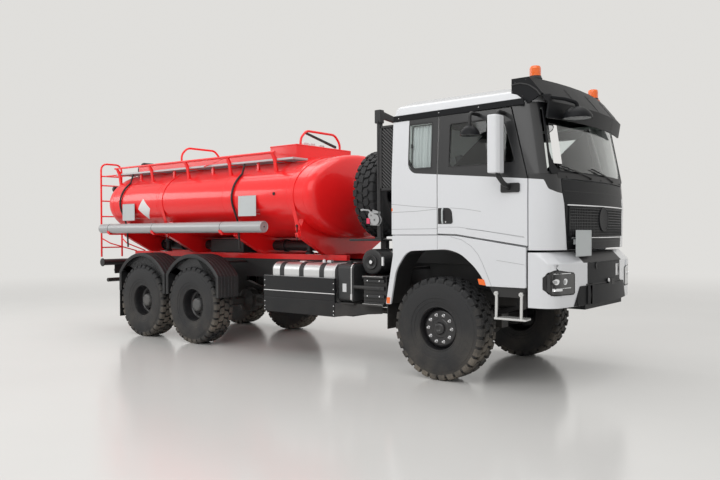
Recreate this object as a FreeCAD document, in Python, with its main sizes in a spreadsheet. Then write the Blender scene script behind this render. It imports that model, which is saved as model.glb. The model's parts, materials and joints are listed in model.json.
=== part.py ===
"""Off-road fuel tanker truck on six driven wheels.

Forward is +X, left is +Y and up is +Z. The origin is on the ground under the middle of the whole truck.
Sizes along the truck are given from the front axle, forwards positive. All lengths are millimetres.
"""

import FreeCAD
import Part
import math
import os
import Sketcher

V = FreeCAD.Vector

# Places, sizes and clearances. Lengths are in millimetres and angles in degrees.
DIMENSIONS = {
    "front_axle_x": 3055,
    "wheelbase": 4750,
    "bogie_spacing": 1400,
    "running_fit": 0.3,
    "seam": 8,
    # wheels
    "tyre_radius": 629,
    "tyre_width": 375,
    "tread_depth": 24,
    "tread_width": 344,
    "bead_radius": 262,
    "wheel_centre_y": 1087.5,
    "rim_flange_radius": 298,
    "rim_half_width": 152,
    "rim_wall": 12,
    "front_disc_offset": 95,
    "rear_disc_offset": -30,
    "hub_radius": 120,
    "hub_inner_offset": -130,
    "front_cap_offset": 146,
    "rear_cap_offset": 92,
    "cap_radius": 76,
    "rear_cap_radius": 112,
    "spindle_radius": 46,
    "spindle_tip_offset": 40,
    # axles and steering
    "beam_radius": 75,
    "diff_radius": 205,
    "diff_width": 330,
    "kingpin_y": 870,
    "kingpin_radius": 22,
    "boss_radius": 42,
    "boss_height": 200,
    "yoke_gap": 5,
    "yoke_thickness": 45,
    "yoke_width": 90,
    "steer_arm_reach": 240,
    "steer_arm_y": 840,
    "steer_arm_thickness": 25,
    "tie_rod_radius": 18,
    "tie_pin_radius": 11,
    # chassis frame
    "rail_y": 430,
    "rail_height": 300,
    "rail_flange": 80,
    "rail_wall": 9,
    "rail_top_z": 1385,
    "rail_front": 1150,
    "rail_rear": -7600,
    "cross_width": 140,
    "coupling_bore": 45,
    "coupling_z": 1135,
    "coupling_length": 160,
    "tow_pin_radius": 20,
    # springs
    "spring_width": 90,
    "spring_stack": 90,
    "front_spring_half": 760,
    "leaf_end": 34,
    "front_spring_rise": 150,
    "bogie_spring_rise": 95,
    # engine and gearbox
    "engine_front": 720,
    "engine_rear": -560,
    "engine_bottom_z": 850,
    "engine_top_z": 1540,
    "engine_half_width": 320,
    "gearbox_rear": -1380,
    "transfer_x": -2450,
    "shaft_radius": 45,
    # tank
    "tank_front": -2250,
    "tank_rear": -7200,
    "tank_half_width": 1200,
    "tank_half_height": 640,
    "tank_z": 2360,
    "head_depth": 270,
    "strap_width": 70,
    "strap_thickness": 10,
    "subframe_y": 450,
    "subframe_height": 85,
    "subframe_width": 80,
    "subframe_front": -2130,
    "saddle_flange": 90,
    # top of the tank
    "coaming_front": -2940,
    "coaming_step": -3520,
    "coaming_rear": -7120,
    "coaming_half_width": 653,
    "coaming_top_z": 3180,
    "coaming_low_z": 3085,
    "coaming_wall": 6,
    "manhole_radius": 260,
    "manhole_front_x": -4300,
    "manhole_rear_x": -6500,
    "manhole_top_z": 3060,
    "lid_thickness": 26,
    "hoop_tube_radius": 19,
    "front_hoop_x": -3030,
    "front_hoop_z": 3420,
    "front_hoop_y": 340,
    "rear_hoop_x": -6070,
    "rear_hoop_z": 3385,
    "rear_hoop_y": 320,
    "walkway_front": -2700,
    "walkway_rear": -7360,
    "walkway_outer_y": 980,
    "walkway_z": 2900,
    "rail_post_width": 60,
    "handrail_radius": 17,
    "outer_rail_y": 1050,
    "outer_rail_z": 3025,
    # ladder
    "ladder_x": -7862,
    "ladder_outer_y": 1000,
    "ladder_inner_y": 555,
    "ladder_bottom_z": 1360,
    "ladder_top_z": 3160,
    "ladder_tube_radius": 18,
    "rung_radius": 13,
    "rung_step": 300,
    # hose tubes
    "locker_y": 1200,
    "locker_z": 1900,
    "locker_radius": 87.5,
    "locker_front": -3090,
    "locker_rear": -7510,
    # mudguards
    "guard_radius": 838,
    "guard_half_length": 680,
    "guard_bottom_z": 780,
    "guard_inner_y": 850,
    "guard_outer_y": 1275,
    "guard_wall": 12,
    "guard_lip": 60,
    "flap_bottom_z": 307,
    # tanks and boxes beside the frame
    "fuel_front": -1708,
    "fuel_rear": -2925,
    "fuel_top_z": 1385,
    "fuel_bottom_z": 735,
    "fuel_inner_y": 590,
    "fuel_outer_y": 1195,
    "fuel_corner": 120,
    "guard_panel_y": 1245,
    "guard_panel_front": -1665,
    "guard_panel_rear": -3057,
    "guard_panel_bottom_z": 653,
    "guard_panel_top_z": 1183,
    "guard_panel_thickness": 20,
    "urea_front": -1370,
    "urea_rear": -1655,
    "urea_inner_y": 760,
    "urea_outer_y": 1205,
    "urea_bottom_z": 855,
    "urea_top_z": 1390,
    "battery_front": -840,
    "battery_rear": -1230,
    "battery_inner_y": 600,
    "battery_outer_y": 1150,
    "battery_bottom_z": 830,
    "battery_top_z": 1235,
    "drum_x": -1130,
    "drum_z": 1413,
    "drum_radius": 173,
    "drum_inner_y": 560,
    "drum_outer_y": 1100,
    # spare wheel and davit
    "spare_rear": -1550,
    "spare_y": -380,
    "spare_z": 2350,
    "davit_x": -1100,
    "davit_y": -950,
    "davit_top_z": 3450,
    "davit_width": 60,
    # rear end
    "underrun_x": -7665,
    "underrun_z": 1260,
    "underrun_half": 1100,
    "underrun_radius": 60,
    "low_tube_z": 920,
    "low_tube_half": 1000,
    # cab
    "cab_rear": -690,
    "cab_bottom_z": 1600,
    "cab_half_width": 1245,
    "cab_top_half_width": 1195,
    "cab_wall": 50,
    "belt_z": 2450,
    "grille_top_z": 2120,
    "roof_line_z": 3270,
    "roof_edge_z": 3400,
    "roof_top_z": 3485,
    "front_bottom_x": 1560,
    "front_belly_x": 1575,
    "front_belt_x": 1545,
    "front_roof_x": 1385,
    "front_bulge": 112,
    "front_bulge_y": 1050,
    "corner_length": 310,
    "cab_floor_z": 1720,
    # doors and windows
    "door_rear": 0,
    "door_front": 1185,
    "door_bottom_rear_z": 1785,
    "door_bottom_front_z": 1645,
    "door_top_z": 3225,
    "door_top_front": 965,
    "door_thickness": 60,
    "door_glass_rear": 157,
    "door_glass_bottom_z": 2590,
    "door_glass_top_z": 3110,
    "door_glass_top_front": 870,
    "door_glass_bottom_front": 1035,
    "rear_glass_rear": -425,
    "rear_glass_front": -100,
    "rear_glass_bottom_z": 2605,
    "rear_glass_top_z": 3145,
    "glass_thickness": 6,
    "screen_bottom_z": 2480,
    "screen_top_z": 3200,
    "screen_half_bottom": 1130,
    "screen_half_top": 1060,
    # front flap
    "flap_top_z": 2395,
    "flap_low_z": 1600,
    "flap_top_half": 950,
    "flap_low_half": 850,
    "flap_thickness": 45,
    # sun visor, beacons and mirrors
    "visor_half": 1130,
    "beacon_x": 1115,
    "beacon_y": 890,
    "beacon_radius": 66,
    "beacon_base_z": 3550,
    "beacon_top_z": 3720,
    "front_mirror_x": 1600,
    "front_mirror_y": -850,
    "front_mirror_z": 3110,
    "front_mirror_radius": 170,
    "mirror_rear": 834,
    "mirror_front": 966,
    "mirror_inner_y": 1330,
    "mirror_outer_y": 1530,
    "mirror_bottom_z": 2460,
    "mirror_top_z": 3110,
    # bumper
    "bumper_rear": 1190,
    "bumper_front": 1620,
    "bumper_bottom_z": 960,
    "bumper_top_z": 1575,
    "bumper_shelf_x": 1500,
    "bumper_edge_z": 1450,
    "bumper_half": 1245,
    "bumper_centre_half": 535,
    "bumper_wall": 30,
    # front fenders
    "fender_y": 1245,
    "fender_wall": 35,
    "step_front": 1165,
    "step_bottom_z": 1175,
    "arch_top_z": 1600,
    "strip_bottom_z": 886,
    "step_plate_z": 830,
    # interior
    "seat_z": 2080,
    "seat_width": 520,
    "seat_y": 560,
    "seat_x": 330,
    "wheel_rim_radius": 230,
}


class Size:
    """A number with the sheet expression it comes from, so that sums of sizes stay bound to the sheet."""

    def __init__(self, value, text):
        self.value = float(value)
        self.text = text

    def __add__(self, other):
        other = sized(other)
        return Size(self.value + other.value, f"({self.text} + {other.text})")

    def __sub__(self, other):
        other = sized(other)
        return Size(self.value - other.value, f"({self.text} - {other.text})")

    def __mul__(self, other):
        other = sized(other)
        return Size(self.value * other.value, f"({self.text} * {other.text})")

    def __truediv__(self, other):
        other = sized(other)
        return Size(self.value / other.value, f"({self.text} / {other.text})")

    def __radd__(self, other):
        return sized(other) + self

    def __rsub__(self, other):
        return sized(other) - self

    def __rmul__(self, other):
        return sized(other) * self

    def __neg__(self):
        return Size(-self.value, f"(-1 * {self.text})")

    def __float__(self):
        return self.value


def sized(thing):
    """The thing as a Size; a plain number becomes one that is its own text."""
    return thing if isinstance(thing, Size) else Size(thing, f"{float(thing):g}")


def number(thing):
    """The plain number of millimetres or degrees in a size."""
    return sized(thing).value


doc = FreeCAD.newDocument("TankerTruck")
sheet = doc.addObject("Spreadsheet::Sheet", "Sizes")
for row, (alias, amount) in enumerate(DIMENSIONS.items(), start=1):
    sheet.set(f"A{row}", alias.replace("_", " "))
    sheet.set(f"B{row}", f"{amount}")
    sheet.setAlias(f"B{row}", alias)
doc.recompute()


def size(alias):
    """A size read from the sheet."""
    return Size(sheet.get(alias), f"Sizes.{alias}")


def from_axle(alias):
    """A place along the truck that the sheet gives from the front axle."""
    return size("front_axle_x") + size(alias)


NODES = {}


def node(label, thing):
    """Name a finished sub-part; its label is also its file name."""
    thing.Label = label
    NODES[label] = thing
    return thing


def bind(thing, path, amount):
    """Set a property, and tie it to the sheet where the amount comes from there."""
    amount = sized(amount)
    if "Sizes." in amount.text:
        thing.setExpression(path, amount.text)
    elif "." not in path:
        setattr(thing, path, amount.value)


def place(thing, x, y, z, rotation=None):
    """Put a thing at a point, each coordinate tied to the sheet."""
    turn = rotation or FreeCAD.Rotation()
    thing.Placement = FreeCAD.Placement(V(number(x), number(y), number(z)), turn)
    bind(thing, "Placement.Base.x", x)
    bind(thing, "Placement.Base.y", y)
    bind(thing, "Placement.Base.z", z)
    return thing


def box(name, x_low, x_high, y_low, y_high, z_low, z_high):
    """A block between two corners."""
    block = doc.addObject("Part::Box", name)
    bind(block, "Length", sized(x_high) - x_low)
    bind(block, "Width", sized(y_high) - y_low)
    bind(block, "Height", sized(z_high) - z_low)
    return place(block, x_low, y_low, z_low)


TURNS = {
    "x": FreeCAD.Rotation(V(0, 1, 0), 90),
    "y": FreeCAD.Rotation(V(1, 0, 0), -90),
    "z": FreeCAD.Rotation(),
}


def cylinder(name, axis, x, y, z, radius, length):
    """A round bar that starts at a point and runs along +axis."""
    bar = doc.addObject("Part::Cylinder", name)
    bind(bar, "Radius", radius)
    bind(bar, "Height", length)
    return place(bar, x, y, z, TURNS[axis])


def bar(name, axis, x, y, z, radius, length, sides=8):
    """A straight bar or drum with flat sides that starts at a point and runs along +axis."""
    piece = doc.addObject("Part::Prism", name)
    piece.Polygon = sides
    bind(piece, "Circumradius", radius)
    bind(piece, "Height", length)
    return place(piece, x, y, z, TURNS[axis])


def shaped(name, shape):
    """A piece whose form needs its own geometry."""
    piece = doc.addObject("Part::Feature", name)
    piece.Shape = shape
    piece.Placement = FreeCAD.Placement()
    return piece


def fuse(name, pieces):
    """Join pieces into one solid."""
    joined = doc.addObject("Part::MultiFuse", name)
    joined.Shapes = pieces
    joined.Refine = True
    return joined


def group(name, pieces):
    """Keep pieces that don't touch together as one sub-part."""
    gathered = doc.addObject("Part::Compound", name)
    gathered.Links = pieces
    return gathered


def cut(name, base, tools):
    """Take tools away from a base."""
    tool = tools[0]
    if len(tools) > 1:
        tool = group(name + "_tools", tools)
    rest = doc.addObject("Part::Cut", name)
    rest.Base = base
    rest.Tool = tool
    rest.Refine = True
    return rest


def mirror(name, thing):
    """The same piece on the other side of the truck's middle plane."""
    other = doc.addObject("Part::Mirroring", name)
    other.Source = thing
    other.Normal = V(0, 1, 0)
    other.Base = V(0, 0, 0)
    return other


def both_sides(name, thing):
    """A piece and its mirror image as one sub-part."""
    return group(name, [thing, mirror(name + "_left", thing)])


def sketch_on(body, name, plane, points, offset):
    """A closed straight-sided sketch, every corner tied to the sheet."""
    sketch = body.newObject("Sketcher::SketchObject", name)
    role = [origin for origin in body.Origin.OriginFeatures if origin.Role == plane][0]
    sketch.AttachmentSupport = [(role, "")]
    sketch.MapMode = "FlatFace"
    sketch.AttachmentOffset = FreeCAD.Placement(V(0, 0, number(offset)), FreeCAD.Rotation())
    bind(sketch, "AttachmentOffset.Base.z", offset)
    count = len(points)
    corners = [V(number(point[0]), number(point[1]), 0) for point in points]
    for index in range(count):
        sketch.addGeometry(Part.LineSegment(corners[index], corners[(index + 1) % count]), False)
    for index in range(count):
        sketch.addConstraint(Sketcher.Constraint("Coincident", index, 2, (index + 1) % count, 1))
    for index, point in enumerate(points):
        for direction, amount in zip(("DistanceX", "DistanceY"), point):
            amount = sized(amount)
            place_in_list = sketch.addConstraint(
                Sketcher.Constraint(direction, -1, 1, index, 1, amount.value)
            )
            if "Sizes." in amount.text:
                sketch.setExpression(f"Constraints[{place_in_list}]", amount.text)
    return sketch


PLANES = {"xz": "XZ_Plane", "yz": "YZ_Plane", "xy": "XY_Plane"}
NORMALS = {"xz": V(0, 1, 0), "yz": V(1, 0, 0), "xy": V(0, 0, 1)}


def edges_at(shape, plane, corner):
    """Names of the edges that run square to the plane through a corner."""
    names = []
    for index, edge in enumerate(shape.Edges, start=1):
        ends = [vertex.Point for vertex in edge.Vertexes]
        if len(ends) != 2:
            continue
        run = ends[1] - ends[0]
        if run.Length < 1e-6 or run.cross(NORMALS[plane]).Length > 1e-4 * run.Length:
            continue
        here = {"xz": (ends[0].x, ends[0].z), "yz": (ends[0].y, ends[0].z), "xy": (ends[0].x, ends[0].y)}
        across = here[plane]
        if abs(across[0] - corner[0]) < 0.01 and abs(across[1] - corner[1]) < 0.01:
            names.append(f"Edge{index}")
    return names


def prism(name, plane, points, low, high, rounds=()):
    """An outline pushed from one depth to another, with chosen corners rounded.

    The plane is xz, yz or xy. rounds holds pairs: a radius, and the numbers of the corners that get it.
    """
    body = doc.addObject("PartDesign::Body", name)
    start = -sized(high) if plane == "xz" else low
    sketch = sketch_on(body, name + "_outline", PLANES[plane], points, start)
    pad = body.newObject("PartDesign::Pad", name + "_pad")
    pad.Profile = sketch
    pad.Length = 1.0
    bind(pad, "Length", sized(high) - low)
    sketch.Visibility = False
    doc.recompute()
    last = pad
    for step, (radius, corners) in enumerate(rounds):
        names = []
        for corner in corners:
            spot = (number(points[corner][0]), number(points[corner][1]))
            names += edges_at(last.Shape, plane, spot)
        if not names:
            raise RuntimeError(f"{name}: no edge to round")
        fillet = body.newObject("PartDesign::Fillet", f"{name}_round{step}")
        fillet.Base = (last, names)
        fillet.Radius = number(radius)
        bind(fillet, "Radius", radius)
        doc.recompute()
        last = fillet
    return body


def skinned(rings):
    """A solid over a row of closed rings of points, with flat faces between them and flat ends."""
    faces = [Part.Face(Part.makePolygon(end + [end[0]])) for end in (rings[0], rings[-1])]
    count = len(rings[0])
    for near, far in zip(rings, rings[1:]):
        for index in range(count):
            after = (index + 1) % count
            corners = [near[index], near[after], far[after], far[index]]
            across = (corners[1] - corners[0]).cross(corners[3] - corners[0])
            height = abs((corners[2] - corners[0]).dot(across)) / across.Length
            parts = [corners] if height < 1e-5 else [corners[:3], corners[2:] + corners[:1]]
            faces += [Part.Face(Part.makePolygon(part + [part[0]])) for part in parts]
    solid = Part.makeSolid(Part.makeShell(faces))
    if solid.Volume < 0:
        solid.reverse()
    return solid


def softened(points, bend):
    """The corners of a path, each replaced by short straight runs that follow an arc of one radius."""
    spots = [V(*[number(part) for part in point]) for point in points]
    radius = number(bend)
    path = [spots[0]]
    for before, corner, after in zip(spots, spots[1:], spots[2:]):
        into = (before - corner).normalize()
        out = (after - corner).normalize()
        half = into.getAngle(out) / 2.0
        reach = radius / math.tan(half)
        centre = corner + (into + out).normalize() * (radius / math.sin(half))
        first = corner + into * reach - centre
        last = corner + out * reach - centre
        steps = max(1, round(first.getAngle(last) / math.radians(40)))
        axis = first.cross(last)
        for step in range(steps + 1):
            turn = FreeCAD.Rotation(axis, math.degrees(first.getAngle(last)) * step / steps)
            path.append(centre + turn.multVec(first))
    return path + [spots[-1]]


def tube(name, points, radius, bend, sides=8):
    """A bent tube with flat sides along straight runs and softened corners, taken as solid."""
    path = softened(points, bend)
    runs = [(finish - begin).normalize() for begin, finish in zip(path, path[1:])]
    start = runs[0].cross(V(0, 0, 1))
    if start.Length < 0.1:
        start = runs[0].cross(V(1, 0, 0))
    start = start.normalize() * number(radius)
    ring = []
    for side in range(sides):
        turn = FreeCAD.Rotation(runs[0], 360.0 * (side + 0.5) / sides)
        ring.append(path[0] + turn.multVec(start))
    rings = [ring]
    for index, run in enumerate(runs):
        end = path[index + 1]
        normal = run + runs[index + 1] if index + 1 < len(runs) else run
        moved = []
        for spot in rings[-1]:
            moved.append(spot + run * ((end - spot).dot(normal) / run.dot(normal)))
        rings.append(moved)
    return shaped(name, skinned(rings))


def turned_ring(profile, sides, phase=0.0):
    """A many-sided ring about the Y axis from a closed profile of (y, radius) points."""
    faces = []
    count = len(profile)
    for side in range(sides):
        angles = [math.radians(phase + 360.0 * (side + step) / sides) for step in (0, 1)]
        for index in range(count):
            near = profile[index]
            far = profile[(index + 1) % count]
            corners = []
            for (along, radius), angle in (
                (near, angles[0]), (near, angles[1]), (far, angles[1]), (far, angles[0]),
            ):
                point = V(radius * math.sin(angle), along, -radius * math.cos(angle))
                if not corners or (point - corners[-1]).Length > 1e-6:
                    corners.append(point)
            if (corners[0] - corners[-1]).Length < 1e-6:
                corners.pop()
            if len(corners) > 2:
                faces.append(Part.Face(Part.makePolygon(corners + [corners[0]])))
    solid = Part.makeSolid(Part.makeShell(faces))
    if solid.Volume < 0:
        solid.reverse()
    return solid


def toothed_disc(count, tip, root, land, low, high, phase):
    """A disc about the Y axis with straight-sided teeth, such as one row of tread lugs."""
    corners = []
    pitch = 360.0 / count
    for tooth in range(count):
        middle = phase + tooth * pitch
        for angle, radius in ((-land / 2, root), (-land / 2, tip), (land / 2, tip), (land / 2, root)):
            turn = math.radians(middle + angle)
            corners.append(V(radius * math.sin(turn), low, -radius * math.cos(turn)))
    face = Part.Face(Part.makePolygon(corners + [corners[0]]))
    return face.extrude(V(0, high - low, 0))


# Places that several pieces share.

AXLE_Z = size("tyre_radius")
FRONT_X = size("front_axle_x")
MID_X = size("front_axle_x") - size("wheelbase")
REAR_X = MID_X - size("bogie_spacing")
AXLES = {"front": FRONT_X, "middle": MID_X, "rear": REAR_X}
FIT = size("running_fit")
RAIL_Y = size("rail_y")
RAIL_INNER_Y = RAIL_Y - size("rail_flange")
RAIL_WEB_Y = RAIL_Y - size("rail_wall")
RAIL_TOP = size("rail_top_z")
RAIL_BOTTOM = RAIL_TOP - size("rail_height")
SUBFRAME_TOP = RAIL_TOP + size("subframe_height")

WHEEL_SIDES = 18
LUGS = 12
LUG_LAND = 18.0


# Wheels

def tyre_shape(outboard):
    """A tyre about the Y axis; outboard is +1 where +Y faces away from the truck."""
    bead = number(size("bead_radius"))
    radius = number(size("tyre_radius"))
    half = number(size("tyre_width")) / 2
    tread = number(size("tread_width")) / 2
    root = radius - number(size("tread_depth"))
    bead_half = tread * 0.785
    flank_low = bead + (radius - bead) * 0.42
    flank_high = bead + (radius - bead) * 0.66
    carcass_top = root - 12
    side = [(bead_half, bead), (half, flank_low), (half, flank_high), (tread - 8, carcass_top)]
    profile = side + [(-along, out) for along, out in reversed(side)]
    carcass = turned_ring(profile, WHEEL_SIDES)
    stagger = 90.0 / LUGS
    tip = radius / math.cos(math.radians(LUG_LAND / 2 - stagger))
    rows = []
    for low, high, phase in ((0, tread, stagger), (-tread, 0, -stagger)):
        row = toothed_disc(LUGS, tip, root, LUG_LAND, low, high, phase)
        hollow = Part.makeCylinder(carcass_top - 60, high - low, V(0, low, 0), V(0, 1, 0))
        rows.append(row.cut(hollow))
    whole = carcass.multiFuse(rows).removeSplitter()
    if outboard < 0:
        whole = whole.mirror(V(0, 0, 0), V(0, 1, 0))
    return whole


def rim_shape(outboard, disc_offset, cap_offset, cap_radius):
    """A wheel rim with its disc, hub and hub cap about the Y axis."""
    bead = number(size("bead_radius"))
    fit = number(FIT)
    flange = number(size("rim_flange_radius"))
    width = number(size("rim_half_width"))
    seat = number(size("tread_width")) / 2 * 0.785 + 2 * fit
    inner = bead - number(size("rim_wall"))
    disc = number(size(disc_offset))
    wall = number(size("rim_wall"))
    hub = number(size("hub_radius"))
    hub_in = number(size("hub_inner_offset"))
    bore = number(size("spindle_radius")) + fit
    bore = bore / math.cos(math.pi / WHEEL_SIDES)
    tip = number(size("spindle_tip_offset")) + 3 * fit
    cap = number(size(cap_offset))
    cap_edge = number(size(cap_radius))
    profile = [
        (width, flange), (seat, bead - fit), (-seat, bead - fit), (-width, flange), (-width, inner),
        (disc, inner), (disc, hub), (hub_in, hub), (hub_in, bore), (tip, bore), (tip, 0), (cap, 0),
        (cap, cap_edge * 0.9), (disc + wall, cap_edge), (disc + wall, inner), (width, inner),
    ]
    ring = turned_ring(profile, WHEEL_SIDES)
    if outboard < 0:
        ring = ring.mirror(V(0, 0, 0), V(0, 1, 0))
    return ring


def add_wheels():
    """Six driven wheels, each a tyre on its rim."""
    for axle, x in AXLES.items():
        discs = ("rear_disc_offset", "rear_cap_offset", "rear_cap_radius")
        if axle == "front":
            discs = ("front_disc_offset", "front_cap_offset", "cap_radius")
        for side, outboard in (("left", 1), ("right", -1)):
            y = outboard * size("wheel_centre_y")
            tyre = shaped(f"tyre_{axle}_{side}", tyre_shape(outboard))
            node(f"tyre_{axle}_{side}", place(tyre, x, y, AXLE_Z))
            rim = shaped(f"rim_{axle}_{side}", rim_shape(outboard, *discs))
            node(f"rim_{axle}_{side}", place(rim, x, y, AXLE_Z))


# Axles, steering and springs

def axle_shape(ends):
    """A driven beam axle about the Y axis: a tube with its round housing, and its ends as given."""
    beam = number(size("beam_radius"))
    half = number(size("diff_width")) / 2
    round_half = half * 0.45
    housing = number(size("diff_radius"))
    middle = [(half, beam), (round_half, housing), (-round_half, housing), (-half, beam)]
    left = [(along, radius) for along, radius in ends]
    right = [(-along, radius) for along, radius in reversed(ends)]
    return turned_ring(left + middle + right, 12)


def add_axles():
    """Front beam with kingpins, and two rear beams with fixed spindles."""
    hub_face = size("wheel_centre_y") + size("hub_inner_offset")
    tip = size("wheel_centre_y") + size("spindle_tip_offset")
    beam_end = number(hub_face - 30)
    beam = number(size("beam_radius"))
    spindle = number(size("spindle_radius")) - 1
    kingpin_y = number(size("kingpin_y"))
    front_ends = [(kingpin_y, 0), (kingpin_y, beam)]
    rear_ends = [(number(tip), 0), (number(tip), spindle), (beam_end, spindle), (beam_end, beam)]
    reach = size("diff_radius") + 55
    boss_low = AXLE_Z - size("boss_height") / 2
    pin_reach = size("boss_height") / 2 + size("yoke_gap") + size("yoke_thickness")
    beams = []
    for name, x in AXLES.items():
        ends = front_ends if name == "front" else rear_ends
        pieces = [place(shaped(name + "_beam", axle_shape(ends)), x, 0, AXLE_Z)]
        pieces.append(box(name + "_nose", x - reach, x + reach, -90, 90, AXLE_Z - 90, AXLE_Z + 90))
        for side in (1, -1):
            middle = side * RAIL_Y
            pieces.append(
                box(
                    name + "_seat", x - 70, x + 70, middle - size("spring_width") / 2,
                    middle + size("spring_width") / 2, AXLE_Z, AXLE_Z + size("beam_radius") + 20,
                )
            )
            if name == "front":
                y = side * size("kingpin_y")
                pieces.append(
                    bar("kingpin_boss", "z", x, y, boss_low, size("boss_radius"), size("boss_height"), 12)
                )
                pieces.append(
                    cylinder(
                        "kingpin", "z", x, y, AXLE_Z - pin_reach, size("kingpin_radius"), 2 * pin_reach,
                    )
                )
        beams.append(fuse(name + "_axle", pieces))
    node("axles", group("axle_set", beams))


def add_steering():
    """Two steering knuckles on the kingpins, and the rod between their arms."""
    kingpin = size("kingpin_y")
    half_boss = size("boss_height") / 2
    arm_low = half_boss + size("yoke_gap")
    arm_high = arm_low + size("yoke_thickness")
    plate_in = kingpin + size("boss_radius") + size("yoke_gap")
    hub_face = size("wheel_centre_y") + size("hub_inner_offset")
    plate_out = hub_face - size("yoke_gap")
    half_width = size("yoke_width") / 2
    pieces = []
    for low, high in ((arm_low, arm_high), (-arm_high, -arm_low)):
        pieces.append(
            box(
                "yoke_arm", FRONT_X - half_width, FRONT_X + half_width,
                kingpin - half_width, plate_out, AXLE_Z + low, AXLE_Z + high,
            )
        )
    pieces.append(
        box(
            "yoke_plate", FRONT_X - half_width, FRONT_X + half_width, plate_in, plate_out,
            AXLE_Z - arm_high, AXLE_Z + arm_high,
        )
    )
    tip = size("wheel_centre_y") + size("spindle_tip_offset")
    pieces.append(
        bar(
            "spindle", "y", FRONT_X, plate_in, AXLE_Z, size("spindle_radius") - 1, tip - plate_in, 12
        )
    )
    arm_top = AXLE_Z - arm_high + size("steer_arm_thickness")
    arm_bottom = AXLE_Z - arm_high
    reach = size("steer_arm_reach")
    arm_y = size("steer_arm_y")
    pieces.append(
        prism(
            "steer_arm", "xy",
            [
                (FRONT_X + half_width, kingpin - half_width + 5), (
                    FRONT_X + half_width, kingpin + half_width,
                ),
                (FRONT_X - half_width, kingpin + half_width), (FRONT_X - reach - 28, arm_y + 26),
                (FRONT_X - reach - 28, arm_y - 26), (FRONT_X - half_width, kingpin - half_width + 5),
            ],
            arm_bottom, arm_top,
        )
    )
    whole = fuse("knuckle_whole", pieces)
    pin_bore = cylinder(
        "kingpin_bore", "z", FRONT_X, kingpin, AXLE_Z - arm_high - 10,
        size("kingpin_radius") + FIT, 2 * arm_high + 20,
    )
    eye_bore = cylinder(
        "arm_bore", "z", FRONT_X - reach, arm_y, arm_bottom - 10,
        size("tie_pin_radius") + FIT, size("steer_arm_thickness") + 20,
    )
    left = cut("knuckle_left_body", whole, [pin_bore, eye_bore])
    node("knuckle_left", left)
    node("knuckle_right", mirror("knuckle_right_body", left))

    rod_z = arm_bottom - 32
    rod_x = FRONT_X - reach
    eye_height = 26
    rod = bar(
        "rod_bar", "y", rod_x, -arm_y + 20, rod_z, size("tie_rod_radius"), 2 * arm_y - 40
    )
    left_eye = bar(
        "rod_eye_left", "z", rod_x, arm_y, rod_z - eye_height, 25, arm_bottom - rod_z + eye_height - 1,
    )
    right_eye = bar("rod_eye_right", "z", rod_x, -arm_y, rod_z - eye_height, 25, 2 * eye_height - 4)
    pin = cylinder(
        "rod_pin", "z", rod_x, arm_y, rod_z, size("tie_pin_radius"),
        arm_bottom - rod_z + size("steer_arm_thickness") + 8,
    )
    node("tie_rod", fuse("tie_rod_body", [rod, left_eye, right_eye, pin]))


def spring_face(half_length, end_rise, middle_rise, middle_stack, end_stack, steps=6):
    """A leaf pack seen from the side; its height follows a parabola from the middle to the ends."""
    low = []
    top = []
    for step in range(steps + 1):
        along = -1 + 2.0 * step / steps
        rise = middle_rise + (end_rise - middle_rise) * along * along
        stack = middle_stack + (end_stack - middle_stack) * abs(along)
        low.append(V(half_length * along, 0, rise))
        top.append(V(half_length * along, 0, rise + stack))
    outline_spots = low + list(reversed(top))
    return Part.Face(Part.makePolygon(outline_spots + [outline_spots[0]]))


def add_springs():
    """Leaf packs on the front axle, and packs turned over on the trunnions of the rear bogie."""
    width = number(size("spring_width"))
    stack = number(size("spring_stack"))
    leaf_end = number(size("leaf_end"))
    rise = size("front_spring_rise")
    right_y = -RAIL_Y - size("spring_width") / 2
    left_y = -RAIL_Y + size("spring_width") / 2
    seat_top = AXLE_Z + size("beam_radius") + 20
    half = number(size("front_spring_half"))
    blade = spring_face(half, number(rise), 0, stack, leaf_end).extrude(V(0, width, 0))
    pieces = [place(shaped("front_pack", blade), FRONT_X, right_y, seat_top)]
    for end in (-1, 1):
        x = FRONT_X + end * (size("front_spring_half") - 45)
        pieces.append(
            box("front_hanger", x - 40, x + 40, right_y, left_y, seat_top + rise - 30, RAIL_BOTTOM)
        )
    front = fuse("front_spring", pieces)
    bogie_x = MID_X - size("bogie_spacing") / 2
    bogie_half = number(size("bogie_spacing")) / 2 + 60
    drop = number(size("bogie_spring_rise"))
    blade = spring_face(bogie_half, 0, drop, stack * 1.6, leaf_end).extrude(V(0, width, 0))
    rear_pack = place(shaped("bogie_pack", blade), bogie_x, right_y, seat_top)
    trunnion = prism(
        "trunnion", "xz",
        [
            (bogie_x - 210, RAIL_BOTTOM), (bogie_x - 110, AXLE_Z - 40), (bogie_x + 110, AXLE_Z - 40),
            (bogie_x + 210, RAIL_BOTTOM),
        ],
        right_y + 10, left_y - 10,
    )
    rear = fuse("bogie_spring", [rear_pack, trunnion])
    right = group("springs_right", [front, rear])
    node("leaf_springs", both_sides("spring_set", right))


# Chassis frame and driveline

def outrigger(name, x, half_width, y_outer, z_low, z_high):
    """A bracket that stands out from the right rail to carry what hangs beside the frame."""
    return box(name, x - half_width, x + half_width, -y_outer, -RAIL_Y + 4, z_low, z_high)


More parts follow.
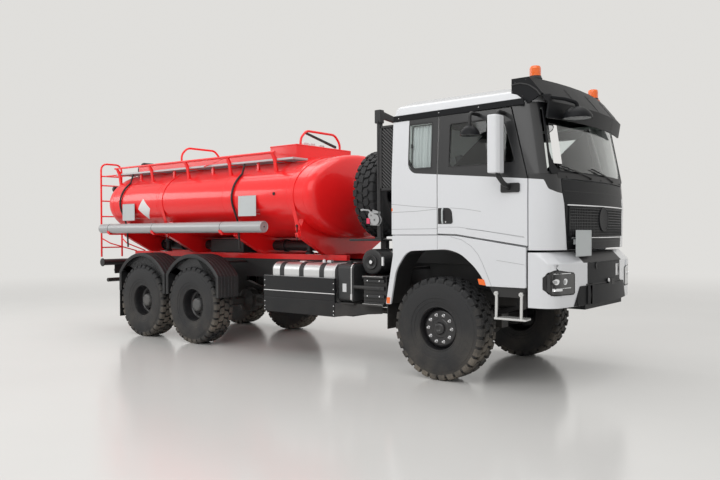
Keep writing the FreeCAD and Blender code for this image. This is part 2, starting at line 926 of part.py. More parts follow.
def add_frame():
    """Two channel rails, their cross members, the brackets beside them and the tow fittings."""
    rear = from_axle("rail_rear")
    front = from_axle("rail_front")
    wall = size("rail_wall")
    channel = prism(
        "rail", "yz",
        [
            (-RAIL_Y, RAIL_BOTTOM), (-RAIL_INNER_Y, RAIL_BOTTOM), (-RAIL_INNER_Y, RAIL_BOTTOM + wall),
            (-RAIL_WEB_Y, RAIL_BOTTOM + wall), (-RAIL_WEB_Y, RAIL_TOP - wall),
            (-RAIL_INNER_Y, RAIL_TOP - wall), (-RAIL_INNER_Y, RAIL_TOP), (-RAIL_Y, RAIL_TOP),
        ],
        rear, front,
    )
    pieces = [channel]
    fuel_middle = FRONT_X + (size("fuel_front") + size("fuel_rear")) / 2
    fuel_third = (size("fuel_front") - size("fuel_rear")) / 3
    for step in (-1, 0, 1):
        pieces.append(
            outrigger(
                "fuel_bracket", fuel_middle + step * fuel_third, 40, size("fuel_inner_y"),
                RAIL_BOTTOM + 20, RAIL_TOP - 20,
            )
        )
    urea_x = FRONT_X + (size("urea_front") + size("urea_rear")) / 2
    pieces.append(
        outrigger("urea_bracket", urea_x, 50, size("urea_inner_y"), RAIL_BOTTOM + 20, RAIL_BOTTOM + 120)
    )
    battery_x = FRONT_X + (size("battery_front") + size("battery_rear")) / 2
    pieces.append(
        outrigger(
            "battery_bracket", battery_x, 60, size("battery_inner_y"), RAIL_BOTTOM + 10, RAIL_BOTTOM + 110,
        )
    )
    pieces.append(
        outrigger(
            "drum_bracket", from_axle("drum_x"), 60, size("drum_inner_y"), RAIL_TOP - 90, RAIL_TOP - 10,
        )
    )
    right = fuse("rail_right", pieces)
    members = []
    for spot in (
        front - size("cross_width"), FRONT_X - 1560, FRONT_X - 1800, FRONT_X - 2900, MID_X + 320,
        MID_X - size("bogie_spacing") / 2 - 70, REAR_X - 500,
    ):
        members.append(
            box(
                "cross_member", spot, spot + size("cross_width"), -RAIL_WEB_Y, RAIL_WEB_Y,
                RAIL_BOTTOM + wall + 20, RAIL_TOP - wall - 40,
            )
        )
    members.append(
        box(
            "rear_member", rear, rear + size("coupling_length"), -RAIL_WEB_Y, RAIL_WEB_Y,
            size("coupling_z") - size("coupling_bore") - 30, RAIL_TOP - wall - 20,
        )
    )
    bore = cylinder(
        "coupling_bore", "x", rear - 10, 0, size("coupling_z"), size("coupling_bore"),
        size("coupling_length") + 20,
    )
    horns = []
    for side in (1, -1):
        y_low = side * RAIL_INNER_Y - 30
        horns.append(
            box("tow_horn", front - 60, front + 120, y_low, y_low + 60, RAIL_BOTTOM + 20, RAIL_BOTTOM + 90)
        )
    solid = fuse("frame_solid", [right, mirror("rail_left", right)] + members + horns)
    pins = []
    for side in (1, -1):
        pins.append(
            cylinder(
                "tow_bore", "z", front + 70, side * RAIL_INNER_Y, RAIL_BOTTOM, size("tow_pin_radius"), 120
            )
        )
    node("frame", cut("frame_body", solid, [bore] + pins))


def add_powertrain():
    """The engine and gearbox as one block, the transfer case and the drive shafts."""
    half = size("engine_half_width")
    engine = prism(
        "engine_block", "yz",
        [
            (-half, size("engine_bottom_z") + 230), (-half * 0.6, size("engine_bottom_z")),
            (half * 0.6, size("engine_bottom_z")), (half, size("engine_bottom_z") + 230),
            (half, size("engine_top_z") - 90), (half * 0.7, size("engine_top_z")),
            (-half * 0.7, size("engine_top_z")), (-half, size("engine_top_z") - 90),
        ],
        from_axle("engine_rear"), from_axle("engine_front"),
    )
    gearbox = prism(
        "gearbox_case", "xz",
        [
            (from_axle("engine_rear"), size("engine_bottom_z") + 40),
            (from_axle("engine_rear"), RAIL_TOP - 40),
            (from_axle("gearbox_rear"), RAIL_TOP - 130),
            (from_axle("gearbox_rear"), size("engine_bottom_z") + 110),
        ],
        -half * 0.68, half * 0.68,
    )
    mounts = []
    for x in (from_axle("engine_front") - 180, from_axle("engine_rear") + 120):
        mounts.append(
            box(
                "engine_mount", x - 50, x + 50, -RAIL_WEB_Y, RAIL_WEB_Y, RAIL_BOTTOM + 60,
                RAIL_BOTTOM + 140,
            )
        )
    block = fuse("engine_and_gearbox", [engine, gearbox] + mounts)
    case_x = from_axle("transfer_x")
    case_half = 230
    case = box(
        "transfer_case", case_x - case_half, case_x + case_half, -170, 170, AXLE_Z - 110, RAIL_BOTTOM - 4,
    )
    hanger = box(
        "transfer_hanger", case_x - 50, case_x + 50, -RAIL_Y, RAIL_Y, RAIL_BOTTOM - 50, RAIL_BOTTOM,
    )
    flange = size("diff_radius") + 55
    shaft = size("shaft_radius")
    shafts = [
        bar("front_shaft", "x", case_x, 0, AXLE_Z, shaft, FRONT_X - case_x - flange - FIT),
        bar("middle_shaft", "x", MID_X + flange + FIT, 0, AXLE_Z, shaft, case_x - MID_X - flange - FIT),
    ]
    gear_shaft = bar(
        "gearbox_shaft", "x", case_x, 0, size("engine_bottom_z") + 140, shaft,
        from_axle("gearbox_rear") - case_x,
    )
    rear_shaft = bar(
        "rear_shaft", "x", REAR_X + flange + FIT, 0, AXLE_Z, shaft,
        size("bogie_spacing") - 2 * flange - 2 * FIT,
    )
    drive = fuse("drive", [block, case, hanger, gear_shaft] + shafts)
    node("powertrain", group("powertrain_set", [drive, rear_shaft]))


# Tank, subframe and straps

TANK_Z = size("tank_z")
TANK_HALF_WIDTH = size("tank_half_width")
TANK_HALF_HEIGHT = size("tank_half_height")


TANK_SIDES = 40


def ellipse_points(x, half_width, half_height, first=0, last=TANK_SIDES - 1):
    """Points round an ellipse across the truck, counted from +Y over the top."""
    spots = []
    for step in range(first, last + 1):
        turn = 2 * math.pi * step / TANK_SIDES
        spots.append(V(x, half_width * math.cos(turn), number(TANK_Z) + half_height * math.sin(turn)))
    return spots


def ellipse_wire(x, half_width, half_height):
    """An ellipse of many short sides across the truck, about the tank's own middle."""
    spots = ellipse_points(x, half_width, half_height)
    return Part.makePolygon(spots + [spots[0]])


def tank_barrel(grow, x_low, x_high):
    """The straight part of the tank, grown all round, for cutting what sits against it."""
    wire = ellipse_wire(x_low, number(TANK_HALF_WIDTH) + grow, number(TANK_HALF_HEIGHT) + grow)
    return Part.Face(wire).extrude(V(x_high - x_low, 0, 0))


def add_tank():
    """The elliptic tank with a dished head at each end."""
    front = number(from_axle("tank_front"))
    rear = number(from_axle("tank_rear"))
    depth = number(size("head_depth"))
    half_width = number(TANK_HALF_WIDTH)
    half_height = number(TANK_HALF_HEIGHT)
    rings = 4
    steps = [math.radians(72.0 * ring / rings) for ring in range(rings + 1)]
    stations = [(rear - depth * math.sin(turn), math.cos(turn)) for turn in reversed(steps)]
    stations += [(front + depth * math.sin(turn), math.cos(turn)) for turn in steps]
    rings = [ellipse_points(x, half_width * share, half_height * share) for x, share in stations]
    node("tank", shaped("tank_body", skinned(rings)))


def saddle(name, x):
    """A saddle plate between the subframe and the tank, with wings out to the strap hooks."""
    half = size("saddle_flange") / 2
    wing_y = TANK_HALF_WIDTH * 0.885
    wing_z = TANK_Z - TANK_HALF_HEIGHT * 0.875
    points = [
        (-size("subframe_y") - 60, SUBFRAME_TOP), (size("subframe_y") + 60, SUBFRAME_TOP),
        (wing_y, wing_z - 40), (wing_y, wing_z + 40), (TANK_HALF_WIDTH * 0.72, TANK_Z),
        (-TANK_HALF_WIDTH * 0.72, TANK_Z), (-wing_y, wing_z + 40), (-wing_y, wing_z - 40),
    ]
    plate = prism(name + "_plate", "yz", points, x - half, x + half)
    barrel = shaped(
        name + "_tank", tank_barrel(number(FIT), number(x) - 200, number(x) + 200)
    )
    return cut(name, plate, [barrel])


def strap_shape(x):
    """A steel strap over the tank that runs straight down from its sides to the saddle's wings."""
    inner = number(FIT)
    outer = inner + number(size("strap_thickness"))
    half_width = number(TANK_HALF_WIDTH)
    half_height = number(TANK_HALF_HEIGHT)
    middle = number(TANK_Z)
    wing_y = half_width * 0.885
    wing_z = middle - half_height * 0.875 + 40 + inner

    last = TANK_SIDES // 2 + 1
    over = ellipse_points(x, half_width + outer, half_height + outer, -1, last)
    under = ellipse_points(x, half_width + inner, half_height + inner, -1, last)
    legs = [V(x, wing_y, wing_z), V(x, wing_y - outer + inner, wing_z)]
    spots = over + [V(x, -leg.y, leg.z) for leg in legs] + list(reversed(under)) + list(reversed(legs))
    return Part.Face(Part.makePolygon(spots + [spots[0]])).extrude(V(number(size("strap_width")), 0, 0))


def strap_spaces():
    """The room that the straps take over the tank, for cutting what crosses them."""
    spaces = []
    grow = number(size("strap_thickness")) + 2 * number(FIT)
    half = number(size("strap_width")) / 2 + number(FIT)
    for spot in STRAPPED:
        middle = number(FRONT_X) + spot
        spaces.append(shaped("strap_space", tank_barrel(grow, middle - half, middle + half)))
    return spaces


SADDLES = (-2520, -3900, -5650, -6950)
STRAPPED = (-2520, -5650)
LOCKER_CLAMPS = (-4020, -5830, -7190)


def add_subframe():
    """Two red beams on the chassis rails with the tank's saddles, straps and the tube cradles."""
    half = size("subframe_width") / 2
    middle = size("subframe_y") - 60
    beams = []
    for side in (1, -1):
        y = side * middle
        beams.append(
            box(
                "subframe_beam", from_axle("rail_rear"), from_axle("subframe_front"), y - half, y + half,
                RAIL_TOP, SUBFRAME_TOP,
            )
        )
    pieces = beams + [saddle("saddle", FRONT_X + spot) for spot in SADDLES]
    base = fuse("subframe_base", pieces)
    straps = []
    for spot in STRAPPED:
        start = number(FRONT_X) + spot - number(size("strap_width")) / 2
        straps.append(shaped("strap", strap_shape(start)))
    cradles = []
    top = size("locker_z") - size("locker_radius") - FIT
    for spot in LOCKER_CLAMPS:
        x = FRONT_X + spot
        arm = box(
            "cradle_arm", x - 25, x + 25, -size("locker_y") - 40, -TANK_HALF_WIDTH * 0.5, top - 30, top,
        )
        barrel = shaped("cradle_tank", tank_barrel(number(FIT), number(x) - 100, number(x) + 100))
        cradles.append(both_sides("cradle", cut("cradle_cut", arm, [barrel])))
    node("subframe", group("subframe_set", [base] + straps + cradles))


def add_coaming():
    """The open tray along the tank's top, with the manhole necks inside it."""
    front = from_axle("coaming_front")
    step = from_axle("coaming_step")
    rear = from_axle("coaming_rear")
    half = size("coaming_half_width")
    wall = size("coaming_wall")
    low = TANK_Z
    sides = [
        box("coaming_tall", step, front, -half, half, low, size("coaming_top_z")),
        box("coaming_low", rear, step, -half, half, low, size("coaming_low_z")),
    ]
    outside = fuse("coaming_outside", sides)
    hollows = [
        box(
            "tall_hollow", step + wall, front - wall, -half + wall, half - wall, low - 10,
            size("coaming_top_z") + 10,
        ),
        box(
            "low_hollow", rear + wall, step - wall, -half + wall, half - wall, low - 10,
            size("coaming_low_z") + 10,
        ),
        shaped("coaming_tank", tank_barrel(number(FIT), number(rear) - 100, number(front) + 100)),
    ]
    walls = cut("coaming_walls", outside, hollows + strap_spaces())
    necks = []
    for alias in ("manhole_front_x", "manhole_rear_x"):
        x = from_axle(alias)
        neck = bar(
            "manhole_neck", "z", x, 0, TANK_Z, size("manhole_radius"), size("manhole_top_z") - TANK_Z, 24,
        )
        hinge = box(
            "neck_hinge", x - size("manhole_radius") - 60, x - size("manhole_radius") + 40, -50, 50,
            TANK_Z, size("manhole_top_z") - 18,
        )
        tank = shaped("neck_tank", tank_barrel(number(FIT), number(x) - 600, number(x) + 600))
        necks.append(cut("manhole_neck_cut", fuse("neck_and_hinge", [neck, hinge]), [tank]))
    node("coaming", group("coaming_set", [walls] + necks))


def add_lids():
    """A hinged lid on each manhole."""
    for where in ("front", "rear"):
        x = from_axle(f"manhole_{where}_x")
        radius = size("manhole_radius")
        low = size("manhole_top_z") + FIT
        lid = bar("lid_disc", "z", x, 0, low, radius + 12, size("lid_thickness"), 24)
        tongue = box("lid_tongue", x - radius - 55, x - radius + 30, -35, 35, low, low + 20)
        handle = box(
            "lid_handle", x + radius - 90, x + radius - 60, -70, 70, low + size("lid_thickness") - 5,
            low + size("lid_thickness") + 30,
        )
        node(f"manhole_lid_{where}", fuse(f"lid_{where}", [lid, tongue, handle]))


POSTS = (-7240, -6220, -5190, -4110, -3070)


def add_walkway():
    """The grating along each side of the coaming."""
    inner = size("coaming_half_width")
    deck = box(
        "walkway_deck", from_axle("walkway_rear"), from_axle("walkway_front"),
        -size("walkway_outer_y"), -inner, size("walkway_z") + 5, size("walkway_z") + 35,
    )
    node("walkway", both_sides("walkway_set", cut("walkway_cut", deck, strap_spaces())))


def add_ladder_and_rails():
    """The rear ladder, the posts and rails beside the walkway, and the two hoops."""
    deck_low = size("walkway_z") + 5
    half = size("rail_post_width") / 2
    posts = []
    for spot in POSTS:
        x = FRONT_X + spot
        post = prism(
            "rail_post", "yz",
            [
                (-size("walkway_outer_y") - 8, deck_low - 5), (-TANK_HALF_WIDTH * 0.74, TANK_Z + 200),
                (-TANK_HALF_WIDTH * 0.80, TANK_Z + 200), (-size("walkway_outer_y") - 20, deck_low - 5),
                (-size("outer_rail_y") - 12, size("outer_rail_z")),
                (-size("outer_rail_y") + 12, size("outer_rail_z")),
                (-size("walkway_outer_y"), deck_low + 60), (-size("walkway_outer_y"), deck_low - 5),
            ],
            x - half, x + half,
        )
        tank = shaped("post_tank", tank_barrel(number(FIT), number(x) - 100, number(x) + 100))
        posts.append(cut("rail_post_cut", post, [tank]))
    rail_end = FRONT_X + POSTS[0]
    rail_start = FRONT_X + POSTS[-1]
    posts.append(
        bar(
            "outer_rail", "x", rail_end - 60, -size("outer_rail_y"), size("outer_rail_z"),
            size("handrail_radius"), rail_start - rail_end + 120,
        )
    )
    side = fuse("rail_side", posts)
    hoops = []
    for where, foot in (("front", 470), ("rear", 440)):
        x = from_axle(f"{where}_hoop_x")
        top = size(f"{where}_hoop_z")
        half_top = size(f"{where}_hoop_y")
        wall_top = size("coaming_low_z") if where == "rear" else size("coaming_top_z")
        points = [
            (x, -half_top - 130, wall_top - 90), (x, -half_top - 130, top - 120), (x, -half_top, top),
            (x, half_top, top), (x, half_top + 130, top - 120), (x, half_top + 130, wall_top - 90),
        ]
        arch = tube("hoop_bar", points, size("hoop_tube_radius"), 60, 6)
        brace_y = size("coaming_half_width") - size("coaming_wall") - FIT
        brace = box(
            "hoop_brace", x - 25, x + 25, -brace_y, brace_y, wall_top - 70, wall_top - 30,
        )
        hoops.append(fuse("hoop", [arch, brace]))
    ladder_x = from_axle("ladder_x")
    loop = tube(
        "ladder_loop",
        [
            (ladder_x, -size("ladder_outer_y"), size("ladder_bottom_z")),
            (ladder_x, -size("ladder_outer_y"), size("ladder_top_z")),
            (ladder_x, -size("ladder_inner_y"), size("ladder_top_z")),
            (ladder_x, -size("ladder_inner_y"), size("ladder_bottom_z")),
        ],
        size("ladder_tube_radius"), 120, 6,
    )
    rungs = []
    count = 5
    for step in range(count):
        rungs.append(
            bar(
                "rung", "y", ladder_x, -size("ladder_outer_y"),
                size("ladder_bottom_z") + 180 + step * size("rung_step"),
                size("rung_radius"), size("ladder_outer_y") - size("ladder_inner_y"), 6,
            )
        )
    stays = []
    for y in (-size("walkway_outer_y") + 60, -size("walkway_outer_y") + 260):
        stays.append(
            bar(
                "ladder_stay", "x", ladder_x, y, size("walkway_z") + 20, 13,
                from_axle("walkway_rear") - ladder_x,
            )
        )
    top_bar = bar(
        "ladder_bar", "y", ladder_x, -size("ladder_outer_y"), size("walkway_z") + 20, size("rung_radius"),
        size("ladder_outer_y") - size("ladder_inner_y"),
    )
    ladder = fuse("ladder", [loop, top_bar] + rungs + stays)
    node("ladder_and_rails", group("ladder_and_rails_set", [both_sides("rails", side), ladder] + hoops))


def add_hose_lockers():
    """A long tube each side of the tank that holds the hoses, closed by round caps."""
    y = -size("locker_y")
    z = size("locker_z")
    body = bar(
        "locker_tube", "x", from_axle("locker_rear"), y, z, size("locker_radius"),
        size("locker_front") - size("locker_rear"), 20,
    )
    node("hose_lockers", both_sides("locker_set", body))


# Mudguards and what hangs beside the frame

def guard_shape(radius, half_length, bottom, wall):
    """A mudguard's section about its axle: an arc over the wheel with straight ends."""

    def over(out, half):
        edge = math.asin(half / out)
        steps = 7
        turns = [edge - 2 * edge * step / steps for step in range(steps + 1)]
        return [V(out * math.sin(turn), 0, out * math.cos(turn)) for turn in turns]

    inner_half = half_length - wall
    spots = [V(half_length, 0, bottom)] + over(radius, half_length) + [V(-half_length, 0, bottom)]
    spots += [V(-inner_half, 0, bottom)] + list(reversed(over(radius - wall, inner_half)))
    spots += [V(inner_half, 0, bottom)]
    return Part.Face(Part.makePolygon(spots + [spots[0]]))


def add_mudguards():
    """Guards over the four rear wheels, and black liners behind the front fenders."""
    radius = number(size("guard_radius"))
    half = number(size("guard_half_length"))
    bottom = number(size("guard_bottom_z") - AXLE_Z)
    wall = number(size("guard_wall"))
    width = number(size("guard_outer_y") - size("guard_inner_y"))
    lip = number(size("guard_lip"))
    parts = []
    for x in (MID_X, REAR_X):
        skin = guard_shape(radius, half, bottom, wall).extrude(V(0, width, 0))
        edge = guard_shape(radius, half, bottom, lip).extrude(V(0, wall, 0))
        parts.append(place(shaped("rear_guard", skin), x, -size("guard_outer_y"), AXLE_Z))
        parts.append(place(shaped("guard_lip", edge), x, -size("guard_outer_y"), AXLE_Z))
        for end in (-1, 1):
            parts.append(
                bar(
                    "guard_stay", "y", x + end * (size("guard_radius") - size("guard_wall")) * 0.49,
                    -size("guard_outer_y") + 15,
                    AXLE_Z + (size("guard_radius") - size("guard_wall")) * 0.85, 20,
                    size("guard_outer_y") - 15 - RAIL_Y,
                )
            )
    flap_x = REAR_X - size("guard_half_length")
    parts.append(
        box(
            "rear_flap", flap_x - 12, flap_x, -size("guard_outer_y") + 15, -size("guard_inner_y") - 10,
            size("flap_bottom_z"), size("guard_bottom_z") + 60,
        )
    )
    rear = [
        fuse("guard_middle", parts[0:4]),
        fuse("guard_rear", parts[4:9]),
    ]
    top = size("arch_top_z") - 10
    front = FRONT_X
    liner = prism(
        "front_liner", "xz",
        [
            (front + 655, 1190), (front + 505, 1415), (front + 330, 1545), (front + 143, top),
            (front - 456, top), (front - 648, 1340), (front - 745, 890), (front - 733, 890),
            (front - 636, 1334), (front - 450, top - 12), (front + 138, top - 12),
            (front + 322, 1536), (front + 495, 1408), (front + 645, 1184),
        ],
        -size("fender_y") + size("fender_wall"), -size("guard_inner_y"),
    )
    stays = [
        box(
            "liner_stay_rear", front - 690, front - 645, -size("fender_y") + size("fender_wall"), -RAIL_Y,
            1310, 1345,
        ),
        box(
            "liner_stay_front", front + 640, front + 690, -size("fender_y") + size("fender_wall"), -RAIL_Y,
            1178, 1206,
        ),
    ]
    flap = box(
        "front_flap", front - 792, front - 780, -size("fender_y") + size("fender_wall"),
        -size("guard_inner_y") - 10, 560, 905,
    )
    hanger = box(
        "flap_hanger", front - 792, front - 736, -size("fender_y") + size("fender_wall"),
        -size("guard_inner_y") - 10, 890, 905,
    )
    arch = fuse("front_liner_whole", [liner, flap, hanger] + stays)
    node("mudguards", both_sides("mudguard_set", group("mudguards_right", rear + [arch])))


def add_fuel_tank():
    """The fuel tank of the truck itself, on each side, with its straps."""
    corner = size("fuel_corner")
    points = [
        (-size("fuel_outer_y"), size("fuel_bottom_z")), (-size("fuel_inner_y"), size("fuel_bottom_z")),
        (-size("fuel_inner_y"), size("fuel_top_z")), (-size("fuel_outer_y"), size("fuel_top_z")),
    ]
    body = prism(
        "fuel_body", "yz", points, from_axle("fuel_rear"), from_axle("fuel_front"), ((corner, (0, 1, 2, 3)),)
    )
    neck = bar(
        "fuel_cap", "z", from_axle("fuel_front") - 260, -size("fuel_outer_y") + 210, size("fuel_top_z") - 10,
        45, 45,
    )
    node("fuel_tank", both_sides("fuel_set", fuse("fuel_whole", [body, neck])))


def add_side_guards():
    """The flat guard panels outside the fuel tanks."""
    y = -size("guard_panel_y")
    panel = prism(
        "guard_panel", "xz",
        [
            (from_axle("guard_panel_rear"), size("guard_panel_bottom_z")),
            (from_axle("guard_panel_front"), size("guard_panel_bottom_z")),
            (from_axle("guard_panel_front"), size("guard_panel_top_z")),
            (from_axle("guard_panel_rear"), size("guard_panel_top_z")),
        ],
        y, y + size("guard_panel_thickness"),
    )
    posts = []
    for x in (from_axle("fuel_rear") + 200, from_axle("fuel_front") - 240):
        posts.append(
            box(
                "guard_post", x - 25, x + 25, y + size("guard_panel_thickness") - 2, -size("fuel_outer_y"),
                size("fuel_bottom_z") + 150, size("fuel_top_z") - 250,
            )
        )
    node("side_guards", both_sides("side_guard_set", fuse("side_guard", [panel] + posts)))


def add_boxes():
    """The urea tank, the battery box and the air drum between the front wheels and the fuel tanks."""
    urea = prism(
        "urea_body", "xz",
        [
            (from_axle("urea_rear"), size("urea_bottom_z")),
            (from_axle("urea_front"), size("urea_bottom_z")),
            (from_axle("urea_front"), size("urea_top_z")), (from_axle("urea_rear"), size("urea_top_z")),
        ],
        -size("urea_outer_y"), -size("urea_inner_y"), ((35, (0, 1, 2, 3)),),
    )
    cap = bar(
        "urea_cap", "z", (from_axle("urea_rear") + from_axle("urea_front")) / 2, -size("urea_outer_y") + 120,
        size("urea_top_z") - 5, 40, 40,
    )
    node("urea_tank", both_sides("urea_set", fuse("urea_whole", [urea, cap])))

    battery = box(
        "battery_case", from_axle("battery_rear"), from_axle("battery_front"), -size("battery_outer_y"),
        -size("battery_inner_y"), size("battery_bottom_z"), size("battery_top_z"),
    )
    steps = []
    for z in (size("battery_bottom_z"), size("battery_top_z") - 190):
        steps.append(
            box(
                "battery_step", from_axle("battery_rear") + 20, from_axle("battery_front") - 20,
                -size("battery_outer_y") - 60, -size("battery_outer_y") + 5, z, z + 30,
            )
        )
    node("battery_box", both_sides("battery_set", fuse("battery_whole", [battery] + steps)))

    drum = bar(
        "drum_body", "y", from_axle("drum_x"), -size("drum_outer_y"), size("drum_z"), size("drum_radius"),
        size("drum_outer_y") - size("drum_inner_y"), 20,
    )
    end = bar(
        "drum_end", "y", from_axle("drum_x"), -size("drum_outer_y") - 25, size("drum_z"),
        size("drum_radius") * 0.55, 30, 20,
    )
    node("air_drum", both_sides("drum_set", fuse("drum_whole", [drum, end])))


def add_spare():
    """The spare wheel upright behind the cab, on its carrier with the davit that lowers it."""
    outboard = 1
    tyre = tyre_shape(outboard)
    rim = rim_shape(outboard, "rear_disc_offset", "rear_cap_offset", "rear_cap_radius")
    whole = shaped("spare_whole", tyre.fuse(turned_ring(spare_disc(), WHEEL_SIDES)))
    half = size("tyre_width") / 2
    turned = FreeCAD.Rotation(V(0, 0, 1), 90)
    place(whole, from_axle("spare_rear") + half, size("spare_y"), size("spare_z"), turned)
    node("spare_wheel", whole)

    top = size("spare_z") - AXLE_Z - FIT
    rear = from_axle("spare_rear")
    davit = from_axle("davit_x")
    half_post = size("davit_width") / 2
    deck = box("carrier_deck", rear - 40, davit + 60, size("davit_y") - 60, 520, top - 30, top)
    legs = []
    for side in (1, -1):
        middle = side * (RAIL_Y - 40)
        legs.append(box("carrier_leg", rear + 60, rear + 160, middle - 40, middle + 40, RAIL_TOP, top - 20))
    back = box(
        "carrier_back", rear - 40, rear - FIT, size("spare_y") - 60, size("spare_y") + 60, top - 20,
        size("spare_z"),
    )
    post = box(
        "davit_post", davit - half_post, davit + half_post, size("davit_y") - half_post,
        size("davit_y") + half_post, top - 10, size("davit_top_z"),
    )
    arm = prism(
        "davit_arm", "yz",
        [
            (size("davit_y") - half_post, size("davit_top_z") - 60),
            (size("davit_y") - half_post, size("davit_top_z")),
            (-300, size("davit_top_z") - 110), (-300, size("davit_top_z") - 160),
        ],
        davit - half_post * 0.8, davit + half_post * 0.8,
    )
    winch = box(
        "winch", davit - 250, davit + 40, size("davit_y") - 110, size("davit_y") - half_post + 5,
        1890, 2125,
    )
    node("wheel_davit", fuse("davit_whole", [deck, back, post, arm, winch] + legs))


def spare_disc():
    """The spare's rim and disc as one ring about the Y axis, a little wider than the tyre's bead."""
    bead = number(size("bead_radius")) + 4
    width = number(size("rim_half_width"))
    wall = number(size("rim_wall"))
    disc = number(size("rear_disc_offset"))
    flange = number(size("rim_flange_radius"))
    hole = number(size("hub_radius")) * 0.9
    return [
        (width, flange), (width - 20, bead), (20 - width, bead), (-width, flange), (-width, bead - wall - 4),
        (disc, bead - wall - 4), (disc, hole), (disc + wall, hole), (disc + wall, bead - wall - 4),
        (width, bead - wall - 4),
    ]


def add_rear_end():
    """The tubes across the rear and the plates that carry them."""
    x = from_axle("underrun_x")
    pieces = [
        bar(
            "underrun_tube", "y", x, -size("underrun_half"), size("underrun_z"), size("underrun_radius"),
            2 * size("underrun_half"), 12,
        ),
        bar("low_tube", "y", x, -size("low_tube_half"), size("low_tube_z"), 38, 2 * size("low_tube_half")),
    ]
    for side in (1, -1):
        middle = side * (RAIL_Y - 40)
        pieces.append(
            box(
                "underrun_flange", x + 5, from_axle("rail_rear"), middle - 60, middle + 60,
                RAIL_BOTTOM + 30, RAIL_TOP - 20,
            )
        )
        pieces.append(
            box(
                "underrun_plate", x - 12, x + 12, middle - 30, middle + 30, size("low_tube_z"),
                size("underrun_z"),
            )
        )
        lamp_low, lamp_high = sorted((side * 560, side * 830))
        pieces.append(
            box(
                "lamp_plate", x - size("underrun_radius") * 0.2 - 25 + FIT, x - 12, lamp_low, lamp_high,
                size("underrun_z") - 225, size("underrun_z") - 40,
            )
        )
        end = side * size("underrun_half")
        pieces.append(
            bar("tube_end", "y", x, end - 12, size("underrun_z"), size("underrun_radius") + 18, 24)
        )
    node("rear_bumper", fuse("rear_bumper_whole", pieces))


def add_drain_hoses():
    """Black drain hoses down the sides of the tank."""
    hoses = []
    for spot in (-3800, -6870):
        x = FRONT_X + spot
        hoses.append(
            tube(
                "drain_hose",
                [
                    (x, -945, size("walkway_z") + 5 - FIT), (x, -945, 2845), (x, -1232, 2520),
                    (x, -1232, 2130), (x, -1078, 2010), (x, -1078, 1560),
                ],
                15, 60, 6,
            )
        )
    node("drain_hoses", both_sides("hose_set", group("hoses_right", hoses)))


# Cab

CAB_STATIONS = (
    ("cab_bottom_z", "front_bottom_x", "cab_half_width"),
    ("grille_top_z", "front_belly_x", "cab_half_width"),
    ("belt_z", "front_belt_x", "cab_half_width"),
    ("roof_line_z", "front_roof_x", "cab_top_half_width"),
)


def plan_ring(z, rear, centre, half, corner_length, inset=0.0):
    """A horizontal section: flat rear and sides, round corners and a gently arched front."""
    bulge = number(size("front_bulge"))
    drop = number(size("cab_half_width") - size("front_bulge_y"))
    side = half - inset
    bulge_y = side - drop
    front_radius = (bulge_y ** 2 + bulge ** 2) / (2 * bulge)
    front = centre - bulge - inset
    start = front - corner_length
    radius = (corner_length ** 2 + drop ** 2) / (2 * drop)
    whole_turn = math.asin(corner_length / radius)
    left = [(rear + inset, side)]
    corner_steps = 4
    for step in range(corner_steps + 1):
        turn = whole_turn * step / corner_steps
        left.append((start + radius * math.sin(turn), side - radius + radius * math.cos(turn)))
    front_steps = 4
    for step in range(1, front_steps + 1):
        y = bulge_y * (1 - step / front_steps)
        left.append((centre - inset - front_radius + math.sqrt(front_radius ** 2 - y ** 2), y))
    return [V(x, y, z) for x, y in left] + [V(x, -y, z) for x, y in reversed(left[:-1])]


def between(z, table):
    """The value at a height, taken straight between the rows of a table of (height, value)."""
    low = table[0]
    for row in table[1:]:
        if z <= row[0] or row is table[-1]:
            share = (z - low[0]) / (row[0] - low[0])
            return low[1] + share * (row[1] - low[1])
        low = row
    return low[1]


def cab_solid(inset, z_low=None, z_high=None):
    """The cab's body as a full solid, drawn in by an inset all round."""
    rows = [
        (number(size(z)), number(from_axle(centre)), number(size(half)))
        for z, centre, half in CAB_STATIONS
    ]
    low = rows[0][0] if z_low is None else z_low
    high = rows[-1][0] if z_high is None else z_high
    centres = [(row[0], row[1]) for row in rows]
    halves = [(row[0], row[2]) for row in rows]
    heights = [low] + [row[0] for row in rows if low < row[0] < high] + [high]
    rear = number(from_axle("cab_rear"))
    corner = number(size("corner_length"))
    rings = [plan_ring(z, rear, between(z, centres), between(z, halves), corner, inset) for z in heights]
    return skinned(rings)


def roof_solid(inset):
    """The roof's domed solid above the body."""
    rear = number(from_axle("cab_rear"))
    centre = number(from_axle("front_roof_x"))
    half = number(size("cab_top_half_width"))
    corner = number(size("corner_length"))
    rows = (
        (number(size("roof_line_z")), 0, 0, 0),
        (number(size("roof_edge_z")), 20, 60, 45),
        (number(size("roof_top_z")), 140, 260, 230),
    )
    rings = []
    for z, tail, nose, side in rows:
        height = z - inset if z > rows[0][0] else z
        rings.append(plan_ring(height, rear + tail, centre - nose, half - side, corner, inset))
    return skinned(rings)


def outline(points, plane, low, high):
    """A plain straight-sided block for cutting, from an outline in a plane."""
    spots = []
    for across, up in points:
        spot = {"xz": V(across, low, up), "yz": V(low, across, up)}
        spots.append(spot[plane])
    push = V(0, high - low, 0) if plane == "xz" else V(high - low, 0, 0)
    return Part.Face(Part.makePolygon(spots + [spots[0]])).extrude(push)


def door_outline(grow):
    """The door's outline seen from the side, grown all round."""
    x = number(FRONT_X)
    rear = x + number(size("door_rear")) - grow
    front = x + number(size("door_front")) + grow
    top = number(size("door_top_z")) + grow
    lean = x + number(size("door_top_front")) + grow
    belt = 2400
    return [
        (rear, number(size("door_bottom_rear_z")) - grow), (x + 267, 1777 - grow),
        (front, number(size("door_bottom_front_z")) - grow), (front, belt), (lean, top), (rear, top),
    ]


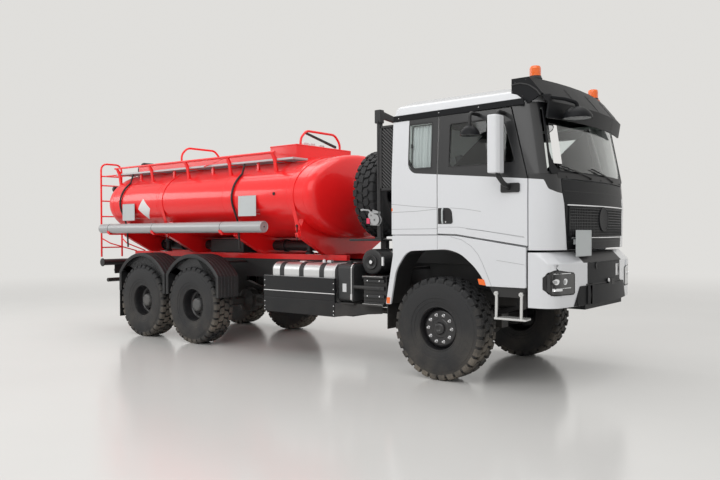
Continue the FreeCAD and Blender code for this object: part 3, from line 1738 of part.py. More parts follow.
def sill_outline(grow):
    """What is open below the cab's sides, down to its bottom."""
    x = number(FRONT_X)
    return [
        (x - 800, 1500), (x + number(size("door_front")) + grow, 1500),
        (x + number(size("door_front")) + grow, number(size("door_bottom_front_z")) - grow),
        (x + 267, 1777 - grow), (x, number(size("door_bottom_rear_z")) - grow),
        (x - 800, number(size("door_bottom_rear_z")) - grow),
    ]


def flap_outline(grow):
    """The front flap's outline seen from the front."""
    top = number(size("flap_top_z"))
    low = number(size("flap_low_z"))
    wide = number(size("flap_top_half")) + grow
    narrow = number(size("flap_low_half")) + grow
    shoulder = top - 130
    return [
        (-wide, top + grow), (-wide, shoulder), (-narrow, low - 4 * grow), (narrow, low - 4 * grow),
        (wide, shoulder), (wide, top + grow),
    ]


def screen_outline():
    """The windscreen's outline seen from the front."""
    low = number(size("screen_bottom_z"))
    top = number(size("screen_top_z"))
    wide = number(size("screen_half_bottom"))
    narrow = number(size("screen_half_top"))
    return [(-wide, low), (wide, low), (narrow, top), (-narrow, top)]


def rear_window_outline():
    """The outline of the small side window behind the door."""
    low = number(size("rear_glass_bottom_z"))
    top = number(size("rear_glass_top_z"))
    back = number(from_axle("rear_glass_rear"))
    front = number(from_axle("rear_glass_front"))
    return [(back, low), (front, low), (front, top), (back, top)]


def door_window_outline():
    """The outline of the door's window."""
    low = number(size("door_glass_bottom_z"))
    top = number(size("door_glass_top_z"))
    back = number(from_axle("door_glass_rear"))
    return [
        (back, low), (number(from_axle("door_glass_bottom_front")), low),
        (number(from_axle("door_glass_top_front")), top), (back, top),
    ]


def add_cab():
    """The cab's hollow body with its openings, the roof, the front panel, the glass and both doors."""
    wall = number(size("cab_wall"))
    seam = number(size("seam"))
    floor = number(size("cab_floor_z"))
    roof_line = number(size("roof_line_z"))
    split = number(from_axle("door_front")) + seam
    belt = number(size("belt_z"))
    far = 1400
    outer = cab_solid(0)
    inner = cab_solid(wall, floor, roof_line)
    hollow = outer.cut(inner)
    nose_block = outline(
        [(split, 1500), (split + 600, 1500), (split + 600, belt), (split, belt)], "xz", -far, far,
    )
    under_nose = cab_solid(wall, number(size("cab_bottom_z")) - 10, floor)
    under_nose = under_nose.common(nose_block)
    front = outer.cut(inner).cut(under_nose).common(nose_block)
    front = front.cut(outline(flap_outline(seam), "yz", split, split + 600))
    body = hollow.cut(nose_block)
    body = body.cut(outline(door_outline(seam), "xz", -far, -1000)).cut(
        outline(door_outline(seam), "xz", 1000, far)
    )
    body = body.cut(outline(sill_outline(seam), "xz", -far, -1170)).cut(
        outline(sill_outline(seam), "xz", 1170, far)
    )
    body = body.cut(outline(screen_outline(), "yz", number(FRONT_X) + 950, number(FRONT_X) + 1800))
    for low, high in ((-far, -1000), (1000, far)):
        body = body.cut(outline(rear_window_outline(), "xz", low, high))
    rear = number(from_axle("cab_rear"))
    curb_top = number(size("door_bottom_rear_z")) + 15
    extras = []
    for sign in (1, -1):
        inner_edge = sign * 1122
        reach = sign * 40
        low_y = min(inner_edge, inner_edge + reach)
        extras.append(Part.makeBox(split - rear, 40, curb_top - floor, V(rear, low_y, floor)))
        ledge_low = min(inner_edge, sign * 1200)
        ledge = Part.makeBox(number(FRONT_X) - seam - rear, 70, 15, V(rear, ledge_low, curb_top - 15))
        extras.append(ledge)
    bulkhead = cab_solid(wall - 5, floor - 5, belt).common(
        outline([(split - 40, 1500), (split, 1500), (split, belt), (split - 40, belt)], "xz", -far, far)
    )
    for sign in (1, -1):
        low_y, high_y = sorted((sign * 1170, sign * far))
        sill = outline(sill_outline(60), "xz", low_y, high_y)
        bulkhead = bulkhead.cut(sill)
        door_low, door_high = sorted((sign * 1150, sign * far))
        door_room = Part.makeBox(100, door_high - door_low, 1000, V(split - 70, door_low, 1600))
        bulkhead = bulkhead.cut(door_room)
    body = body.multiFuse(extras + [bulkhead]).removeSplitter()
    node("cab_shell", shaped("cab_body", body))
    node("cab_front", shaped("cab_front_panel", front))

    roof = roof_solid(0).cut(roof_solid(wall))
    node("cab_roof", shaped("cab_roof_panel", roof))

    glass_in = 10
    thick = number(size("glass_thickness"))
    pane = cab_solid(glass_in).cut(cab_solid(glass_in + thick))
    panes = [pane.common(outline(screen_outline(), "yz", number(FRONT_X) + 950, number(FRONT_X) + 1800))]
    for low, high in ((-far, -1000), (1000, far)):
        panes.append(pane.common(outline(rear_window_outline(), "xz", low, high)))
    node("cab_glass", shaped("cab_panes", Part.makeCompound(panes)))

    door_skin = cab_solid(0).cut(cab_solid(number(size("door_thickness")), 1500, 3300))
    door = door_skin.common(outline(door_outline(-4), "xz", -far, -1000))
    door = door.cut(outline(door_window_outline(), "xz", -far, -1000))
    door_glass = pane.common(outline(door_window_outline(), "xz", -far, -1000))
    right_door = shaped("door_skin", door)
    node("door_right", right_door)
    node("door_left", mirror("door_skin_left", right_door))
    right_glass = shaped("door_pane", door_glass)
    node("door_glass_right", right_glass)
    node("door_glass_left", mirror("door_pane_left", right_glass))

    flap_skin = cab_solid(0).cut(cab_solid(number(size("flap_thickness")), 1500, 3300))
    flap = flap_skin.common(outline(flap_outline(0), "yz", split, split + 600))
    flap = flap.common(
        outline([(split, 1605), (split + 600, 1605), (split + 600, 2600), (split, 2600)], "xz", -far, far)
    )
    node("grille_flap", shaped("flap_skin", flap))


def add_visor():
    """The sun visor over the windscreen, the beacons on it and the round mirror in front of it."""
    front = number(FRONT_X)
    bulge = number(size("front_bulge"))
    bulge_y = number(size("front_bulge_y"))
    profile = [
        (1075, 3420), (1075, 3550), (1290, 3550), (1349, 3477), (1530, 3250), (1500, 3070), (1478, 3072),
        (1505, 3240), (1330, 3455), (1280, 3515), (1115, 3515), (1115, 3420),
    ]
    rings = []
    half = number(size("visor_half"))
    for share in (-1, -0.8, -0.53, -0.27, 0, 0.27, 0.53, 0.8, 1):
        y = share * half
        back = bulge * (y / bulge_y) ** 2
        rings.append([V(front + x - back, y, z) for x, z in profile])
    arch = skinned(rings)
    pieces = [arch]
    back = bulge * (half / bulge_y) ** 2
    side = [
        (1075, 3300), (1075, 3550), (1290, 3550), (1349, 3477), (1450, 3350), (1280, 3250), (1180, 3250),
    ]
    for low, high in ((-half - 20, -half + 5), (half - 5, half + 20)):
        pieces.append(outline([(front + x - back, z) for x, z in side], "xz", low, high))
    whole = pieces[0].multiFuse(pieces[1:])
    whole = whole.cut(cab_solid(0)).cut(roof_solid(0))
    node("sun_visor", shaped("visor_body", whole))

    lamps = []
    for side in (1, -1):
        x = from_axle("beacon_x")
        y = side * size("beacon_y")
        height = size("beacon_top_z") - size("beacon_base_z")
        base = bar("beacon_base", "z", x, y, size("beacon_base_z"), size("beacon_radius") + 6, 30, 16)
        lens = bar("beacon_lens", "z", x, y, size("beacon_base_z"), size("beacon_radius"), height, 16)
        lamps.append(fuse("beacon", [base, lens]))
    node("beacons", group("beacon_set", lamps))

    x = from_axle("front_mirror_x")
    y = size("front_mirror_y")
    z = size("front_mirror_z")
    rim = number(size("front_mirror_radius"))
    dish_shape = turned_ring([(-40, 0), (-40, rim), (0, rim * 0.95), (90, rim * 0.5), (90, 0)], 18)
    dish = place(shaped("mirror_dish", dish_shape), x, y, z, FreeCAD.Rotation(V(1, 0, 0), 90))
    arm = tube(
        "front_mirror_arm",
        [(x, y, z + 60), (x, y, z + 230), (x - 190, y, z + 230), (x - 255, y, z + 180)], 13, 40,
    )
    whole = fuse("front_mirror_whole", [dish, arm])
    blocker = shaped("visor_space", node_shape("sun_visor"))
    node("front_mirror", cut("front_mirror_body", whole, [blocker]))


def node_shape(label):
    """The finished shape of an earlier node, for cutting."""
    doc.recompute()
    return NODES[label].Shape.copy()


def add_mirrors():
    """Mirror heads on arms from the doors, and the round kerb mirror over the right door."""
    y_in = -size("mirror_inner_y")
    y_out = -size("mirror_outer_y")
    head = prism(
        "mirror_head", "xy",
        [
            (from_axle("mirror_rear"), y_in), (from_axle("mirror_rear"), y_out),
            (from_axle("mirror_front") - 20, y_out), (from_axle("mirror_front"), y_out + 60),
            (from_axle("mirror_front"), y_in - 40), (from_axle("mirror_front") - 30, y_in),
        ],
        size("mirror_bottom_z"), size("mirror_top_z"),
    )
    x = from_axle("mirror_rear") + 66
    y = -size("cab_half_width")
    pad = box("mirror_pad", x - 40, x + 200, y - 22, y, 2250, 2360)
    lower = tube(
        "mirror_arm_low",
        [(x + 60, y - 10, 2310), (x + 60, y - 150, 2310), (x, y - 150, 2400), (x, y - 150, 2560)], 15, 45,
    )
    upper = tube("mirror_arm_top", [(x, y - 150, 3060), (x, y - 150, 3180), (x, y + 46, 3180)], 15, 45)
    whole = fuse("mirror_whole", [head, pad, lower, upper])
    door = shaped("door_space", node_shape("door_right"))
    right = cut("mirror_body", whole, [door])
    left = mirror("mirror_body_left", right)
    node("mirror_left", left)
    bracket = tube(
        "kerb_arm", [(x - 350, y - 165, 3020), (x - 350, y - 165, 3190), (x - 350, y + 46, 3190)], 11, 45,
    )
    dome_shape = turned_ring([(0, 0), (0, 118), (40, 110), (80, 85), (118, 40), (118, 0)], 16)
    dome = place(shaped("kerb_dome", dome_shape), x - 350, y - 165, 2915, FreeCAD.Rotation(V(1, 0, 0), 90))
    kerb = fuse("kerb_whole", [bracket, dome])
    kerb_cut = cut("kerb_body", kerb, [shaped("door_space_kerb", node_shape("door_right"))])
    node("mirror_right", right)
    node("kerb_mirror", kerb_cut)


def add_interior():
    """The dashboard with its steering wheel, and two seats."""
    floor = size("cab_floor_z")
    dash_front = from_axle("door_front") + size("seam") - 40
    dash_back = dash_front - 300
    dash = prism(
        "dash_block", "xz",
        [
            (dash_back, 2250), (dash_front, 2150), (dash_front, 2440), (dash_back + 60, 2440),
        ],
        -1100, 1100,
    )
    console = box("dash_foot", dash_front - 120, dash_front, -350, 350, floor, 2200)
    wheel_y = size("seat_y")
    grip = number(size("wheel_rim_radius"))
    section = [(-12, grip - 12), (-12, grip + 12), (12, grip + 12), (12, grip - 12)]
    lean = FreeCAD.Rotation(V(0, 1, 0), -35) * FreeCAD.Rotation(V(1, 0, 0), 90)
    wheel = place(shaped("steering_ring", turned_ring(section, 20)), dash_back - 90, wheel_y, 2470, lean)
    column = tube(
        "steering_column", [
            (dash_back - 90, wheel_y, 2470), (dash_back + 40, wheel_y, 2380),
            (dash_back + 120, wheel_y, 2320),
        ],
        30, 30,
    )
    spoke = bar("steering_spoke", "y", dash_back - 90, wheel_y - grip, 2470, 14, 2 * grip)
    node("dashboard", fuse("dashboard_whole", [dash, console, wheel, column, spoke]))
    half = size("seat_width") / 2
    seats = []
    for side in (1, -1):
        y = side * size("seat_y")
        x = from_axle("seat_x")
        base = box("seat_base", x - 200, x + 200, y - 180, y + 180, floor, size("seat_z") - 100)
        cushion = box(
            "seat_cushion", x - 270, x + 260, y - half, y + half, size("seat_z") - 120,
            size("seat_z") + 30,
        )
        back = prism(
            "seat_back", "xz",
            [
                (x - 270, size("seat_z")), (x - 150, size("seat_z")), (x - 260, size("seat_z") + 720),
                (x - 360, size("seat_z") + 720),
            ],
            y - half * 0.92, y + half * 0.92,
        )
        seats.append(fuse("seat", [base, cushion, back]))
    node("seats", group("seat_set", seats))


def add_air_intake():
    """The air intake stack behind the cab."""
    duct = box("intake_duct", from_axle("cab_rear") - 260, from_axle("cab_rear"), -1150, -790, 2350, 3200)
    node("air_intake", duct)


def bumper_solid(inset):
    """The bumper's full solid, drawn in by an inset all round."""
    rear = number(from_axle("bumper_rear"))
    half = number(size("bumper_half"))
    front = number(from_axle("bumper_front"))
    shelf = number(from_axle("bumper_shelf_x"))
    low = number(size("bumper_bottom_z"))
    edge = number(size("bumper_edge_z"))
    top = number(size("bumper_top_z"))
    corner = 190
    rings = [
        plan_ring(low + (inset and -20), rear - (inset and 2 * inset), front, half, corner, inset),
        plan_ring(edge, rear - (inset and 2 * inset), front, half, corner, inset),
        plan_ring(top - inset, rear - (inset and 2 * inset), shelf, half, corner, inset),
    ]
    return skinned(rings)


def add_bumper():
    """The front bumper, its dark centre, and the lamps in it and at the rear."""
    wall = number(size("bumper_wall"))
    rear = number(from_axle("bumper_rear"))
    far = 1400
    centre = number(size("bumper_centre_half"))
    edge = number(size("bumper_edge_z"))
    low = number(size("bumper_bottom_z"))
    skin = bumper_solid(0).cut(bumper_solid(wall))
    lamp_zones = []
    for sign in (1, -1):
        across = sorted((sign * 946, sign * 1200))
        lamp_zones.append(
            outline(
                [(across[0], 1100), (across[1], 1100), (across[1], 1410), (across[0], 1410)],
                "yz", rear + 145, rear + 700,
            )
        )
    centre_zone = outline(
        [(-centre, low - 30), (centre, low - 30), (centre, edge), (-centre, edge)], "yz", rear + 100,
        rear + 700,
    )
    body = skin.cut(centre_zone)
    for zone in lamp_zones:
        body = body.cut(zone)
    beam_x = rear + 110
    beam = Part.makeBox(30, 2 * 1230, 140, V(beam_x, -1230, 1200))
    extras = [beam]
    rail_end = number(from_axle("rail_front"))
    for side in (1, -1):
        middle = side * (number(RAIL_Y) - 40)
        extras.append(Part.makeBox(beam_x + 5 - rail_end, 70, 110, V(rail_end, middle - 35, 1215)))
    plate = Part.makeBox(340, 1200, 50, V(rear + 60, -600, low - 50))
    body = body.fuse(extras).removeSplitter()
    node("front_bumper", shaped("bumper_body", body))

    gap = 4
    inner_zone = outline(
        [
            (-centre + gap, low), (centre - gap, low), (centre - gap, edge - gap),
            (-centre + gap, edge - gap),
        ],
        "yz", rear + 100, rear + 700,
    )
    middle = skin.common(inner_zone)
    for side in (1, -1):
        prop = Part.makeBox(260, 40, 80, V(beam_x + 30, side * 220 - 20, 1230))
        middle = middle.fuse(prop.common(bumper_solid(0)))
    middle = middle.fuse(plate.cut(bumper_solid(0)))
    skid = Part.makeBox(340, 1200, 50, V(rear + 60, -600, low - 50))
    hangers = [Part.makeBox(30, 60, 260, V(rear + 270, side * 300 - 30, low - 20)) for side in (1, -1)]
    middle = middle.multiFuse(
        hangers + [Part.makeBox(200, 40, 40, V(rear + 140, side * 300 - 20, 1200)) for side in (1, -1)]
    )
    node("bumper_centre", shaped("centre_body", middle))

    lamps = []
    lamp_skin = bumper_solid(0).cut(bumper_solid(wall + 15))
    for zone in lamp_zones:
        lamps.append(lamp_skin.common(zone))
    for sign in (1, -1):
        x = number(from_axle("underrun_x")) - number(size("underrun_radius")) * 0.2
        for step in (0, 1):
            y = sign * (620 + 150 * step)
            lamp = turned_ring([(0, 0), (0, 52), (60, 52), (60, 0)], 14)
            lamp.rotate(V(0, 0, 0), V(0, 0, 1), 90)
            lamp.translate(V(x - 25, y, number(size("underrun_z")) - 160))
            lamps.append(lamp)
    node("lamps", shaped("lamp_set", Part.makeCompound(lamps)))


def add_fenders():
    """White panels beside the front wheels, and the hanging aluminium steps."""
    x = FRONT_X
    panel = prism(
        "fender_panel", "xz",
        [
            (x + 664, 1177), (x + size("step_front"), size("step_bottom_z")), (x + size("step_front"), 1629),
            (x + 267, 1761), (x, 1769), (x - 690, 1769), (x - 672, 1525), (x - 788, size("strip_bottom_z")),
            (x - 712, size("strip_bottom_z")), (x - 628, 1330), (x - 456, 1570), (x + 143, 1600),
            (x + 330, 1545), (x + 505, 1402), (x + 600, 1290),
        ],
        -size("fender_y"), -size("fender_y") + size("fender_wall"),
    )
    node("front_fenders", both_sides("fender_set", panel))
    steps = []
    for spot in (777, 1089):
        steps.append(
            box(
                "step_strap", x + spot, x + spot + 30, -size("fender_y") + 4, -size("fender_y") + 29, 820,
                size("step_bottom_z"),
            )
        )
    steps.append(
        box(
            "step_tread", x + 763, x + 1162, -size("fender_y") + 4, -size("fender_y") + 190, 800,
            size("step_plate_z"),
        )
    )
    node("cab_steps", both_sides("step_set", fuse("step", steps)))


def build():
    """Build every sub-part, check them all and write the STEP files."""
    add_wheels()
    add_axles()
    add_steering()
    add_springs()
    add_frame()
    add_powertrain()
    add_tank()
    add_subframe()
    add_coaming()
    add_lids()
    add_walkway()
    add_ladder_and_rails()
    add_hose_lockers()
    add_mudguards()
    add_fuel_tank()
    add_side_guards()
    add_boxes()
    add_spare()
    add_rear_end()
    add_drain_hoses()
    add_cab()
    add_visor()
    add_mirrors()
    add_interior()
    add_air_intake()
    add_bumper()
    add_fenders()
    doc.recompute()
    for thing in doc.Objects:
        if any(word in thing.State for word in ("Invalid", "Error")):
            raise RuntimeError(f"{thing.Name}: {thing.State}")
    os.makedirs("parts", exist_ok=True)
    for label, thing in NODES.items():
        shape = thing.Shape
        if shape.isNull() or not shape.isValid() or not shape.Solids:
            raise RuntimeError(f"{label}: shape is not valid")
        shape.exportStep(f"parts/{label}.step")


build()
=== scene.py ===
"""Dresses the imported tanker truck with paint, tyre treads, tank fittings and cab trim, in a plain pale studio.

Everything is in metres in the truck's own frame: forward is +X, left is +Y and up is +Z.
Places along the truck are written from the front axle, as they are in the truck's source.
"""

import json
import math

import bpy
from mathutils import Matrix, Vector

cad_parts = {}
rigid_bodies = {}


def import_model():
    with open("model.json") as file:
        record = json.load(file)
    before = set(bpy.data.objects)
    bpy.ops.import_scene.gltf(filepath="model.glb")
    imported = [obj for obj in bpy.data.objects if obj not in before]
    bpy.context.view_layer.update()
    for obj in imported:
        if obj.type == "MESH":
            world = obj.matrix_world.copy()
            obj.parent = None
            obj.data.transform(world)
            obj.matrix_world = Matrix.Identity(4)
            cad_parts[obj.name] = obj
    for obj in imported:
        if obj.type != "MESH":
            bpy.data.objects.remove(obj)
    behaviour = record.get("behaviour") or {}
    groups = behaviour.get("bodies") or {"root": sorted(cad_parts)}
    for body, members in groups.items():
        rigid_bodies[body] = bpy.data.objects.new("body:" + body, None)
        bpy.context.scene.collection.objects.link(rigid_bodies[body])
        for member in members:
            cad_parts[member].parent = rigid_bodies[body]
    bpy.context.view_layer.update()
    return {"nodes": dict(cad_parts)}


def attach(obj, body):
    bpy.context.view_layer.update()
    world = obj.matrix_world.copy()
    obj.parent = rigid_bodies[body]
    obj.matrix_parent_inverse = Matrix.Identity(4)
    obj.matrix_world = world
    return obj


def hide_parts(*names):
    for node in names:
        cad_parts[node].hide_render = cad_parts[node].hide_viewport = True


bl_info = {"name": "Tanker Truck Dressing", "version": (1, 0, 0), "blender": (4, 5, 0),
    "location": "View3D > Sidebar > Tanker Truck", "description": "Paints and details an off-road tanker truck",
    "category": "Object"}

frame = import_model()
AXLE = 3.055
AXLES = {"front": AXLE, "middle": AXLE - 4.75, "rear": AXLE - 6.15}
WHEEL_Y = 1.0875
WHEEL_Z = 0.629
TANK_Z = 2.36
TANK_WIDE = 1.2
TANK_HIGH = 0.64
BAND_TOP = 3.212
GUARD_RADIUS = 0.838
INTAKE_HIGH = 3.198
INTAKE_LOW = 2.352
LADDER_INNER = 0.555
MESH_HALF = 0.838
PLATE_SHARE = 1.0016
WING_TOP = 1.842
SIDES = (-1, 1)
FULL_TURN = 2 * math.pi
WELD = 0.00002


# Short calls for modelling with the usual operators


def set_mode(mode):
    """Object mode or edit mode."""
    bpy.ops.object.mode_set(mode=mode)


def select_all():
    """Everything in edit mode."""
    bpy.ops.mesh.select_all(action="SELECT")


def clear_selection():
    """Object mode with nothing selected."""
    active = bpy.context.view_layer.objects.active
    if active and active.mode != "OBJECT":
        set_mode("OBJECT")
    bpy.ops.object.select_all(action="DESELECT")


def pick(piece):
    """Select one piece alone and make it active."""
    clear_selection()
    piece.select_set(True)
    bpy.context.view_layer.objects.active = piece
    return piece


def choose(kind, test):
    """In edit mode, select the vertices, edges or faces that pass a test."""
    mesh = bpy.context.object.data
    bpy.ops.mesh.select_mode(type=kind)
    bpy.ops.mesh.select_all(action="DESELECT")
    set_mode("OBJECT")
    parts = {"VERT": mesh.vertices, "EDGE": mesh.edges, "FACE": mesh.polygons}[kind]
    for part in parts:
        part.select = bool(test(part))
    set_mode("EDIT")


def modify(piece, kind, **settings):
    """Add a modifier and apply it."""
    pick(piece)
    modifier = piece.modifiers.new(kind.title(), kind)
    for name, value in settings.items():
        setattr(modifier, name, value)
    bpy.ops.object.modifier_apply(modifier=modifier.name)
    return piece


def softened(piece, width, segments=2, angle=35):
    """Round the sharp edges."""
    if width:
        modify(piece, "BEVEL", width=width, segments=segments, limit_method="ANGLE", angle_limit=math.radians(angle))
    return piece


def smooth(piece, angle=35):
    """Shade smooth over soft edges, with the large faces kept flat."""
    pick(piece)
    bpy.ops.object.shade_smooth_by_angle(angle=math.radians(angle))
    return modify(piece, "WEIGHTED_NORMAL", keep_sharp=True)


def row_of(piece, count, step):
    """A piece repeated along a step."""
    return modify(piece, "ARRAY", count=count, use_relative_offset=False, use_constant_offset=True,
        constant_offset_displace=step)


def at(axis, level, points):
    """A flat outline's points set at one level along an axis."""
    place = "xyz".index(axis)
    return [(*point[:place], level, *point[place:]) for point in map(tuple, points)]


def wire(points):
    """A line of edges, extruded from one corner point to the next; stays in edit mode."""
    clear_selection()
    bpy.ops.mesh.primitive_plane_add(size=0.02, location=points[0])
    set_mode("EDIT")
    bpy.ops.mesh.select_mode(type="VERT")
    bpy.ops.mesh.merge(type="CENTER")
    for before, after in zip(points, points[1:]):
        step = Vector(after) - Vector(before)
        bpy.ops.mesh.extrude_region_move(TRANSFORM_OT_translate={"value": step})
    select_all()
    return bpy.context.object


def settled():
    """Leave edit mode with doubles merged, faces outwards and the place kept in the mesh."""
    select_all()
    bpy.ops.mesh.remove_doubles(threshold=WELD)
    bpy.ops.mesh.normals_make_consistent(inside=False)
    set_mode("OBJECT")
    piece = bpy.context.object
    bpy.ops.object.transform_apply(location=True, rotation=True, scale=True)
    return piece


def slab(points, push, bevel=0, segments=2):
    """An outline filled and pushed along a vector."""
    wire(points)
    bpy.ops.mesh.edge_face_add()
    bpy.ops.mesh.extrude_region_move(TRANSFORM_OT_translate={"value": Vector(push)})
    return softened(settled(), bevel, segments)


def block(low, high, bevel=0, segments=2):
    """A cuboid between two corners with its edges rounded."""
    low, high = Vector(low), Vector(high)
    clear_selection()
    bpy.ops.mesh.primitive_cube_add(size=1, location=(low + high) / 2)
    bpy.ops.transform.resize(value=high - low)
    set_mode("EDIT")
    return softened(settled(), bevel, segments)


AXES = {"x": Vector((1, 0, 0)), "y": Vector((0, 1, 0)), "z": Vector((0, 0, 1))}
OUTWARD = {"x": Vector((0, 0, 1)), "y": Vector((0, 0, 1)), "z": Vector((1, 0, 0))}


def spun(profile, axis, centre=(0, 0, 0), steps=32, scale=None, phase=0):
    """A profile of (along, radius) points spun about an axis through a point."""
    centre = Vector(centre)
    start = Matrix.Rotation(phase, 3, AXES[axis]) @ OUTWARD[axis]
    wire([centre + AXES[axis] * along + start * radius for along, radius in profile])
    bpy.ops.mesh.spin(steps=steps, angle=FULL_TURN, center=centre, axis=AXES[axis])
    if scale:
        select_all()
        bpy.ops.transform.resize(value=scale, center_override=centre)
    return settled()


def rounded_path(points, bend, steps=4):
    """A path whose inner corners turn on arcs."""
    spots = [Vector(point) for point in points]
    path = [spots[0]]
    for before, corner, after in zip(spots, spots[1:], spots[2:]):
        into = (before - corner).normalized()
        out = (after - corner).normalized()
        half = into.angle(out) / 2
        reach = min(bend / math.tan(half), (before - corner).length * 0.49, (after - corner).length * 0.49)
        radius = reach * math.tan(half)
        centre = corner + (into + out).normalized() * (radius / math.sin(half))
        first = corner + into * reach - centre
        last = corner + out * reach - centre
        for step in range(steps + 1):
            path.append(centre + first.slerp(last, step / steps).normalized() * radius)
    return path + [spots[-1]]


def pipe(points, radius, bend=0, resolution=4):
    """A round bar or tube along a path with rounded corners and closed ends."""
    piece = wire(rounded_path(points, bend) if bend else points)
    set_mode("OBJECT")
    bpy.ops.object.transform_apply(location=True, rotation=False, scale=False)
    bpy.ops.object.convert(target="CURVE")
    piece = bpy.context.object
    piece.data.bevel_depth = radius
    piece.data.bevel_resolution = resolution
    piece.data.use_fill_caps = True
    bpy.ops.object.convert(target="MESH")
    return bpy.context.object


def moved(piece, matrix):
    """Carry a piece's mesh through a matrix."""
    piece.data.transform(matrix)
    if matrix.determinant() < 0:
        piece.data.flip_normals()
    return piece


def copied(piece, matrix):
    """A copy with its own mesh, carried through a matrix."""
    pick(piece)
    bpy.ops.object.duplicate()
    return moved(bpy.context.object, matrix)


MIRROR = Matrix.Scale(-1, 4, (0, 1, 0))


def shift(x=0, y=0, z=0):
    """A move as a matrix."""
    return Matrix.Translation((x, y, z))


def turn(angle, axis, about=(0, 0, 0)):
    """A turn in degrees about an axis through a point, as a matrix."""
    spot = Vector(about)
    return Matrix.Translation(spot) @ Matrix.Rotation(math.radians(angle), 4, axis) @ Matrix.Translation(-spot)


def joined(pieces):
    """Several pieces as one mesh."""
    clear_selection()
    for piece in pieces:
        piece.select_set(True)
    bpy.context.view_layer.objects.active = pieces[0]
    if len(pieces) > 1:
        bpy.ops.object.join()
    return bpy.context.object


def mirrored(piece):
    """A piece together with its mirror image on the other side of the truck."""
    return joined([piece, copied(piece, MIRROR)])


def coated(piece, material):
    """Give a whole piece one material."""
    piece.data.materials.clear()
    piece.data.materials.append(material)
    for face in piece.data.polygons:
        face.material_index = 0
    return piece


def done(piece, name, body, replaces=(), material=None, angle=35):
    """Name a finished piece, shade it and hang it on its body."""
    if material:
        coated(piece, material)
    smooth(piece, angle)
    piece.name = name
    piece.data.name = name
    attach(piece, body)
    if replaces:
        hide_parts(*replaces)
    return piece


def cad_copy(node, bevel=0, segments=2):
    """A merged copy of a CAD node with its flat faces joined and its sharp edges rounded."""
    source = frame["nodes"][node]
    hidden = source.hide_viewport
    source.hide_viewport = False
    pick(source)
    bpy.ops.object.duplicate()
    piece = bpy.context.object
    source.hide_viewport = hidden
    piece.hide_render = False
    piece.parent = None
    for key in list(piece.keys()):
        del piece[key]
    pick(piece)
    set_mode("EDIT")
    select_all()
    bpy.ops.mesh.remove_doubles(threshold=WELD)
    bpy.ops.mesh.dissolve_limited(angle_limit=math.radians(0.5))
    set_mode("OBJECT")
    return softened(piece, bevel, segments)


# Finishes


class Tree:
    """A node tree being built, with short calls for its usual nodes."""

    def __init__(self, tree):
        self.tree = tree

    def add(self, kind, **settings):
        """A new node with its own settings."""
        node = self.tree.nodes.new(kind)
        for name, value in settings.items():
            setattr(node, name, value)
        return node

    def feed(self, socket, value):
        """Link a socket into another, or set its number or colour."""
        if isinstance(value, bpy.types.NodeSocket):
            self.tree.links.new(value, socket)
        else:
            socket.default_value = value

    def maths(self, operation, first, second=0, clamp=False):
        """One sum of two numbers."""
        node = self.add("ShaderNodeMath", operation=operation, use_clamp=clamp)
        self.feed(node.inputs[0], first)
        self.feed(node.inputs[1], second)
        return node.outputs[0]

    def mix(self, share, first, second):
        """Two colours mixed."""
        node = self.add("ShaderNodeMix", data_type="RGBA")
        self.feed(node.inputs[0], share)
        self.feed(node.inputs[6], first)
        self.feed(node.inputs[7], second)
        return node.outputs[2]

    def noise(self, place, scale, detail=3):
        """Cloudy noise from 0 to 1."""
        node = self.add("ShaderNodeTexNoise")
        node.inputs["Scale"].default_value = scale
        node.inputs["Detail"].default_value = detail
        self.feed(node.inputs["Vector"], place)
        return node.outputs["Fac"]

    def ramp(self, value, low, high):
        """A value taken smoothly from 0 at low to 1 at high."""
        node = self.add("ShaderNodeMapRange", interpolation_type="SMOOTHSTEP")
        self.feed(node.inputs["Value"], value)
        self.feed(node.inputs["From Min"], low)
        self.feed(node.inputs["From Max"], high)
        return node.outputs["Result"]


GROUPS = {}
MATERIALS = {}


def shader_group(name, inputs, outputs):
    """A new node group with its sockets; gives its tree and the two ends."""
    tree = bpy.data.node_groups.new(name, "ShaderNodeTree")
    for label, kind, value in inputs:
        socket = tree.interface.new_socket(label, in_out="INPUT", socket_type=kind)
        socket.default_value = value
    for label, kind in outputs:
        tree.interface.new_socket(label, in_out="OUTPUT", socket_type=kind)
    GROUPS[name] = tree
    build = Tree(tree)
    return build, build.add("NodeGroupInput").outputs, build.add("NodeGroupOutput").inputs


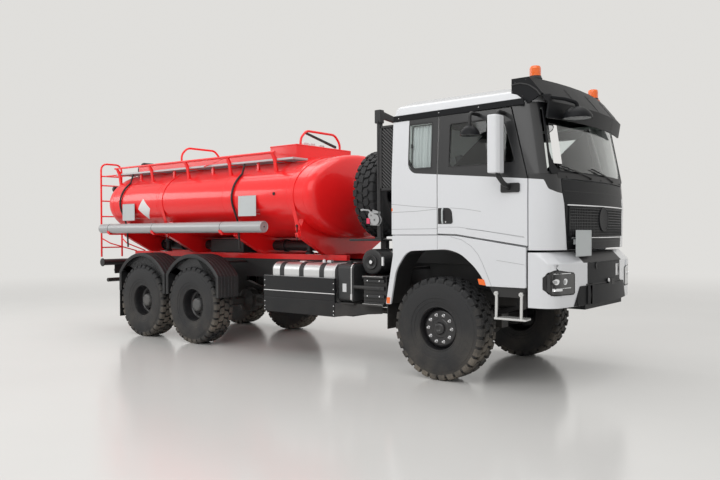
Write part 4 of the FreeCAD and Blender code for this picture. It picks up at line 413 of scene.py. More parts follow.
def make_groups():
    """The effects that several finishes share."""
    number, colour = "NodeSocketFloat", "NodeSocketColor"
    build, given, result = shader_group("Road Dust", [("Color", colour, (0.5, 0.5, 0.5, 1)), ("Dust Color", colour,
        (0.3, 0.26, 0.21, 1)), ("Amount", number, 0.2), ("Top", number, 1.2), ("Roughness", number, 0.4)],
        [("Color", colour), ("Roughness", number)])
    place = build.add("ShaderNodeTexCoord").outputs["Object"]
    height = build.add("ShaderNodeSeparateXYZ")
    build.feed(height.inputs[0], place)
    low = build.ramp(height.outputs["Z"], given["Top"], 0)
    cloud = build.noise(place, 3, 6)
    speck = build.noise(place, 60, 2)
    patches = build.maths("MULTIPLY", build.ramp(cloud, 0.3, 0.75), build.maths("ADD", speck, 0.4))
    share = build.maths("MULTIPLY", build.maths("MULTIPLY", low, patches), given["Amount"], clamp=True)
    build.feed(result["Color"], build.mix(share, given["Color"], given["Dust Color"]))
    build.feed(result["Roughness"], build.maths("ADD", given["Roughness"], build.maths("MULTIPLY", share, 0.5), True))
    build, given, result = shader_group("Paint Variation", [("Color", colour, (0.5, 0.5, 0.5, 1)),
        ("Amount", number, 0.06), ("Roughness", number, 0.3)], [("Color", colour), ("Roughness", number)])
    place = build.add("ShaderNodeTexCoord").outputs["Object"]
    broad = build.noise(place, 0.9, 4)
    fine = build.noise(place, 25, 4)
    tone = build.maths("ADD", build.maths("MULTIPLY", broad, 0.7), build.maths("MULTIPLY", fine, 0.3))
    change = build.maths("MULTIPLY", build.maths("SUBTRACT", tone, 0.5), given["Amount"])
    adjust = build.add("ShaderNodeHueSaturation")
    build.feed(adjust.inputs["Value"], build.maths("ADD", 1, build.maths("MULTIPLY", change, 4)))
    build.feed(adjust.inputs["Color"], given["Color"])
    build.feed(result["Color"], adjust.outputs["Color"])
    build.feed(result["Roughness"], build.maths("ADD", given["Roughness"], change, True))
    build, given, result = shader_group("Surface Grain", [("Scale", number, 200), ("Strength", number, 0.5),
        ("Broad Strength", number, 0)], [("Height", number)])
    place = build.add("ShaderNodeTexCoord").outputs["Object"]
    grain = build.add("ShaderNodeTexNoise")
    build.feed(grain.inputs["Vector"], place)
    build.feed(grain.inputs["Scale"], given["Scale"])
    wave = build.noise(place, 6, 2)
    build.feed(result["Height"], build.maths("ADD", build.maths("MULTIPLY", grain.outputs["Fac"], given["Strength"]),
        build.maths("MULTIPLY", wave, given["Broad Strength"])))


def effect(build, name, **values):
    """Place a shared effect in a material with its own values."""
    node = build.add("ShaderNodeGroup", node_tree=GROUPS[name])
    for label, value in values.items():
        build.feed(node.inputs[label.replace("_", " ")], value)
    return node.outputs


def finish(name, colour, roughness, metallic=0, coat=0, amount=0.05, dust=0, top=1.3, grain=0, grain_scale=220,
        waves=0, zones=None, shine=0.5):
    """A material with colour variation, dust near the ground and fine grain."""
    material = bpy.data.materials.new(name)
    material.use_nodes = True
    build = Tree(material.node_tree)
    shader = material.node_tree.nodes["Principled BSDF"]
    shader.inputs["Metallic"].default_value = metallic
    shader.inputs["Coat Weight"].default_value = coat
    shader.inputs["Coat Roughness"].default_value = 0.08
    shader.inputs["Specular IOR Level"].default_value = shine
    base = (*colour, 1)
    if zones:
        base, roughness = zones(build, base, roughness)
    tint = effect(build, "Paint Variation", Color=base, Amount=amount, Roughness=roughness)
    dusty = effect(build, "Road Dust", Color=tint["Color"], Roughness=tint["Roughness"], Amount=dust, Top=top)
    build.feed(shader.inputs["Base Color"], dusty["Color"])
    build.feed(shader.inputs["Roughness"], dusty["Roughness"])
    if grain or waves:
        height = effect(build, "Surface Grain", Scale=grain_scale, Strength=grain, Broad_Strength=waves)
        bump = build.add("ShaderNodeBump")
        bump.inputs["Distance"].default_value = 0.004
        build.feed(bump.inputs["Height"], height["Height"])
        build.feed(shader.inputs["Normal"], bump.outputs["Normal"])
    MATERIALS[name] = material
    return material


def band_zone(build, white, gloss):
    """Charcoal over the cab's window band and screen surround, white below it."""
    place = build.add("ShaderNodeSeparateXYZ")
    build.feed(place.inputs[0], build.add("ShaderNodeTexCoord").outputs["Object"])
    along = build.maths("SUBTRACT", place.outputs["X"], AXLE)
    across = build.maths("ADD", along, 0.44)
    belt = build.maths("SUBTRACT", 2.55, build.maths("MULTIPLY", across, 0.092))
    dip = build.maths("MULTIPLY", build.ramp(along, 1.335, 1.395), 0.1)
    slope = build.maths("MULTIPLY", build.maths("MAXIMUM", build.maths("SUBTRACT", along, 1.39), 0), 0.5)
    edge = build.maths("SUBTRACT", build.maths("SUBTRACT", belt, dip), slope)
    above = build.maths("SUBTRACT", place.outputs["Z"], edge)
    corner = 0.13
    out = build.maths("MAXIMUM", build.maths("SUBTRACT", corner, across), 0)
    down = build.maths("MAXIMUM", build.maths("SUBTRACT", corner, above), 0)
    squares = build.maths("ADD", build.maths("POWER", out, 2), build.maths("POWER", down, 2))
    band = build.maths("LESS_THAN", build.maths("SQRT", squares), corner)
    strip = build.maths("GREATER_THAN", place.outputs["Z"], BAND_TOP)
    dark = build.maths("MAXIMUM", band, strip)
    charcoal = (*bpy.context.scene.truck_colours.trim_charcoal, 1)
    return build.mix(dark, white, charcoal), build.maths("ADD", gloss, build.maths("MULTIPLY", dark, 0.24))


def clear_finish(name, colour, roughness=0.03, ior=1.45):
    """Tinted glass or a clear lens."""
    material = bpy.data.materials.new(name)
    material.use_nodes = True
    shader = material.node_tree.nodes["Principled BSDF"]
    shader.inputs["Base Color"].default_value = (*colour, 1)
    shader.inputs["Roughness"].default_value = roughness
    shader.inputs["IOR"].default_value = ior
    shader.inputs["Transmission Weight"].default_value = 1
    build = Tree(material.node_tree)
    path = build.add("ShaderNodeLightPath")
    clear = build.add("ShaderNodeBsdfTransparent")
    clear.inputs["Color"].default_value = (*colour, 1)
    mix = build.add("ShaderNodeMixShader")
    build.feed(mix.inputs[0], build.maths("MAXIMUM", path.outputs["Is Shadow Ray"], path.outputs["Is Diffuse Ray"]))
    build.feed(mix.inputs[1], shader.outputs[0])
    build.feed(mix.inputs[2], clear.outputs[0])
    build.feed(material.node_tree.nodes["Material Output"].inputs["Surface"], mix.outputs[0])
    MATERIALS[name] = material
    return material


class TruckColours(bpy.types.PropertyGroup):
    """Main colours of the truck."""
    tank_red: bpy.props.FloatVectorProperty(name="Tank red", description="Paint of the tank and its rails",
        subtype="COLOR", default=(0.9, 0.013, 0.015), min=0, max=1)
    cab_white: bpy.props.FloatVectorProperty(name="Cab white", description="Paint of the cab and bumper",
        subtype="COLOR", default=(0.7, 0.71, 0.73), min=0, max=1)
    trim_charcoal: bpy.props.FloatVectorProperty(name="Trim charcoal",
        description="Window band, visor and front panel", subtype="COLOR", default=(0.01, 0.0105, 0.012), min=0,
        max=1)
    rubber: bpy.props.FloatVectorProperty(name="Rubber", description="Tyres", subtype="COLOR", default=(0.018, 0.0185,
        0.02), min=0, max=1)
    locker_grey: bpy.props.FloatVectorProperty(name="Locker grey", description="Hose tubes beside the tank",
        subtype="COLOR", default=(0.4, 0.405, 0.41), min=0, max=1)


class TyreSizes(bpy.types.PropertyGroup):
    """Sizes of a tyre's tread."""
    radius: bpy.props.FloatProperty(name="Radius", description="Out to the lugs' faces", default=0.6262,
        unit="LENGTH")
    root: bpy.props.FloatProperty(name="Root", description="Radius between the lugs", default=0.603, unit="LENGTH")
    pitches: bpy.props.IntProperty(name="Pitches", description="Lugs in each row", default=30, min=12, max=60)


class StudioSettings(bpy.types.PropertyGroup):
    """Camera, light and floor."""
    camera_place: bpy.props.FloatVectorProperty(name="Camera place", description="Where the camera stands",
        subtype="TRANSLATION", default=(7.769, -8.557, 1.802), unit="LENGTH")
    lens: bpy.props.FloatProperty(name="Lens", description="Focal length in millimetres", default=35.535)
    backdrop: bpy.props.FloatVectorProperty(name="Backdrop", description="Tone behind the truck", subtype="COLOR",
        default=(0.745, 0.735, 0.713), min=0, max=1)
    sky_strength: bpy.props.FloatProperty(name="Sky strength", description="Light from all round", default=0.6, min=0)
    key_power: bpy.props.FloatProperty(name="Key power", description="Soft light over the camera's left", default=560,
        min=0)


class PieceOperator(bpy.types.Operator):
    """One group of pieces, made in its execute."""
    bl_options = {"REGISTER", "UNDO"}

    def execute(self, context):
        """Make the pieces."""
        self.make(context.scene)
        clear_selection()
        return {"FINISHED"}


class TRUCK_OT_finishes(PieceOperator):
    """Make the shared effects and every finish"""
    bl_idname = "truck.finishes"
    bl_label = "Finishes"

    def make(self, scene):
        """Paint, plastic, rubber, metal, glass and cloth."""
        colours = scene.truck_colours
        make_groups()
        finish("tank red", colours.tank_red, 0.3, coat=0.5, dust=0.05, top=1.8, waves=0.1, shine=0.3)
        finish("cab paint", colours.cab_white, 0.2, coat=0.5, amount=0.02, dust=0.05, zones=band_zone)
        finish("plain white", colours.cab_white, 0.2, coat=0.5, amount=0.02, dust=0.06)
        # Grey of panel seams, and painted shade along the cab's pressed creases.
        finish("seam grey and crease shade", (0.36, 0.365, 0.375), 0.4)
        finish("trim charcoal", colours.trim_charcoal, 0.42, grain=0.12, grain_scale=500, shine=0.14)
        finish("guard plastic", (0.026, 0.027, 0.029), 0.46, dust=0.18, top=1.5, grain=0.3)
        finish("guard panel grey", (0.014, 0.0145, 0.016), 0.42, dust=0.1, top=1.3, grain=0.1, shine=0.3)
        finish("sidewall rubber", colours.rubber, 0.66, dust=0.22, top=1.1, grain=0.5, amount=0.1)
        finish("tread rubber", colours.rubber, 0.76, dust=0.75, top=1.2, grain=0.8, amount=0.12)
        finish("rim black", (0.016, 0.016, 0.018), 0.32, coat=0.2, dust=0.06)
        # Grey of hub caps, nuts and intake slats; on the rear rims' outer flange it is a painted highlight.
        finish("hub grey and rim highlight", (0.1, 0.1, 0.1), 0.5, dust=0.15, grain=0.4)
        finish("chassis black", (0.017, 0.017, 0.018), 0.48, dust=0.25, top=1.4, grain=0.15)
        finish("cast iron", (0.045, 0.045, 0.046), 0.6, metallic=0.3, dust=0.4, top=1.4, grain=0.8)
        finish("bright steel", (0.72, 0.72, 0.73), 0.26, metallic=1)
        finish("aluminium", (0.74, 0.745, 0.75), 0.36, metallic=0.85, grain=0.15, grain_scale=90)
        finish("step aluminium", (0.66, 0.66, 0.65), 0.42, metallic=0.7, grain=0.3)
        finish("locker grey", colours.locker_grey, 0.34, metallic=0.15, dust=0.06, top=2.2, waves=0.05)
        finish("plate grey", (0.5, 0.53, 0.535), 0.45, metallic=0.2)
        finish("zinc grating", (0.36, 0.37, 0.38), 0.5, metallic=0.5, grain=0.5)
        finish("plate white", (0.8, 0.8, 0.8), 0.4)
        finish("hose rubber", (0.014, 0.014, 0.014), 0.46, grain=0.4, grain_scale=150)
        finish("gasket rubber", (0.01, 0.01, 0.011), 0.5)
        finish("orange lens", (0.95, 0.16, 0.012), 0.16, coat=0.6)
        finish("red lens", (0.55, 0.01, 0.01), 0.2, coat=0.6)
        finish("tag red", (0.75, 0.05, 0.12), 0.4)
        finish("dark lens", (0.012, 0.013, 0.015), 0.1, coat=0.8)
        finish("dash plastic", (0.035, 0.036, 0.038), 0.6, grain=0.5)
        finish("headliner grey", (0.74, 0.75, 0.74), 0.8, grain=0.3)
        finish("seat cloth", (0.13, 0.132, 0.14), 0.9, grain=1, grain_scale=700)
        finish("curtain cloth", (0.66, 0.66, 0.67), 0.9, grain=0.6, grain_scale=600)
        finish("lamp silver", (0.85, 0.86, 0.88), 0.12, metallic=0.9)
        clear_finish("cab glass", (0.88, 0.92, 0.91))
        clear_finish("lamp glass", (0.92, 0.94, 0.95), 0.05)


def make_camera(scene, studio):
    """The camera where the photograph was taken from."""
    data = bpy.data.cameras.new("photo_camera")
    camera = bpy.data.objects.new("photo_camera", data)
    scene.collection.objects.link(camera)
    data.sensor_width = 36
    data.lens = studio.lens
    data.clip_end = 400
    yaw, pitch, roll = 0.681, 0.01, -0.004
    aim = Vector((-math.sin(yaw) * math.cos(pitch), math.cos(yaw) * math.cos(pitch), -math.sin(pitch)))
    right = aim.cross(AXES["z"]).normalized()
    up = right.cross(aim)
    level = Matrix((right, up, -aim)).transposed()
    camera.matrix_world = Matrix.Translation(studio.camera_place) @ (level @ Matrix.Rotation(roll, 3, "Z")).to_4x4()
    scene.camera = camera


def make_world(scene, studio):
    """Even light from all round, with the backdrop's tone where the camera and reflections look."""
    world = scene.world or bpy.data.worlds.new("studio")
    scene.world = world
    world.use_nodes = True
    build = Tree(world.node_tree)
    world.node_tree.nodes.clear()
    light = build.add("ShaderNodeBackground")
    light.inputs["Color"].default_value = (1, 1, 1, 1)
    light.inputs["Strength"].default_value = studio.sky_strength
    seen = build.add("ShaderNodeBackground")
    seen.inputs["Color"].default_value = (*studio.backdrop, 1)
    path = build.add("ShaderNodeLightPath")
    shows = build.maths("MAXIMUM", path.outputs["Is Camera Ray"], path.outputs["Is Glossy Ray"])
    shows = build.maths("MAXIMUM", shows, path.outputs["Is Transmission Ray"])
    mix = build.add("ShaderNodeMixShader")
    build.feed(mix.inputs[0], shows)
    build.feed(mix.inputs[1], light.outputs[0])
    build.feed(mix.inputs[2], seen.outputs[0])
    build.feed(build.add("ShaderNodeOutputWorld").inputs["Surface"], mix.outputs[0])


def make_floor(studio):
    """A pale floor with a faint gloss, wide enough to reach the horizon."""
    floor = spun([(0, 0), (0, 9), (0, 25), (0, 180)], "z", (0, 0, 0), 64)
    floor.name = "studio_floor"
    material = bpy.data.materials.new("studio floor")
    material.use_nodes = True
    build = Tree(material.node_tree)
    shader = material.node_tree.nodes["Principled BSDF"]
    place = build.add("ShaderNodeTexCoord").outputs["Object"]
    cloud = build.noise(place, 0.35, 3)
    tone = tuple((channel * 0.9 for channel in studio.backdrop))
    build.feed(shader.inputs["Base Color"], build.mix(cloud, (*tone, 1), (*studio.backdrop, 1)))
    shader.inputs["Roughness"].default_value = 0.17
    shader.inputs["Specular IOR Level"].default_value = 0.5
    reach = build.add("ShaderNodeVectorMath", operation="LENGTH")
    build.feed(reach.inputs[0], place)
    far = build.ramp(reach.outputs["Value"], 9, 24)
    glow = build.add("ShaderNodeEmission")
    glow.inputs["Color"].default_value = (*studio.backdrop, 1)
    blend = build.add("ShaderNodeMixShader")
    build.feed(blend.inputs[0], far)
    build.feed(blend.inputs[1], shader.outputs[0])
    build.feed(blend.inputs[2], glow.outputs[0])
    build.feed(material.node_tree.nodes["Material Output"].inputs["Surface"], blend.outputs[0])
    coated(floor, material)


def add_light(name, place, target, size, power):
    """A soft rectangular light aimed at a point."""
    data = bpy.data.lights.new(name, "AREA")
    data.shape = "RECTANGLE"
    data.size, data.size_y = size
    data.energy = power
    light = bpy.data.objects.new(name, data)
    bpy.context.scene.collection.objects.link(light)
    light.location = place
    light.rotation_euler = (Vector(target) - Vector(place)).to_track_quat("-Z", "Y").to_euler()


class TRUCK_OT_stage(PieceOperator):
    """Make the floor, the lights and the camera"""
    bl_idname = "truck.stage"
    bl_label = "Studio"

    def make(self, scene):
        """A wide glossy floor that meets a plain backdrop, soft light and the photograph's camera."""
        studio = scene.truck_studio
        scene.view_settings.view_transform = "Standard"
        make_camera(scene, studio)
        make_world(scene, studio)
        make_floor(studio)
        add_light("key_light", (3, -9, 8.5), (0, 0, 1.2), (14, 7), studio.key_power)
        add_light("top_light", (-1, 0.5, 9), (-1, 0, 1), (14, 5), studio.key_power * 0.6)
        add_light("rear_light", (-9, -6, 5), (-2, 0, 1.5), (5, 3), studio.key_power * 0.25)


# Wheels


def tyre_model(sizes):
    """Carcass, ribs on the side wall, two rows of middle lugs and two of shoulder lugs."""
    half = [(0.132, 0.262), (0.15, 0.262), (0.16, 0.272), (0.158, 0.285), (0.163, 0.292), (0.17, 0.33),
        (0.1745, 0.334), (0.18, 0.375), (0.1845, 0.379), (0.187, 0.43), (0.187, 0.48), (0.1835, 0.52), (0.18, 0.523),
        (0.176, 0.556), (0.168, 0.585), (0.15, sizes.root), (0.06, sizes.root)]
    profile = half + [(-along, radius) for along, radius in reversed(half)] + [half[0]]
    carcass = coated(spun(profile, "y", steps=72), MATERIALS["sidewall rubber"])
    carcass.data.materials.append(MATERIALS["gasket rubber"])
    for face in carcass.data.polygons:
        if Vector((face.center.x, face.center.z)).length > 0.588:
            face.material_index = 1
    low = sizes.root - 0.006
    high = sizes.radius
    middle = slab(at("z", low, [(0.034, 0.006), (-0.06, 0.008), (-0.046, 0.07), (-0.02, 0.092), (0.052, 0.09),
        (0.05, 0.04)]), (0, 0, high - low), 0.004, 1)
    section = [(0.102, low), (0.102, high), (0.148, high - 0.0005), (0.17, high - 0.008), (0.18, 0.6), (0.1815, 0.57),
        (0.174, 0.552), (0.16, 0.575)]
    shoulder = slab(at("x", -0.046, section), (0.088, 0, 0), 0.004, 1)
    middle_half = coated(middle, MATERIALS["tread rubber"])
    shoulder_half = coated(shoulder, MATERIALS["tread rubber"])
    lugs = []
    pitch = 360 / sizes.pitches
    for count in range(sizes.pitches):
        for lug, share in ((middle_half, 0), (shoulder_half, 0.5)):
            lugs.append(copied(lug, Matrix.Rotation(math.radians(pitch * (count + share)), 4, "Y")))
    for lug in (middle, shoulder):
        bpy.data.objects.remove(lug)
    row = joined(lugs)
    return joined([carcass, row, copied(row, Matrix.Rotation(math.radians(pitch / 2), 4, "Y") @ Matrix.Scale(-1, 4,
        (0, 1, 0)))])


class TRUCK_OT_tyres(PieceOperator):
    """Make the seven tyres with their lugs"""
    bl_idname = "truck.tyres"
    bl_label = "Tyres"

    def make(self, scene):
        """One tyre is modelled about the Y axis and copied to every wheel and to the spare."""
        model = tyre_model(scene.truck_tyre)
        for axle, x in AXLES.items():
            for side, sign in (("left", 1), ("right", -1)):
                place = shift(x, sign * WHEEL_Y, WHEEL_Z) @ Matrix.Scale(sign, 4, (0, 1, 0))
                done(copied(model, place), f"tread_{axle}_{side}", f"wheel_{axle}_{side}",
                    (f"tyre_{axle}_{side}",))
        upright = shift(AXLE - 1.55 + 0.1875, -0.38, 2.35) @ Matrix.Rotation(math.radians(90), 4, "Z")
        rim = rear_rim()
        done(joined([copied(model, upright), copied(rim, upright)]), "spare_tyre_and_rim", "chassis",
            ("spare_wheel",))
        for used in (model, rim):
            bpy.data.objects.remove(used)


RIM_BARREL = [(0.06, 0.25), (0.125, 0.256), (0.142, 0.266), (0.147, 0.284), (0.149, 0.295), (0.155, 0.3),
    (0.157, 0.297), (0.1585, 0.2995), (0.156, 0.3045), (0.15, 0.305), (0.143, 0.298), (0.139, 0.28), (0.133, 0.266),
    (0.12, 0.262), (-0.13, 0.262), (-0.146, 0.298), (-0.152, 0.297), (-0.138, 0.256), (-0.12, 0.25)]


def nut_ring(count, radius, low, high, size, material):
    """A ring of hexagon nuts with round collars, facing outwards."""
    flats = [(size * math.sin(step * math.pi / 3), low, size * math.cos(step * math.pi / 3)) for step in range(6)]
    model = coated(joined([
        slab(flats, (0, high - low, 0), size * 0.14, 1),
        spun([(low - 0.004, 0), (low - 0.004, size * 1.3), (low + 0.006, size * 1.2), (low + 0.006, 0)], "y",
            steps=16),
        spun([(high - 0.004, 0), (high - 0.004, size * 0.55), (high + 0.01, size * 0.45), (high + 0.012, 0)], "y",
            steps=12),
    ]), material)
    ring = [copied(model, Matrix.Rotation(FULL_TURN * (step + 0.5) / count, 4, "Y") @ shift(z=radius))
        for step in range(count)]
    bpy.data.objects.remove(model)
    return joined(ring)


def front_rim():
    """Rim with ten nuts round a domed hub."""
    return joined([
        coated(spun([(0.134, 0), (0.136, 0.02), (0.143, 0.03), (0.146, 0.04), (0.144, 0.056), (0.135, 0.07),
            (0.118, 0.078), (0.107, 0.08), (0.106, 0.112), (0.1, 0.12), (0.098, 0.2), (0.09, 0.222), (0.068, 0.24)]
            + RIM_BARREL + [(0.04, 0.248), (0.066, 0.225), (0.078, 0.2), (0.08, 0.12), (-0.125, 0.118), (-0.128, 0)],
            "y", steps=64), MATERIALS["rim black"]),
        nut_ring(10, 0.168, 0.096, 0.124, 0.017, MATERIALS["bright steel"]),
        nut_ring(10, 0.062, 0.118, 0.131, 0.006, MATERIALS["chassis black"]),
    ])


def rear_rim():
    """Deep rim with a broad grey hub cap, and its outer flange painted lighter grey as a painted highlight ring."""
    cap = [(0.093, 0), (0.092, 0.03), (0.094, 0.034), (0.093, 0.06), (0.089, 0.086), (0.078, 0.102), (0.06, 0.11),
        (0.012, 0.112), (0.008, 0)]
    disc = [(-0.01, 0), (-0.01, 0.126), (-0.018, 0.14), (-0.022, 0.205), (-0.014, 0.228), (0.01, 0.246)]
    back = [(-0.03, 0.246), (-0.046, 0.225), (-0.05, 0.12), (-0.125, 0.118), (-0.128, 0)]
    rim = coated(spun(disc + RIM_BARREL + back, "y", steps=64), MATERIALS["rim black"])
    rim.data.materials.append(MATERIALS["hub grey and rim highlight"])
    # Faces on the outer flange take the lighter grey: a painted highlight ring on the rim's edge.
    for face in rim.data.polygons:
        if face.center.y > 0.147 and Vector((face.center.x, face.center.z)).length > 0.29:
            face.material_index = 1
    return joined([
        rim,
        coated(spun(cap, "y", steps=48), MATERIALS["hub grey and rim highlight"]),
        nut_ring(10, 0.168, -0.02, 0.004, 0.016, MATERIALS["rim black"]),
        nut_ring(8, 0.098, 0.078, 0.084, 0.006, MATERIALS["hub grey and rim highlight"]),
    ])


class TRUCK_OT_rims(PieceOperator):
    """Make the six rims with their nuts and hub caps"""
    bl_idname = "truck.rims"
    bl_label = "Rims"

    def make(self, scene):
        """Front rims have a proud disc with bright nuts; rear rims are deep with a grey hub cap."""
        front = front_rim()
        rear = rear_rim()
        for axle, x in AXLES.items():
            for side, sign in (("left", 1), ("right", -1)):
                place = shift(x, sign * WHEEL_Y, WHEEL_Z) @ Matrix.Scale(sign, 4, (0, 1, 0))
                model = front if axle == "front" else rear
                done(copied(model, place), f"wheel_disc_{axle}_{side}", f"wheel_{axle}_{side}",
                    (f"rim_{axle}_{side}",))
        for used in (front, rear):
            bpy.data.objects.remove(used)


def paint(name, *pieces):
    """Give one piece, or several as one mesh, one of the finishes."""
    return coated(joined(pieces) if len(pieces) > 1 else pieces[0], MATERIALS[name])


def ahead(piece):
    """Carry a piece modelled from the front axle to its place."""
    return moved(piece, shift(x=AXLE))


def dome(size, high, material, sides=10):
    """A low round bolt head on the XY plane, facing up."""
    return paint(material, spun([(0, 0), (0, size), (high * 0.4, size * 0.95), (high, size * 0.55), (high, 0)], "z",
        steps=sides))


FACING = {"up": Matrix.Identity(4), "out": Matrix.Rotation(math.radians(90), 4, "X"),
    "front": Matrix.Rotation(math.radians(90), 4, "Y"), "back": Matrix.Rotation(math.radians(-90), 4, "Y"),
    "down": Matrix.Rotation(math.radians(180), 4, "X")}


def scattered(model, spots, facing="up"):
    """Copies of a small model at several spots, as one mesh; the model itself goes."""
    copies = [copied(model, Matrix.Translation(spot) @ FACING[facing]) for spot in spots]
    bpy.data.objects.remove(model)
    return joined(copies)


def without(piece, test):
    """Delete the linked parts of a piece that hold a vertex passing a test."""
    pick(piece)
    set_mode("EDIT")
    choose("VERT", test)
    bpy.ops.mesh.select_linked()
    bpy.ops.mesh.delete(type="VERT")
    set_mode("OBJECT")
    return piece


def arc(radius, start, end, steps, centre=(0, 0)):
    """Points on an arc in degrees, from straight up towards plus."""
    turns = [math.radians(start + (end - start) * step / steps) for step in range(steps + 1)]
    return [(centre[0] + radius * math.sin(turn), centre[1] + radius * math.cos(turn)) for turn in turns]


def tank_round(profile, steps=112):
    """A profile of (x, share of the full oval) carried round the tank."""
    return spun(profile, "x", (0, 0, TANK_Z), steps, (1, TANK_WIDE, TANK_HIGH))


def tank_oval(grow, start, end, steps):
    """Points round the tank's oval, in degrees from the top towards +Y."""
    points = []
    for step in range(steps + 1):
        angle = math.radians(start + (end - start) * step / steps)
        points.append(((TANK_WIDE + grow) * math.sin(angle), TANK_Z + (TANK_HIGH + grow) * math.cos(angle)))
    return points


# Tank


TANK_FRONT = -2.25
TANK_REAR = -7.2
TANK_HEAD = [(0, 1), (0.045, 0.997), (0.08, 0.984), (0.108, 0.96), (0.13, 0.92), (0.146, 0.868), (0.168, 0.78),
    (0.192, 0.668), (0.214, 0.545), (0.233, 0.415), (0.249, 0.275), (0.261, 0.13), (0.266, 0)]


def tank_straps():
    """Smooth steel straps with buckles on the saddles' wings, and the base that carries the tank."""
    base = without(cad_copy("subframe", 0.003), lambda spot: spot.co.z > 2.7)
    parts = []
    for x in (-2.52, -5.65):
        over = tank_oval(0.0103, -99, 99, 60)
        under = tank_oval(0.0003, -99, 99, 60)
        right = [(-1.062, WING_TOP), (-1.052, WING_TOP)]
        left = [(1.052, WING_TOP), (1.062, WING_TOP)]
        points = over + [left[1], left[0]] + list(reversed(under)) + [right[1], right[0]]
        parts.append(slab(at("x", x - 0.035, points), (0.07, 0, 0), 0.002, 1))
        for side in SIDES:
            whole = joined([
                paint("tank red",
                    block((x - 0.052, 1.04, WING_TOP), (x + 0.052, 1.078, 1.868), 0.006),
                    block((x - 0.045, 1.066, 1.868), (x + 0.045, 1.08, 1.945), 0.005),
                    slab(at("x", x - 0.03, [(1.06, WING_TOP), (1.1, 1.8), (1.085, 1.735), (1.05, 1.75)]),
                        (0.06, 0, 0), 0.006),
                ),
                paint("gasket rubber", pipe([(x, 1.088, 1.7), (x, 1.088, 1.93)], 0.009)),
                paint("gasket rubber", block((x - 0.016, 1.074, 1.895), (x + 0.016, 1.102, 1.918), 0.004)),
            ])
            parts.append(whole if side > 0 else moved(whole, MIRROR))
    for part in parts:
        if not part.data.materials:
            paint("tank red", part)
    done(joined([paint("tank red", base), ahead(joined(parts))]), "tank_straps_and_base", "chassis",
        ("subframe",))


def discharge_pipes():
    """The black discharge pipes and valve box between the saddles."""
    parts = []
    for y in (-0.21, 0.21):
        parts.append(pipe([(-6.95, y, 1.6), (-2.64, y, 1.6)], 0.083, resolution=6))
        for x in (-6.9, -6.3, -5.4, -4.3, -3.6, -2.75):
            ring = [(-0.018, 0.08), (-0.018, 0.104), (0.018, 0.104), (0.018, 0.08)]
            parts.append(spun(ring, "x", (x, y, 1.6), 28))
    parts.append(block((-5.28, -0.43, 1.474), (-4.42, 0.43, 1.705), 0.02))
    for x in (-6.6, -3.95, -2.95):
        drop = [(1.474, 0), (1.474, 0.07), (1.5, 0.07), (1.52, 0.045), (1.64, 0.045), (1.66, 0.075), (1.7, 0.075),
            (1.7, 0)]
        parts.append(spun(drop, "z", (x, -0.36, 0), 24))
    done(ahead(paint("chassis black", *parts)), "discharge_pipes", "chassis")


def side_plates():
    """Two bare grey plates and a bare white diamond on each side."""
    diamond = tank_round([(-6.36, PLATE_SHARE), (-6.3, PLATE_SHARE), (-6.18, PLATE_SHARE), (-6.06, PLATE_SHARE),
        (-6, PLATE_SHARE)])
    set_mode("EDIT")
    for across, up in ((1, 1), (1, -1), (-1, 1), (-1, -1)):
        select_all()
        bpy.ops.mesh.bisect(plane_co=(-6.18 + across * 0.18, 0, 2.24), plane_no=(across, 0, up), clear_outer=True)
    set_mode("OBJECT")
    paint("plate white", modify(diamond, "SOLIDIFY", thickness=0.003, offset=0))
    parts = [diamond]
    for low, high, bottom, top in ((-3.65, -3.25, 2.065, 2.376), (-6.795, -6.42, 2.04, 2.34)):
        for side in SIDES:
            sheet = block((low, 1.214, bottom), (high, 1.22, top), 0.002, 1)
            set_mode("EDIT")
            choose("FACE", lambda face: face.normal.y > 0.9 and face.area > 0.05)
            bpy.ops.mesh.inset(thickness=0.008)
            bpy.ops.transform.translate(value=(0, -0.002, 0))
            set_mode("OBJECT")
            legs = [block((x, 1.05, bottom + 0.03), (x + 0.03, 1.216, bottom + 0.036), 0.001, 1)
                for x in (low + 0.04, high - 0.07)]
            whole = paint("plate grey", sheet, *legs)
            parts.append(whole if side > 0 else moved(whole, MIRROR))
    done(ahead(joined(parts)), "tank_side_plates", "chassis", angle=25)


class TRUCK_OT_tank(PieceOperator):
    """Make the tank's skin, its straps and the plates on its sides"""
    bl_idname = "truck.tank"
    bl_label = "Tank"

    def make(self, scene):
        """The oval barrel with dished heads and welded seams, strapped to its saddles."""
        profile = [(TANK_REAR - along, share) for along, share in reversed(TANK_HEAD)]
        for seam in (-7.13, -5.8, -5.745, -4.05, -2.625, -2.3):
            profile += [(seam - 0.005, 1), (seam - 0.0025, 0.9975), (seam + 0.0025, 0.9975), (seam + 0.005, 1)]
        profile += [(TANK_FRONT + along, share) for along, share in TANK_HEAD]
        skin = paint("tank red", tank_round(profile))
        boss = spun([(1.194, 0), (1.194, 0.026), (1.208, 0.024), (1.208, 0.014), (1.203, 0.012), (1.203, 0)], "y",
            (-2.88, 0, 2.385), 20)
        boss = paint("gasket rubber", mirrored(boss))
        done(ahead(joined([skin, boss])), "tank_skin", "chassis", ("tank",), angle=30)
        tank_straps()
        side_plates()
        discharge_pipes()


